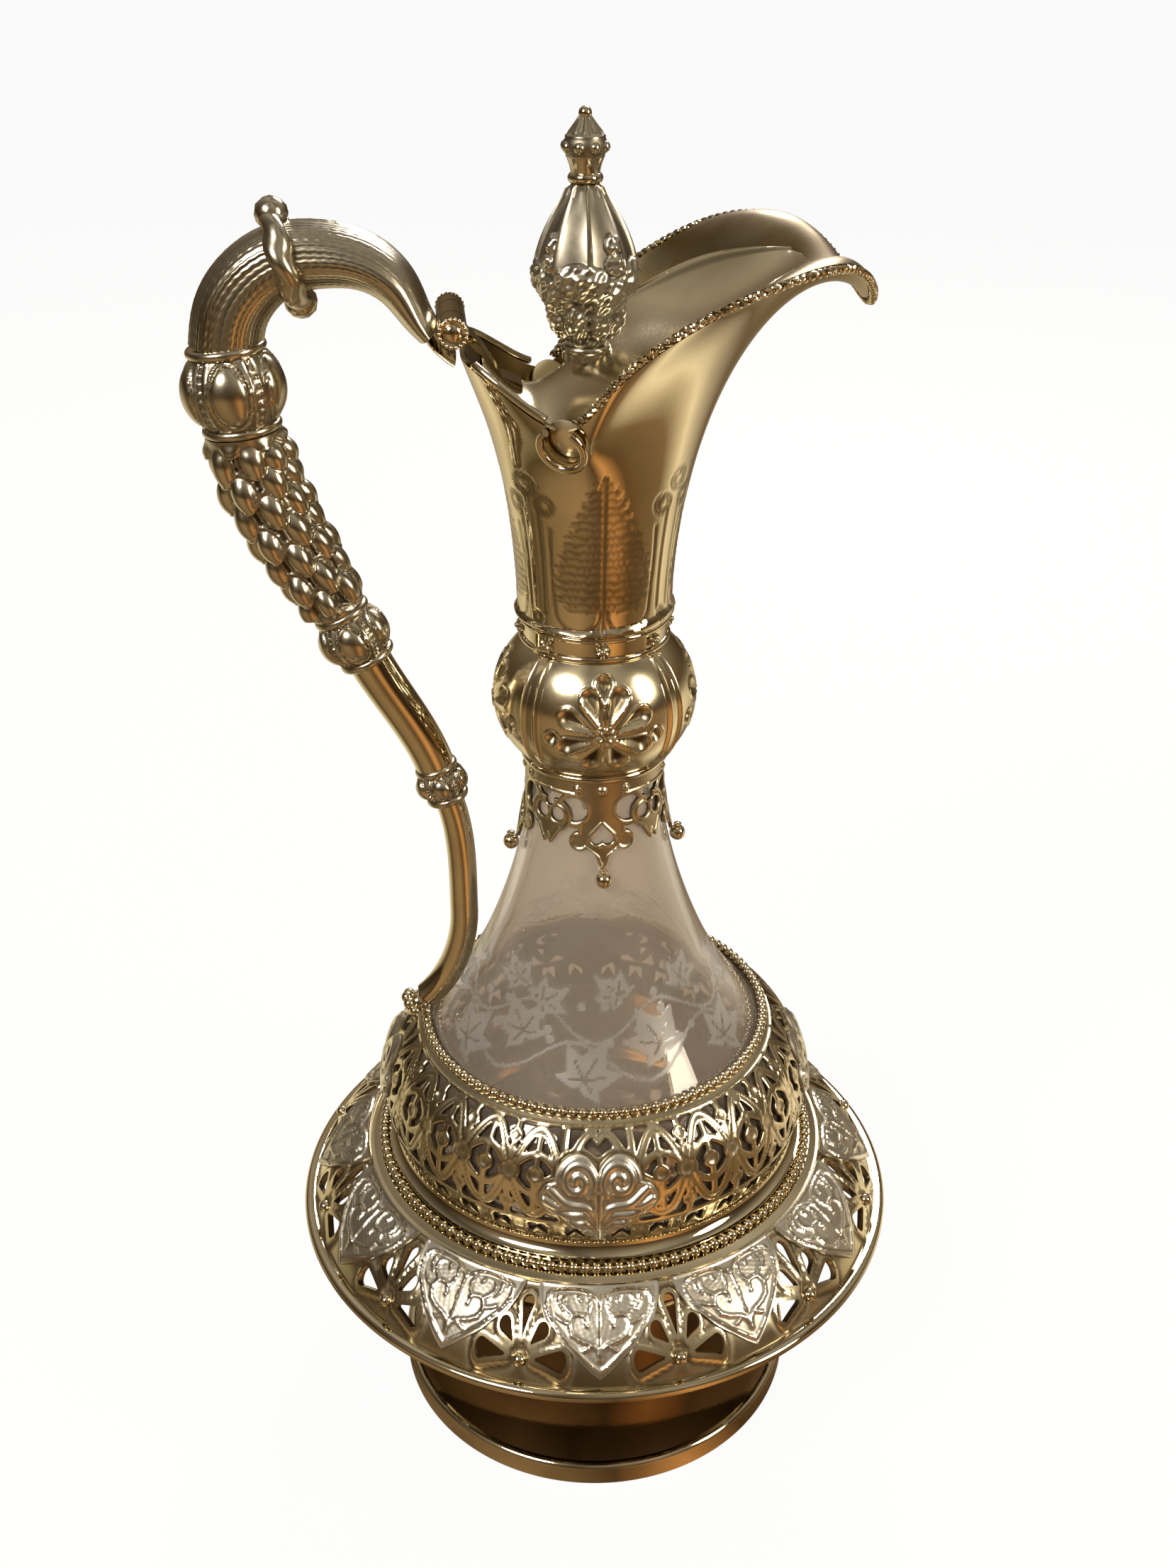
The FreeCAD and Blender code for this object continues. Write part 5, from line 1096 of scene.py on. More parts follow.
def skirt_metal(turn, depth):
    """Distance inside the sheet metal of the skirt."""
    across = np.abs(turn) * SKIRT_REACH
    edge = 4.4 * (1 - soft_step(depth, 15.5, 20.5)) + 1.5
    edge = edge * (1 - 0.75 * soft_step(depth, 20.0, 24.0))
    sheet = np.minimum(edge - across, 24.0 - depth)
    sheet = np.maximum(sheet, 3.9 - depth)
    sheet = np.maximum(sheet, -to_ring(across, depth, (7.0, 7.8), 4.9))
    sheet = np.maximum(sheet, -to_ring(across, depth, (5.6, 16.2), 2.5))
    sheet = np.maximum(sheet, -to_ring(across, depth, (12.0, 10.2), 4.3))
    sheet = np.maximum(sheet, -to_drop(across, depth, (13.2, 18.4), math.pi, 9.0, 6.0))
    crescent = np.maximum(to_ring(across, depth, (7.1, 7.8), 3.4), -to_ring(across, depth, (12.0, 10.2), 4.3))
    hole = np.minimum(crescent, to_ring(across, depth, (11.8, 10.0), 1.9))
    hole = np.minimum(hole, to_drop(across, depth, (13.9, 3.6), 0.0, 4.6, 2.4))
    heart = np.maximum(to_drop(across, depth, (0.0, 11.6), 0.34, 5.6, 3.0), -depth + 11.6)
    return np.minimum(sheet, np.minimum(hole, heart))


def skirt_relief(turn, depth):
    across = np.abs(turn) * SKIRT_REACH
    rims = 0.35 * bead_of(skirt_metal(turn, depth) - 0.45, 0.5)
    studs = 0.8 * bead_of(np.hypot(across - 6.2, depth - 2.0), 1.2)
    stud = 0.8 * bead_of(np.hypot(across, depth - 2.4), 1.5)
    return np.maximum(rims, np.maximum(studs, stud))


def skirt_recess(turn, depth, lift):
    return np.clip(0.5 - lift, 0, 0.5)


quarter = pierced_sheet(
    "skirt_quarter",
    np.linspace(-math.pi / 4, math.pi / 4, 129),
    np.linspace(0.0, 24.2, 101),
    skirt_metal, on_skirt, 0.75, skirt_relief, skirt_recess, seam=True,
)
ring_of("skirt", quarter, 4, 0.0, GILT_CHASED, "neck_skirt")

# %% [markdown]
# ## Skirt drops
# Every pendant ends in a turned drop: a ball that hangs from a small ring. It stands clear of the glass.

# %% Skirt drops
DROP_LEVEL = 180.3
drop_line = joined(arc_through((0.02, -2.2), (2.1, 0.0), (0.7, 1.96), 16),
                   [(0.7, 2.3), (1.1, 2.6), (0.7, 2.9), (0.02, 3.0)])
drop_spot = np.array([np.interp(DROP_LEVEL, CONE[:, 1], CONE[:, 0]) + 2.4, 0, DROP_LEVEL])
drop = turned_mesh("drop", drop_line, 28, place=lambda p: p + drop_spot)
ring_of("drops", drop, 4, 0.0, GILT, "skirt_drops")

# %% [markdown]
# ## Knop
# The knop is a hollow bulb in four panels. Each panel has a palmette of pressed drops around a small flower;
# every drop is sunk and has a fine raised rim. Pairs of ribs part the panels, so they are chased in the
# same skin.

# %% Knop
KNOP = arc_through((18.2, 207.8), (25.4, 223.1), (18.2, 238.4), 110)
KNOP_WAY = way_along(KNOP)
DROPS = (
    (0.34, 1.9, 10.6, 4.7), (1.10, 2.0, 10.4, 4.7), (1.86, 2.0, 10.2, 4.6), (2.72, 1.6, 8.6, 4.4),
)


def knop_drops(across, up):
    """Signed distance to the nearest pressed drop of a panel; across is taken on both sides."""
    across = np.abs(across)
    found = to_drop(across, up, (0.0, 8.4), 0.0, 6.6, 4.0)
    for lean, start, length, width in DROPS:
        root = (start * math.sin(lean), start * math.cos(lean))
        found = np.minimum(found, to_drop(across, up, root, lean, length, width))
    return np.minimum(found, to_ring(across, up, (13.2, -1.2), 1.7))


def knop_height(turn, along):
    way = np.clip(along, 0, KNOP_WAY[-1])
    radius = np.interp(way, KNOP_WAY, KNOP[:, 0])
    fold = (turn + math.pi / 4) % (math.pi / 2) - math.pi / 4
    across = fold * radius
    up = way - 16.6
    pressed = knop_drops(across, up)
    lift = -1.3 * soft_step(-pressed, 0.0, 1.7) + 0.3 * bead_of(pressed - 0.3, 0.42)
    spoke = np.hypot(across, up)
    flower = 0.6 * soft_step(2.9 - spoke, 0.0, 0.9) * (0.55 + 0.45 * np.cos(8 * np.arctan2(up, across)))
    lift = np.where(spoke < 2.9, np.maximum(flower, 0.3 * bead_of(spoke, 0.7)), lift)
    rib = np.abs(np.abs(fold) - math.pi / 4 + math.radians(4.5)) * radius
    lift = np.maximum(lift, np.where(np.abs(fold) > 0.6, 0.7 * bead_of(rib, 0.75), lift))
    hem = soft_step(way, 0.0, 1.6) * soft_step(KNOP_WAY[-1] - way, 0.0, 1.6)
    return np.where(along <= KNOP_WAY[-1], lift * hem, 0.0)


knop_line = joined(KNOP, [(16.95, 238.4), (16.95, 207.8)])
spun("knop_skin", knop_line, 480, GILT_CHASED, "knop", "knop_ribs",
     height=knop_height, recess=hollows(0.0, 0.75))
ring_line = joined([(16.95, 205.8), (17.9, 205.8)],
                   arc_through((17.9, 205.8), (18.9, 206.8), (17.9, 207.8), 10), [(16.95, 207.8)])
spun("knop_foot", ring_line, 128, GILT, "knop_ring")

# %% [markdown]
# ## Collar
# A plain band between two wires, with eight cast rosettes. A rosette is a small dome whose height waves
# six times round, and the repeat tree sets it out.

# %% Collar
collar_line = joined([(16.95, 238.4), (18.0, 238.4)],
                     arc_through((18.0, 238.4), (18.8, 239.2), (18.0, 240.0), 8), [(18.0, 243.4)],
                     arc_through((18.0, 243.4), (18.8, 244.2), (18.0, 245.0), 8), [(16.95, 245.0)])
spun("collar", collar_line, 160, GILT, "collar_band")
rosette_line = joined([(1.9, -0.3)], arc_through((1.9, 0.0), (1.3, 0.85), (0.75, 1.0), 8),
                      arc_through((0.75, 1.0), (0.6, 1.5), (0.02, 1.75), 6))


def rosette_height(turn, along):
    return 0.3 * np.cos(6 * turn) * soft_step(along, 0.2, 0.8) * soft_step(2.2 - along, 0.0, 0.7)


rosette = turned_mesh(
    "rosette", rosette_line, 36, rosette_height, hollows(0.5, 2.0),
    place=lambda p: np.stack([p[:, 2] + 18.05, p[:, 1], -p[:, 0] + 241.7], axis=1),
)
ring_of("rosettes", rosette, 8, -90.0, GILT_CHASED, "collar_studs")

# %% [markdown]
# ## Saddle mouth
# Every upright line of the mouth is a cubic curve from the collar to one point of the rim. The rim dips at
# the keyholes and runs up to the spout. Evenly spaced rows keep the sheet fair; the drawing is engraved
# into the lower half, and the keyholes are sawn with the same cutter as the pierced sheets.

# %% Mouth surface
RIM_HALF = [(-28.4, 15.6, 308.4), (-20.0, 22.4, 302.6), (-9.5, 28.2, 297.8), (0.0, 35.9, 307.7),
            (15.0, 38.8, 320.0), (38.0, 37.4, 330.4), (52.0, 26.0, 330.0)]
RIM_BACK = [(x, -y, z) for x, y, z in reversed(RIM_HALF)]
RIM = [(-30.6, 0.0, 308.4)] + RIM_HALF + [(61.0, 0.0, 319.0)] + RIM_BACK
NECK_FOOT = 245.0
NECK_COLUMNS = 288
NECK_ROWS = 112
HALF_WAY = NECK_COLUMNS // 2
SHEET = 1.3


def cubic(pulls, share):
    """Points of a cubic curve between four pulls."""
    back = 1 - share
    weights = (back ** 3, 3 * share * back ** 2, 3 * share ** 2 * back, share ** 3)
    return sum(np.asarray(pull)[None, :] * weight[:, None] for pull, weight in zip(pulls, weights))


def mouth_grid():
    """Rows of points from the collar to the rim, evenly spaced on every upright line."""
    rim = even_spline(RIM, NECK_COLUMNS + 1, closed=True)
    dense = np.linspace(0, 1, 121)
    columns = []
    for point in rim:
        turn = math.atan2(point[1], point[0])
        outward = np.array([math.cos(turn), math.sin(turn), 0.0])
        front = 0.5 + 0.5 * math.cos(turn)
        rise = 40.0 + 27.0 * front ** 2
        lift = 26.0 * front ** 4 - 13.0
        foot = outward * 18.9 + np.array([0, 0, NECK_FOOT])
        lean = outward * 20.0 + np.array([0, 0, NECK_FOOT + rise])
        flare = np.array([0.86 * point[0], 0.86 * point[1], point[2] + lift])
        columns.append(evenly(cubic((foot, lean, flare, point), dense), NECK_ROWS))
    return np.stack(columns, axis=1)


MOUTH = mouth_grid()
ACROSS = np.roll(MOUTH[:, :-1], -1, axis=1) - np.roll(MOUTH[:, :-1], 1, axis=1)
ACROSS = np.concatenate([ACROSS, ACROSS[:, :1]], axis=1)
UPWARD = np.gradient(MOUTH, axis=0)
UPWARD /= np.linalg.norm(UPWARD, axis=2)[:, :, None]
MOUTH_NORMAL = np.cross(UPWARD, ACROSS)
MOUTH_NORMAL /= np.linalg.norm(MOUTH_NORMAL, axis=2)[:, :, None]


def in_grid(grid, column, row):
    """A value of the mouth's grid between its points."""
    j = np.clip(np.floor(column).astype(int), 0, NECK_COLUMNS - 1)
    i = np.clip(np.floor(row).astype(int), 0, NECK_ROWS - 2)
    a = (column - j)[..., None]
    b = (row - i)[..., None]
    low = grid[i, j] * (1 - a) + grid[i, j + 1] * a
    high = grid[i + 1, j] * (1 - a) + grid[i + 1, j + 1] * a
    return low * (1 - b) + high * b


def on_mouth(column, row, lift):
    """A point of the mouth's outside, lifted square to it."""
    column = np.asarray(column, float)
    row = np.asarray(row, float)
    return in_grid(MOUTH, column, row) + in_grid(MOUTH_NORMAL, column, row) * np.asarray(lift)[..., None]


NOTCH = int(np.argmin(MOUTH[-1, :HALF_WAY, 2]))
UPPER_HALF = NECK_ROWS // 2
KEYHOLE_ROW = int(np.argmin(np.abs(MOUTH[UPPER_HALF:, NOTCH, 2] - 294.2))) + UPPER_HALF
KEYHOLE = MOUTH[KEYHOLE_ROW, NOTCH]
KEYHOLE_OUT = MOUTH_NORMAL[KEYHOLE_ROW, NOTCH]
print("keyhole", np.round(KEYHOLE, 2))


def mouth_metal(column, row):
    """Distance outside the two keyholes."""
    place = in_grid(MOUTH, np.asarray(column, float), np.asarray(row, float))
    place = np.stack([place[..., 0], np.abs(place[..., 1]), place[..., 2]], axis=-1)
    return np.linalg.norm(place - KEYHOLE, axis=-1) - 4.4


# %% [markdown]
# ## Engraving of the mouth
# Firs under arches stand on the sides and at the front and back, with trefoils on slim stems between them.
# Lines are drawn by their distance, and the firs are filled with rows of tufts that stray a little.

# %% Mouth sheet
FIR_LOW = 251.6
FIR_HIGH = 286.5
FIR_HALF = np.array([(251.6, 8.0), (254.0, 11.0), (258.0, 11.8), (264.0, 10.8), (270.0, 8.4), (276.0, 5.6),
                     (281.0, 3.2), (286.5, 0.0)])
TUFT_TIER = 1.9
TUFT_STEP = 2.2
ARCH_LINE = even_spline([(0.7, 252.4), (1.4, 249.0), (4.2, 247.0), (8.0, 247.0), (11.2, 249.2), (12.2, 254.0),
                         (12.6, 262.0), (12.2, 272.0)], 50)
FIR_STEM = [(0.0, 246.6), (0.0, 286.0)]
TREFOIL_STEM = [(2.1, 250.4), (2.1, 275.4)]
TREFOIL = ((0.0, 282.4, 2.5), (3.8, 277.4, 2.3), (0.0, 248.6, 1.5))
NECK_REACH = 19.6


def engraving(column, row):
    """Engraved lines and stippled grounds of the mouth: distance to the line, and 1 in the grounds."""
    place = in_grid(MOUTH, np.asarray(column, float), np.asarray(row, float))
    turn = np.abs(np.arctan2(place[..., 1], place[..., 0]))
    level = place[..., 2]
    off_side = np.abs(turn - math.pi / 2)
    from_side = off_side * NECK_REACH
    from_trefoil = np.abs(off_side - math.radians(50)) * NECK_REACH
    from_front = np.minimum(turn, math.pi - turn) * NECK_REACH
    lines = to_polyline(from_trefoil, level, TREFOIL_STEM)
    for x, z, radius in TREFOIL:
        for size in (radius, 0.6 * radius):
            lines = np.minimum(lines, np.abs(to_ring(from_trefoil, level, (x, z), size)))
    ragged = 0.7 * np.sin(2.3 * level) + 0.5 * np.sin(4.9 * level + 1.0)
    half = np.interp(level, FIR_HALF[:, 0], FIR_HALF[:, 1]) + ragged
    tier = np.floor(level / TUFT_TIER)
    fir = np.zeros(np.shape(level))
    for across in (from_side, from_front * 1.25):
        for line in (ARCH_LINE, FIR_STEM):
            lines = np.minimum(lines, to_polyline(across, level, line))
        inside = (level > FIR_LOW) & (level < FIR_HIGH) & (across < half)
        stray = across + 0.9 * np.sin(0.7 * tier + 0.9 * across) + 0.5 * np.sin(2.3 * tier)
        from_tuft = ((stray / TUFT_STEP + 0.5 * (tier % 2)) % 1.0 - 0.5) * TUFT_STEP
        tuft = np.abs(np.hypot(from_tuft, level - TUFT_TIER * tier) - 1.15)
        fir = np.maximum(fir, np.where(inside, 0.5 + 0.5 * bead_of(tuft, 0.5), 0.0))
    return lines, fir


def mouth_relief(column, row):
    lines, tufts = engraving(column, row)
    roll = 0.9 * bead_of(np.asarray(row, float) - 2.0, 2.0)
    return roll - np.maximum(0.22 * bead_of(lines, 0.5), 0.16 * tufts)


def mouth_recess(column, row, lift):
    lines, tufts = engraving(column, row)
    return np.clip(np.maximum(0.8 * bead_of(lines, 0.55), 0.75 * tufts), 0, 1)


mouth = pierced_sheet(
    "mouth", np.arange(NECK_COLUMNS + 1), np.arange(NECK_ROWS), mouth_metal, on_mouth, SHEET,
    mouth_relief, mouth_recess, seam=True,
)
show("mouth", mouth, GILT, "neck_mouth")

# %% [markdown]
# ## Wires of the mouth
# A plain wire runs along the rim on the handle side. Along the spout two strands are twisted into a rope
# with pairs of beads on it. Every wire is a rod drawn along a path, with frames carried along so that it
# never twists by itself.


# %% Rods
def carried_frames(path):
    """Two directions square to a path, carried along without twist."""
    run = np.gradient(path, axis=0)
    run /= np.linalg.norm(run, axis=1)[:, None]
    start = np.array([0.0, 1.0, 0.0]) if abs(run[0][1]) < 0.9 else np.array([1.0, 0.0, 0.0])
    sides = []
    for direction in run:
        start = start - direction * (start @ direction)
        start = start / np.linalg.norm(start)
        sides.append(start)
    sides = np.array(sides)
    return run, sides, np.cross(run, sides)


def rod_mesh(name, path, radius, columns=12, height=None, recess=None, wide=None):
    """A closed rod; height(turn, share) lifts its skin, wide gives it an oval section."""
    path = np.array(path, float)
    count = len(path)
    share = np.linspace(0, 1, count)
    thick = np.broadcast_to(np.asarray(radius, float), (count,))
    broad = thick if wide is None else np.broadcast_to(np.asarray(wide, float), (count,))
    run, side, over = carried_frames(path)
    turn = np.arange(columns) * TURN / columns
    lift = np.zeros((count, columns)) if height is None else height(turn[None, :], share[:, None])
    a = (broad[:, None] + lift) * np.cos(turn)[None, :]
    b = (thick[:, None] + lift) * np.sin(turn)[None, :]
    points = path[:, None, :] + a[..., None] * side[:, None, :] + b[..., None] * over[:, None, :]
    flat = np.vstack([points.reshape(-1, 3), path[:1], path[-1:]])
    faces = grid_faces(count, columns, False, True)
    first = count * columns
    faces += [[first, (j + 1) % columns, j] for j in range(columns)]
    base = (count - 1) * columns
    faces += [[first + 1, base + j, base + (j + 1) % columns] for j in range(columns)]
    hollow = None
    if recess is not None:
        hollow = np.concatenate([recess(lift).reshape(-1), [0.0, 0.0]])
    return make_mesh(name, flat, faces, hollow)


def joined_mesh(name, meshes):
    """Several meshes as one, with their recess kept."""
    whole = bmesh.new()
    for mesh in meshes:
        whole.from_mesh(mesh)
    result = bpy.data.meshes.new(name)
    whole.to_mesh(result)
    whole.free()
    return result


def mirrored(points):
    """The same points on the other side of the jug."""
    return np.asarray(points) * np.array([1.0, -1.0, 1.0])


def wire_pair(name, path, node):
    """A plain wire and its mirror image."""
    wires = [rod_mesh(name, line, 0.9, 14) for line in (path, mirrored(path))]
    show(name, joined_mesh(name, wires), GILT, node)


def facing(spot, direction):
    """Lays a piece turned about Z so that its axis points along a direction."""
    up = np.array(direction, float) / np.linalg.norm(direction)
    side = np.cross([0.0, 0.0, 1.0], up)
    if np.linalg.norm(side) < 1e-6:
        side = np.array([1.0, 0.0, 0.0])
    side = side / np.linalg.norm(side)
    over = np.cross(up, side)
    return lambda p: np.asarray(spot) + p[:, :1] * side + p[:, 1:2] * over + p[:, 2:] * up


print("the rim is", round(way_along(MOUTH[-1])[-1], 1), "mm round")

# %% [markdown]
# ## Wires along the rim
# The plain wire ends shortly before the keyhole on either side, and the rope starts behind it. Its strands
# wind half a turn apart.

# %% Rim wires and rope
WIRE_LINE = MOUTH[-1] - 0.5 * SHEET * MOUTH_NORMAL[-1] + SHEET * UPWARD[-1]
first_wire = int(np.argmax(np.abs(MOUTH[-1, :HALF_WAY, 1]) > 15.7))
wire_pair("rim_wire_pair", WIRE_LINE[first_wire: NOTCH - 3], "rim_wires")
ROPE_POINTS = 700
ROPE_LAY = 3.6
spout_path = even_spline(WIRE_LINE[NOTCH + 3: NECK_COLUMNS - NOTCH - 2], ROPE_POINTS)
spout_way = way_along(spout_path)
run, side, over = carried_frames(spout_path)
strands = []
for start in (0.0, math.pi):
    twist = TURN * spout_way / ROPE_LAY + start
    strand = spout_path + 0.5 * np.cos(twist)[:, None] * side + 0.5 * np.sin(twist)[:, None] * over
    strands.append(rod_mesh("strand", strand, 0.52, 8))
show("spout_rope", joined_mesh("spout_rope", strands), GILT, "spout_wire")

# %% [markdown]
# ## Beads on the rope
# Pairs of beads sit on the rope at even steps. Their spots are picked along the rope, a little way out from
# the rim, and the tree for given points puts a ball on each.

# %% Spout beads
rope_columns = np.linspace(NOTCH + 3, NECK_COLUMNS - NOTCH - 3, ROPE_POINTS)
away = in_grid(UPWARD, rope_columns, np.full(ROPE_POINTS, NECK_ROWS - 1.0))
bead_spots = []
for step in np.linspace(8, spout_way[-1] - 8, 22):
    for shift in (-0.85, 0.85):
        k = int(np.argmin(np.abs(spout_way - step - shift)))
        bead_spots.append(spout_path[k] + away[k] * 0.55)
beads("spout_beads", bead_spots, 0.6, GILT_SOFT, "spout_wire")

# %% [markdown]
# ## Keyhole rings
# A loop of wire frames each keyhole. It stays open at its top, towards the notch in the rim.

# %% Keyhole rings
level = np.cross(KEYHOLE_OUT, np.array([0.0, 0.0, 1.0]))
level /= np.linalg.norm(level)
fall = np.cross(KEYHOLE_OUT, level)
fall = fall if fall[2] < 0 else -fall
swing = np.radians(np.linspace(-145, 145, 70))[:, None]
ring_path = KEYHOLE + SHEET * KEYHOLE_OUT + 5.3 * np.cos(swing) * fall + 5.3 * np.sin(swing) * level
wire_pair("keyhole_wires", ring_path, "keyhole_rings")

# %% [markdown]
# ## Lid
# The lid is a saddle sheet that follows the rim from inside. Its edge keeps an even gap to the wall, so the
# half width is read from the mouth's own inside at the height of the edge.

# %% Lid
INNER_WALL = MOUTH - SHEET * MOUTH_NORMAL
HALF_RIM = MOUTH[-1, :HALF_WAY + 1]
LID_BACK = -25.8
LID_FRONT = 47.6
LID_BEND = 15.0
LID_STATIONS = 61


def rim_height(reach):
    """Height of the rim at one place along X."""
    return float(np.interp(reach, HALF_RIM[:, 0], HALF_RIM[:, 2]))


def room_inside(reach, height):
    """Half width of the room inside the mouth at one place along X."""
    ring = []
    for column in range(HALF_WAY + 1):
        line = INNER_WALL[:, column]
        above = int(np.argmax(line[:, 2] > height))
        if above > 0:
            share = (height - line[above - 1, 2]) / (line[above, 2] - line[above - 1, 2])
            ring.append(line[above - 1] + share * (line[above] - line[above - 1]))
    ring = np.array(ring)
    order = np.argsort(ring[:, 0])
    return float(np.interp(reach, ring[order, 0], np.abs(ring[order, 1])))


def lid_half(reach):
    """Half width and height of the lid's edge."""
    edge = rim_height(reach) - 3.4
    half = room_inside(reach, edge - 1.2) - 1.8
    if reach > LID_BEND:
        share = min((reach - LID_BEND) / (LID_FRONT - LID_BEND), 1.0)
        half = min(half, 6.0 + 27.4 * math.sqrt(1 - share ** 2))
    return max(half, 3.0), edge


LID_LINE = even_spline([(LID_BACK, rim_height(LID_BACK) + 2.6), (-16.5, 300.2), (-2.0, 306.8), (20.0, 312.4),
                        (39.0, 322.6), (LID_FRONT, rim_height(LID_FRONT) - 3.4)], LID_STATIONS)
LID_EDGE = np.array([lid_half(reach) for reach in LID_LINE[:, 0]])


def on_lid(share, place, lift):
    """A point of the lid: share runs across from -1 to 1, place along its centre line."""
    steps = np.arange(len(LID_LINE))
    reach = np.interp(place, steps, LID_LINE[:, 0])
    middle = np.interp(place, steps, LID_LINE[:, 1])
    half = np.interp(place, steps, LID_EDGE[:, 0])
    edge = np.interp(place, steps, LID_EDGE[:, 1])
    return np.stack([reach, half * share, edge + (middle - edge) * (1 - share ** 2) + lift], axis=-1)


def lid_keep(share, place):
    return np.ones(np.shape(share))


def lid_relief(share, place):
    return 0.5 * bead_of(np.abs(share) - 0.93, 0.04)


def lid_recess(share, place, lift):
    return np.clip(-2.2 * lift, 0, 1)


lid = pierced_sheet("lid_sheet", np.linspace(-1, 1, 81), np.linspace(0, LID_STATIONS - 1, 121),
                    lid_keep, on_lid, 1.2, lid_relief, lid_recess)
show("lid_sheet", lid, GILT_SOFT, "lid", body="lid")

# %% [markdown]
# ## Lobes
# Two domed discs of the lid show in the keyholes. Each is turned on its own axis and laid to face out of its
# keyhole, so it stays parallel to the wall and just clear of it.

# %% Lobes
lobe_spot = KEYHOLE - KEYHOLE_OUT * 2.6
lobe_line = joined([(0.02, 0.0), (5.2, 0.0), (5.2, 0.4)],
                   arc_through((5.2, 0.4), (3.3, 1.45), (0.02, 2.1), 10))
lobes = [
    turned_mesh("lobe", lobe_line, 40, place=facing(lobe_spot, KEYHOLE_OUT)),
    turned_mesh("lobe", lobe_line, 40, place=facing(mirrored(lobe_spot), mirrored(KEYHOLE_OUT))),
]
# The lobes' finish is lighter than the other gilts: a painted highlight on their faces.
show("lobes", joined_mesh("lobes", lobes), SATIN_PAINTED_LIGHT, "lid_lobes", body="lid")

# %% [markdown]
# ## Finial
# The finial is a pine-like bud: crumpled leaves in clumps below, eight hollow facets above with small buds
# climbing four of them, then a little turban with eight jewels, a fluted cone and a ball. It is turned about
# its own axis, two millimetres behind the jug's.

# %% Finial
FINIAL_AXIS = np.array([-2.0, 0.0, 0.0])
BUD_FOOT = 309.8
BUD_TOP = 344.4
BUD_BASE = 4.6
BUD = even_spline([(4.4, BUD_FOOT), (5.8, 311.4), (7.6, 314.0), (9.2, 318.6), (10.6, 322.6), (11.0, 326.8),
                   (10.2, 330.6), (8.4, 335.0), (6.1, 339.0), (4.5, 341.6), (3.2, BUD_TOP)], 150)


def on_finial(points):
    return points + FINIAL_AXIS


def lump(across, up, wide, tall):
    """A round swelling, 1 at its middle and 0 outside it."""
    return np.clip(1 - (across / wide) ** 2 - (up / tall) ** 2, 0, 1)


def sector_of(turn, count, shift=0.0):
    """Place within one of a number of equal sectors, from -0.5 to 0.5."""
    return ((turn * count / TURN + shift) % 1.0) - 0.5


def bud_height(turn, along):
    """Crumpled leaves below, eight hollow facets with raised edges above, and buds on four of them."""
    face = sector_of(turn, 8)
    fourth = sector_of(turn, 4, 0.125)
    next_fourth = sector_of(turn, 4, 0.625)
    high = 2.3 * lump(next_fourth, along - 16.4, 0.42, 4.8)
    middle = 1.7 * lump(fourth, along - 13.0, 0.36, 4.4)
    leaves = np.maximum(high, middle) ** 0.7
    leaves = np.maximum(leaves, 1.2 * lump(face, along - 6.0, 0.48, 4.8) ** 0.7)
    climbers = np.maximum(lump(fourth, along - 20.4, 0.17, 2.5), lump(fourth, along - 24.6, 0.14, 2.8))
    leaves = np.maximum(leaves, 1.5 * climbers ** 0.7)
    crumple = 0.24 * np.sin(12 * turn + 1.5 * along) * np.sin(1.2 * along - 8 * turn)
    crumple += 0.12 * np.sin(24 * turn - 2.1 * along)
    facet = 0.7 * bead_of(np.abs(face) - 0.5, 0.08) + 0.8 * (2 * np.abs(face)) ** 2 - 0.75
    climb = soft_step(along, 17.0, 19.5)
    ground = (crumple - 0.5) * (1 - climb) + facet * climb
    raised = np.maximum(ground, np.where(leaves > 0.1, leaves + crumple - 0.5, -2.0))
    return raised * soft_step(along, 0.0, 1.0) * soft_step(38.4 - along, 0.0, 2.0)


def bud_skin(turn, along):
    """The bud's relief, with its flat underside left plain."""
    return np.where(along < BUD_BASE, 0.0, bud_height(turn, along - BUD_BASE))


bud_line = joined([(0.02, BUD_FOOT)], BUD, [(0.02, BUD_TOP)])
on_lid_axis = {"body": "lid", "loop": False, "place": on_finial}
spun("bud", bud_line, 288, SILVER_WORN, "finial_body", height=bud_skin, recess=hollows(0.15, 1.0),
     slot="silver", **on_lid_axis)
ring_line = joined([(0.02, 306.6), (5.4, 306.6), (5.4, 308.2)],
                   arc_through((5.4, 308.2), (5.75, 309.0), (5.4, BUD_FOOT), 8), [(0.02, BUD_FOOT)])
spun("bud_ring", ring_line, 64, GILT_SILVER, "finial_ring", slot="silver", **on_lid_axis)
collar_line = joined([(0.02, BUD_TOP), (3.2, BUD_TOP)],
                     arc_through((3.2, BUD_TOP), (3.9, 345.5), (3.2, 346.6), 10), [(0.02, 346.6)])
spun("bud_collar", collar_line, 64, GILT, "finial_collar", **on_lid_axis)

# %% [markdown]
# ## Turban
# The turban is turned too. A shallow band is sunk into it for the jewels, which are balls at chosen points,
# and its cone is fluted by a wave round the axis.


# %% Turban
def turban_height(turn, along):
    """A sunk band for the jewels, and flutes on the cone."""
    band = soft_step(along, 6.5, 6.9) * soft_step(11.2 - along, 0.0, 0.4)
    flutes = 0.16 * np.cos(8 * turn) * soft_step(along, 11.8, 12.4)
    return flutes - 0.3 * band


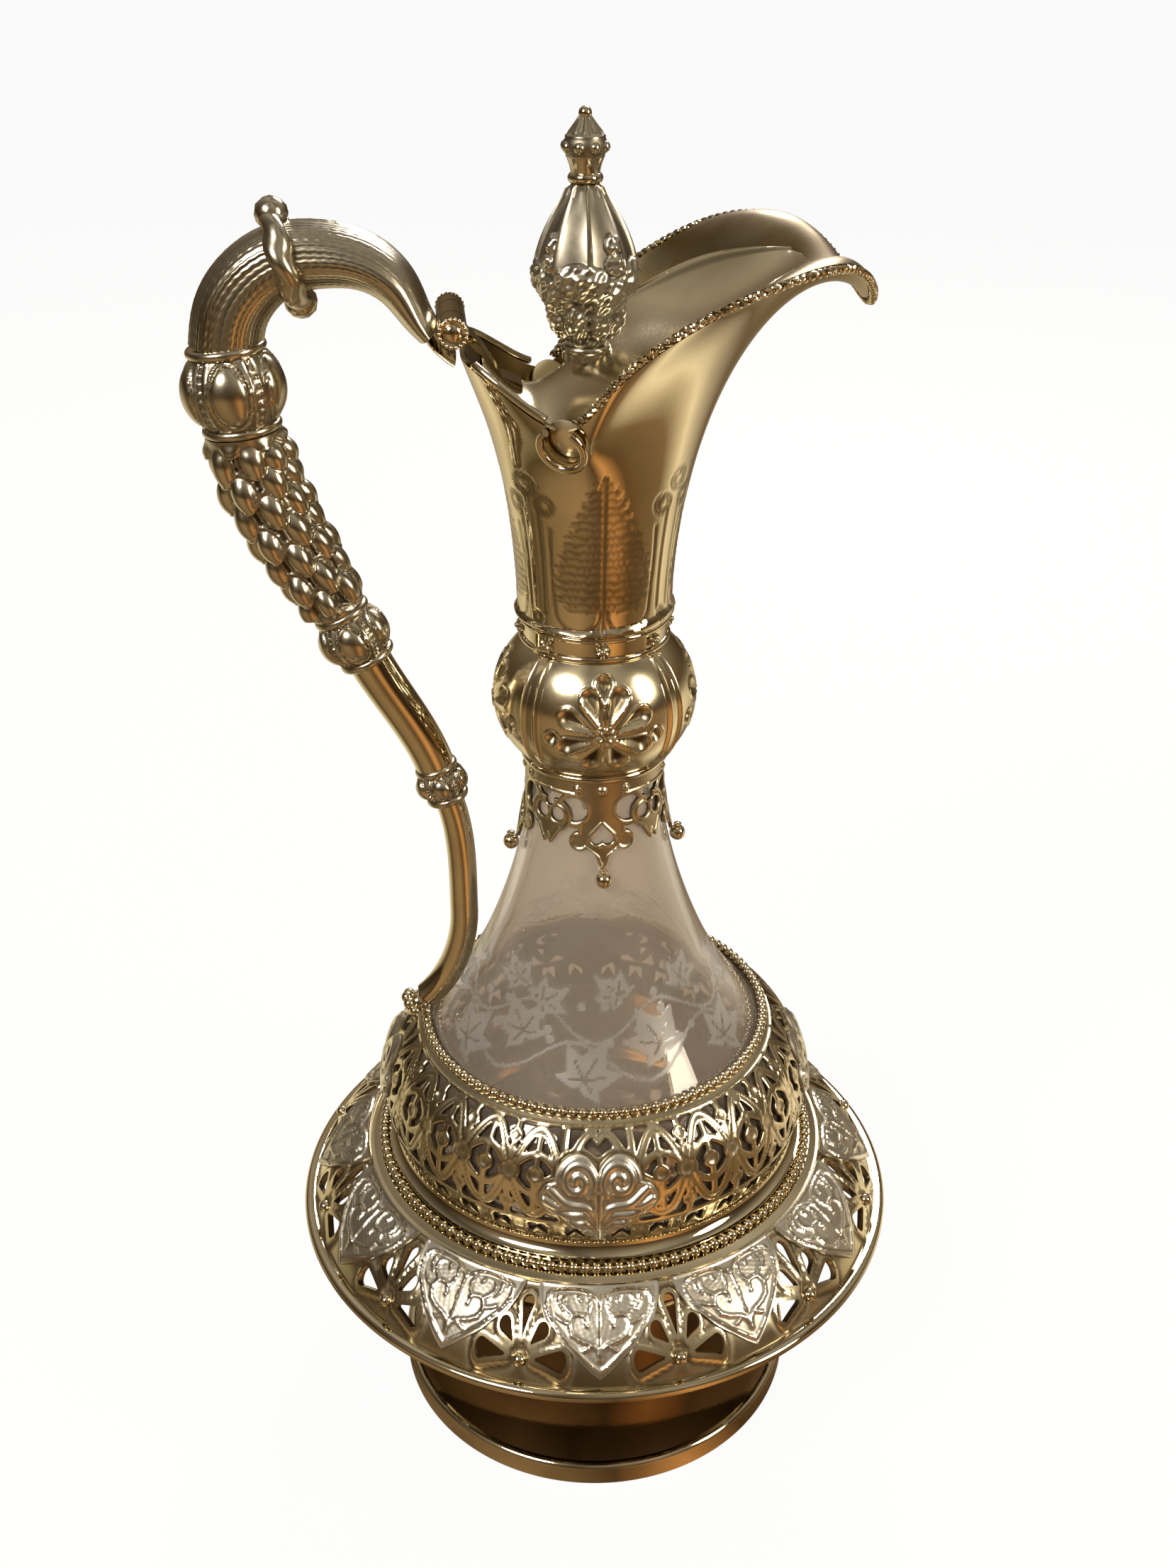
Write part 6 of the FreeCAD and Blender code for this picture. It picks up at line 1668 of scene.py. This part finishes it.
turban_line = joined([(0.02, 346.6)], arc_through((3.2, 346.6), (3.5, 348.0), (4.1, 349.6), 10),
                     arc_through((4.1, 349.6), (5.1, 351.9), (4.3, 354.2), 18),
                     arc_through((4.1, 354.3), (2.7, 356.0), (1.2, 358.0), 14), [(0.02, 358.0)])
spun("turban", turban_line, 120, GILT_SILVER, "finial_turban", height=turban_height, recess=hollows(0.0, 2.4),
     slot="silver", **on_lid_axis)
around = (np.arange(8) + 0.5) * TURN / 8
jewel_spots = on_finial(np.stack([4.3 * np.cos(around), 4.3 * np.sin(around), np.full(8, 351.9)], axis=1))
beads("turban_jewels", jewel_spots, 1.3, GILT_SILVER, "finial_turban", body="lid", slot="silver")
beads("bud_tip", [on_finial(np.array([0.0, 0.0, 358.5]))], 1.5, GILT, "finial_tip", body="lid")

# %% [markdown]
# ## Handle
# The handle is a chain of cast pieces: a ribbed horn from the hinge, an upper ball, a leafy grip, a lower
# ball, a plain tube, a small ball and a slim tube that ends in a petalled bead on the glass. The balls come
# first, since the pieces between them start and end on their axes.

# %% Balls of the handle
BALL_PANELS = 5
RING_POINTS = 12
BELLY_POINTS = 60


def handle_ball(name, reach, height, tilt, radius, length):
    """A ball with plain end rings and oval bosses between straps; gives its two ends and the way down."""
    down = np.array([math.sin(math.radians(tilt)), 0.0, -math.cos(math.radians(tilt))])
    middle = np.array([reach, 0.0, height])
    foot = middle + down * 0.5 * length
    end = 0.7 * radius
    belly = arc_through((end, 2.2), (radius - 0.35, 0.5 * length), (end, length - 2.2), BELLY_POINTS)
    low_ring = arc_through((end, 0.0), (end + 0.88, 1.1), (end, 2.2), RING_POINTS)
    high_ring = arc_through((end, length - 2.2), (end + 0.88, length - 1.1), (end, length), RING_POINTS)
    line = joined([(0.02, 0.0)], low_ring, belly, high_ring, [(0.02, length)])
    way = way_along(line)
    first = way[RING_POINTS]
    span = way[RING_POINTS + BELLY_POINTS - 1] - first

    def height_of(turn, along):
        up = (along - first) / span - 0.5
        fold = sector_of(turn, BALL_PANELS, 0.5)
        oval = np.hypot(fold / 0.30, up / 0.44)
        boss = 0.9 * np.clip(1 - oval ** 2, 0, 1) ** 0.5
        rim = 0.42 * bead_of(oval - 1.14, 0.09)
        strap = 0.35 * bead_of(np.abs(fold) - 0.40, 0.025)
        dots = 0.5 * bead_of(np.abs(fold) - 0.5, 0.06) * np.clip(np.cos(TURN * 9 * up), 0, 1)
        inside = soft_step(0.5 - np.abs(up), 0.0, 0.04)
        return (np.maximum(np.maximum(boss, rim), np.maximum(strap, dots)) - 0.2) * inside

    spun(name, line, 168, GILT_SILVER, "handle_" + name, height=height_of, recess=hollows(0.0, 2.4),
         loop=False, place=facing(foot, -down), slot="silver")
    return middle - down * 0.5 * length, foot, down


UPPER = handle_ball("upper_ball", -81.4, 302.0, 6.0, 11.8, 20.0)
LOWER = handle_ball("lower_ball", -58.9, 240.9, 25.0, 8.9, 15.0)
SMALL = handle_ball("small_ball", -39.5, 199.2, 17.0, 6.7, 11.0)

# %% [markdown]
# ## Grip and tubes
# The grip and the tubes are rods on cubic paths that leave one ball and reach the next along their axes.
# The grip's skin is covered with overlapping buds; the tubes are plain.

# %% Grip and tubes
GRIP_POINTS = 190
GRIP_ROWS = 9
GRIP_BUDS = 7
GRIP_SPACING = 7.6
SIDEWAYS = np.array([0.0, 1.0, 0.0])
DOWN = np.array([0.0, 0.0, -1.0])
BOW = np.array([-35.2, 0.0, 160.0])
TERMINAL = np.array([-46.4, 0.0, 132.4])
TERMINAL_RUN = np.array([-0.75, 0.0, -0.66]) / math.hypot(0.75, 0.66)


def pulled_path(start, start_run, end, end_run, count):
    """A cubic path that leaves and arrives along given directions."""
    pull = np.linalg.norm(end - start) / 3
    pulls = (start, start + start_run * pull, end - end_run * pull, end)
    return cubic(pulls, np.linspace(0, 1, count))


def grip_height(turn, share):
    """Overlapping buds in rows, each set a little out of line and cupped by a leaf with a raised edge."""
    found = np.full(np.broadcast(turn, share).shape, -1.0)
    for row in range(GRIP_ROWS):
        for column in range(GRIP_BUDS):
            stray = math.sin(12.9 * row + 7.7 * column)
            middle = (column + 0.5 * (row % 2) + 0.2 * stray) / GRIP_BUDS
            across = ((turn / TURN - middle + 0.5) % 1.0 - 0.5) * GRIP_BUDS
            up = (share - (row + 0.1 * stray) / GRIP_SPACING) * GRIP_SPACING
            bud = 1 - (across / (0.42 - 0.14 * up)) ** 2 - ((up - 0.05) / 0.78) ** 2
            leaf = 1 - (across / 0.56) ** 2 - ((up + 0.15) / 0.80) ** 2
            lift = (2.3 + 0.5 * stray) * np.clip(bud, 0, 1) ** 0.85 + 0.30 * bead_of(leaf - 0.16, 0.16)
            found = np.maximum(found, np.where(leaf > 0, lift - 0.6, -1.0))
    hem = soft_step(share, 0.0, 0.08) * soft_step(1 - share, 0.0, 0.05)
    return found * hem


def mid_ridge(turn, share):
    """A fine seam along the tube."""
    return 0.22 * bead_of(np.sin(0.5 * turn), 0.22)


grip_path = pulled_path(UPPER[1], UPPER[2], LOWER[0], LOWER[2], GRIP_POINTS)
grip_thick = 6.6 + 2.2 * (1 - np.linspace(0, 1, GRIP_POINTS) ** 2.5)
grip = rod_mesh("grip", grip_path, grip_thick, 144, grip_height, hollows(0.1, 0.9))
show("grip", grip, GILT_SILVER, "handle_grip")
mid_path = pulled_path(LOWER[1], LOWER[2], SMALL[0], SMALL[2], 60)
mid_tube = rod_mesh("mid_tube", mid_path, 5.4 - 0.43 * np.linspace(0, 1, 60), 48, mid_ridge)
show("mid_tube", mid_tube, GILT, "handle_mid_tube")
low_path = joined(pulled_path(SMALL[1], SMALL[2], BOW, DOWN, 60),
                  pulled_path(BOW, DOWN, TERMINAL, TERMINAL_RUN, 50))
show("low_tube", rod_mesh("low_tube", low_path, 3.7, 40), GILT, "handle_lower_tube")

# %% [markdown]
# ## Terminal
# The slim tube ends in a bead on the glass, with five petals like a small open flower. All six are balls of
# the point tree, joined to one piece.

# %% Terminal
petal_middle = TERMINAL + TERMINAL_RUN * 3.08
petal_up = np.cross(TERMINAL_RUN, SIDEWAYS)
petal_up = petal_up if petal_up[2] > 0 else -petal_up
petal_ring = petal_middle + TERMINAL_RUN * 1.36
petal_spots = [petal_ring + 3.42 * (math.cos(turn) * petal_up + math.sin(turn) * SIDEWAYS)
               for turn in (-1.5, -0.7, 0.0, 0.7, 1.5)]
terminal = joined_mesh("terminal", [
    beads_at("terminal_bead", [petal_middle], 3.0, GILT),
    beads_at("terminal_petals", petal_spots, 1.7, GILT),
])
show("terminal", terminal, GILT, "handle_terminal")

# %% [markdown]
# ## Horn
# The horn grows from a flat tongue at the hinge to a round end in the upper ball, with reeds that fade in
# along it. It is one rod whose section changes from a wide oval to a circle.

# %% Horn
HORN_POINTS = 120
HORN = even_spline([(-37.6, 0, 314.15), (-39.4, 0, 316.6), (-44.0, 0, 324.0), (-51.4, 0, 329.2),
                    (-60.0, 0, 330.6), (-69.0, 0, 329.4), (-75.4, 0, 325.4), (-80.4, 0, 318.6),
                    UPPER[0] + 1.2 * UPPER[2]], HORN_POINTS)
from_end = 1 - np.linspace(0, 1, HORN_POINTS)
horn_thick = 2.9 + 5.1 * (1 - from_end ** 2.4)
horn_wide = 12.4 - 4.4 * (1 - from_end ** 1.8)


def horn_height(turn, share):
    """Reeds with fine beading on a slow swell."""
    reeds = 0.15 * (np.abs(np.cos(19 * turn + 0.8 * np.sin(3 * turn))) - 0.7)
    beaded = 0.05 * np.cos(190 * share) * np.cos(38 * turn)
    swell = 0.22 * np.cos(6 * turn + 3 * share)
    return (reeds + beaded + swell) * soft_step(share, 0.12, 0.42)


horn = rod_mesh("horn", HORN, horn_thick, 272, horn_height, hollows(0.0, 3.2), horn_wide)
show("horn", horn, GILT_SILVER, "handle_horn")

# %% [markdown]
# ## Tie
# A twisted ring is tied round the horn's top, with a ball above and one below. Its path is an oval a little
# wider than the horn at that place, and the twist is a wave that winds along the ring.

# %% Tie
TIE_PLACE = 70
TIE_GAP = 0.9


def loop_mesh(name, path, radius, columns, height):
    """A closed ring along a closed path; height(turn, share) lifts its skin."""
    run = np.roll(path, -1, axis=0) - np.roll(path, 1, axis=0)
    run /= np.linalg.norm(run, axis=1)[:, None]
    out = path - path.mean(axis=0)
    out -= run * np.sum(out * run, axis=1)[:, None]
    out /= np.linalg.norm(out, axis=1)[:, None]
    over = np.cross(run, out)
    turn = np.arange(columns) * TURN / columns
    reach = radius + height(turn[None, :], np.arange(len(path))[:, None] / len(path))
    points = (path[:, None, :] + (reach * np.cos(turn))[..., None] * out[:, None, :]
              + (reach * np.sin(turn))[..., None] * over[:, None, :])
    return make_mesh(name, points.reshape(-1, 3), grid_faces(len(path), columns, True, True))


tie_run = HORN[TIE_PLACE + 1] - HORN[TIE_PLACE - 1]
tie_over = np.cross(tie_run / np.linalg.norm(tie_run), SIDEWAYS)
tie_wide = horn_wide[TIE_PLACE] + TIE_GAP
tie_thick = horn_thick[TIE_PLACE] + TIE_GAP
swing = np.linspace(0, TURN, 97)[:-1, None]
tie_path = HORN[TIE_PLACE] + tie_wide * np.cos(swing) * SIDEWAYS + tie_thick * np.sin(swing) * tie_over
tie = loop_mesh("tie_ring", tie_path, 2.8, 28, lambda turn, share: 0.35 * np.cos(2 * turn + 6 * TURN * share))
show("tie_ring", tie, GILT_SILVER, "handle_tie_ring")
tie_spots = [HORN[TIE_PLACE] + tie_over * side_of * (tie_thick + 1.3) for side_of in (1, -1)]
beads("tie_balls", tie_spots, 3.8, GILT_SILVER, "tie_ring_balls")

# %% [markdown]
# ## Hinge
# A bent strap behind the rim carries two barrels, with the lid's knuckle between them. Each end of the pin
# is a small dome in a ring of beads.

# %% Hinge
HINGE = np.array([-32.2, 0.0, 315.8])
cap_line = joined([(0.02, -0.6), (3.3, -0.6), (3.3, 0.35)],
                  arc_through((3.3, 0.35), (2.9, 0.6), (2.5, 0.45), 5), [(2.1, 0.3)],
                  arc_through((2.1, 0.3), (1.3, 0.95), (0.02, 1.2), 8))
barrel_line = [(0.02, 0.0), (3.3, 0.0), (3.3, 7.1), (0.02, 7.1)]
strap_path = even_spline([(-38.2, 0, 315.2), (-36.8, 0, 312.7), (-34.9, 0, 310.6), (-33.4, 0, 309.2),
                          (-32.1, 0, 308.3)], 30)
around = np.arange(18) * TURN / 18
bead_circle = np.stack([3.0 * np.cos(around), np.full(18, 13.3), 3.0 * np.sin(around)], axis=1)
bracket_pieces = [rod_mesh("strap", strap_path, 1.2, 48, wide=np.linspace(12.6, 11.6, 30))]
cap_pieces = []
for side_of in (1.0, -1.0):
    way_out = side_of * SIDEWAYS
    barrel = turned_mesh("barrel", barrel_line, 48, place=facing(HINGE + 5.9 * way_out, way_out))
    bracket_pieces.append(barrel)
    cap_pieces.append(turned_mesh("cap", cap_line, 48, place=facing(HINGE + 13.0 * way_out, way_out)))
    cap_pieces.append(beads_at("cap_beads", HINGE + bead_circle * (1.0, side_of, 1.0), 0.5, GILT))
show("hinge_bracket", joined_mesh("hinge_bracket", bracket_pieces), GILT, "hinge_bracket")
show("hinge_ends", joined_mesh("hinge_ends", cap_pieces), GILT, "hinge_caps")

# %% [markdown]
# ## Floor
# The jug stands on a plain pale floor. The camera sees it white and still gets the jug's shadow. Polished
# metal shows what is around it more than its own colour, so reflections see a painted brown tabletop instead,
# with bright and dark bands round the jug painted in as reflections.


# %% Floor
def colour_ramp(tree, share, stops):
    """A colour that changes with a share from 0 to 1; stops are (share, colour)."""
    ramp = add(tree, "ShaderNodeValToRGB", {"Fac": share})
    steps = ramp.color_ramp.elements
    for step in range(len(stops) - 2):
        steps.new(0.5)
    for step, (place, colour) in zip(steps, stops):
        step.position = place
        step.color = (*colour, 1.0)
    return ramp.outputs["Color"]


def round_about(tree, place, stops):
    """A colour that changes with the direction round the jug; stops are (share of a turn, colour)."""
    split = add(tree, "ShaderNodeSeparateXYZ", {0: place})
    angle = maths(tree, "ARCTAN2", split.outputs["Y"], split.outputs["X"])
    return colour_ramp(tree, maths(tree, "MULTIPLY_ADD", angle, 1 / TURN, 0.5), stops)


def floor_material():
    """White for the camera, and painted reflections for glossy rays: a brown tabletop with bright and dark
    bands.
    """
    material, tree, shader = blank_material("pale_floor")
    path = tree.nodes.new("ShaderNodeLightPath")
    # Painted reflection: a brown tabletop with bright and dark bands round the jug, seen only by glossy rays.
    painted_table_reflection = round_about(tree, tree.nodes.new("ShaderNodeTexCoord").outputs["Object"], (
        (0.00, (0.09, 0.065, 0.03)), (0.06, (0.22, 0.16, 0.09)), (0.17, (0.30, 0.21, 0.12)),
        (0.25, (0.11, 0.07, 0.035)), (0.31, (0.62, 0.33, 0.13)), (0.37, (0.12, 0.07, 0.03)),
        (0.46, (0.20, 0.14, 0.08)), (0.545, (0.86, 0.80, 0.64)), (0.66, (0.12, 0.085, 0.045)),
        (0.78, (0.34, 0.29, 0.20)), (0.88, (0.80, 0.74, 0.54)), (1.00, (0.09, 0.065, 0.03)),
    ))
    pale = blend(tree, path.outputs["Is Glossy Ray"], (0.72, 0.70, 0.67), painted_table_reflection)
    put(tree, shader, {"Base Color": pale, "Roughness": 0.9, "Specular IOR Level": 0.1})
    glow = tree.nodes.new("ShaderNodeEmission")
    seen = maths(tree, "MAXIMUM", path.outputs["Is Camera Ray"], path.outputs["Is Transmission Ray"])
    share = maths(tree, "MULTIPLY", seen, 0.94)
    mix = add(tree, "ShaderNodeMixShader", {0: share, 1: shader.outputs[0], 2: glow.outputs[0]})
    put(tree, tree.nodes["Material Output"], {"Surface": mix.outputs[0]})
    return material


FLOOR_HALF = 12
FLOOR_LEVEL = -0.0003
floor_corners = [(x * FLOOR_HALF, y * FLOOR_HALF, FLOOR_LEVEL)
                 for x, y in ((-1, -1), (1, -1), (1, 1), (-1, 1))]
floor_mesh = bpy.data.meshes.new("floor")
floor_mesh.from_pydata(floor_corners, [], [(0, 1, 2, 3)])
floor_mesh.materials.append(floor_material())
floor = bpy.data.objects.new("floor", floor_mesh)
bpy.context.scene.collection.objects.link(floor)
print("floor", FLOOR_HALF * 2, "m wide")

# %% [markdown]
# ## Room and lights
# Warm dim walls, lighter towards the ceiling and striped round about, give old gilt its broad bands and deep
# browns. Three soft lights stand in for the lamps of the room: one from the left, one from the right and
# one from behind.


# %% Room and lights
def room():
    """A warm room for the metal to reflect; white where the camera looks past the floor."""
    world = bpy.data.worlds.new("room")
    bpy.context.scene.world = world
    world.use_nodes = True
    tree = world.node_tree
    where = tree.nodes.new("ShaderNodeTexCoord").outputs["Generated"]
    split = add(tree, "ShaderNodeSeparateXYZ", {0: where})
    high = maths(tree, "MULTIPLY_ADD", split.outputs["Z"], 0.5, 0.5)
    rise = colour_ramp(tree, high, (
        (0.42, (0.06, 0.04, 0.02)), (0.60, (0.22, 0.15, 0.085)), (0.95, (0.66, 0.60, 0.50)),
    ))
    greys = ((0.0, 0.15), (0.12, 1.0), (0.2, 0.25), (0.33, 0.9), (0.45, 0.2), (0.55, 1.0), (0.7, 0.3),
             (0.8, 1.0), (0.92, 0.35), (1.0, 0.15))
    walls = round_about(tree, where, [(share, (grey, grey, grey)) for share, grey in greys])
    shaded = blend(tree, walls, (0.03, 0.02, 0.01), rise)
    path = tree.nodes.new("ShaderNodeLightPath")
    white = blend(tree, path.outputs["Is Camera Ray"], shaded, (1.0, 1.0, 1.0))
    put(tree, tree.nodes["Background"], {"Color": white})


def soft_light(name, spot, aim, size, power, colour):
    """An oval area light that looks at its aim."""
    lamp = bpy.data.lights.new(name, "AREA")
    lamp.shape = "ELLIPSE"
    lamp.size = size[0]
    lamp.size_y = size[1]
    lamp.energy = power
    lamp.color = colour
    light = bpy.data.objects.new(name, lamp)
    light.location = spot
    away = np.array(spot) - np.array(aim)
    tilt = math.atan2(math.hypot(away[0], away[1]), away[2])
    light.rotation_euler = (tilt, 0.0, math.atan2(away[0], -away[1]))
    bpy.context.scene.collection.objects.link(light)


room()
soft_light("key", (-0.9, -0.9, 1.3), (0, 0, 0.18), (0.7, 0.55), 27.0, (1.0, 0.95, 0.87))
soft_light("fill", (1.1, -0.7, 0.8), (0, 0, 0.16), (0.4, 0.8), 14.0, (1.0, 0.90, 0.74))
soft_light("back", (0.4, 1.2, 1.1), (0, 0, 0.2), (0.7, 0.4), 18.0, (1.0, 0.96, 0.90))
print("lights", len(bpy.data.lights))

# %% [markdown]
# ## Camera
# The camera looks down from in front, a little to the left, as in the photo. Its lens and the sideways shift
# bring the jug to the same place in the frame.

# %% Camera
lens = bpy.data.cameras.new("camera")
lens.lens = 37.43
lens.sensor_width = 36.0
lens.shift_x = -9.3 / 2212
camera = bpy.data.objects.new("camera", lens)
camera.location = (-0.03895, -0.3706, 0.3989)
camera.rotation_euler = (math.radians(61.43), 0.0, math.radians(-6.0))
bpy.context.scene.collection.objects.link(camera)
bpy.context.scene.camera = camera
bpy.context.scene.view_settings.view_transform = "Standard"
print("camera", camera.name)
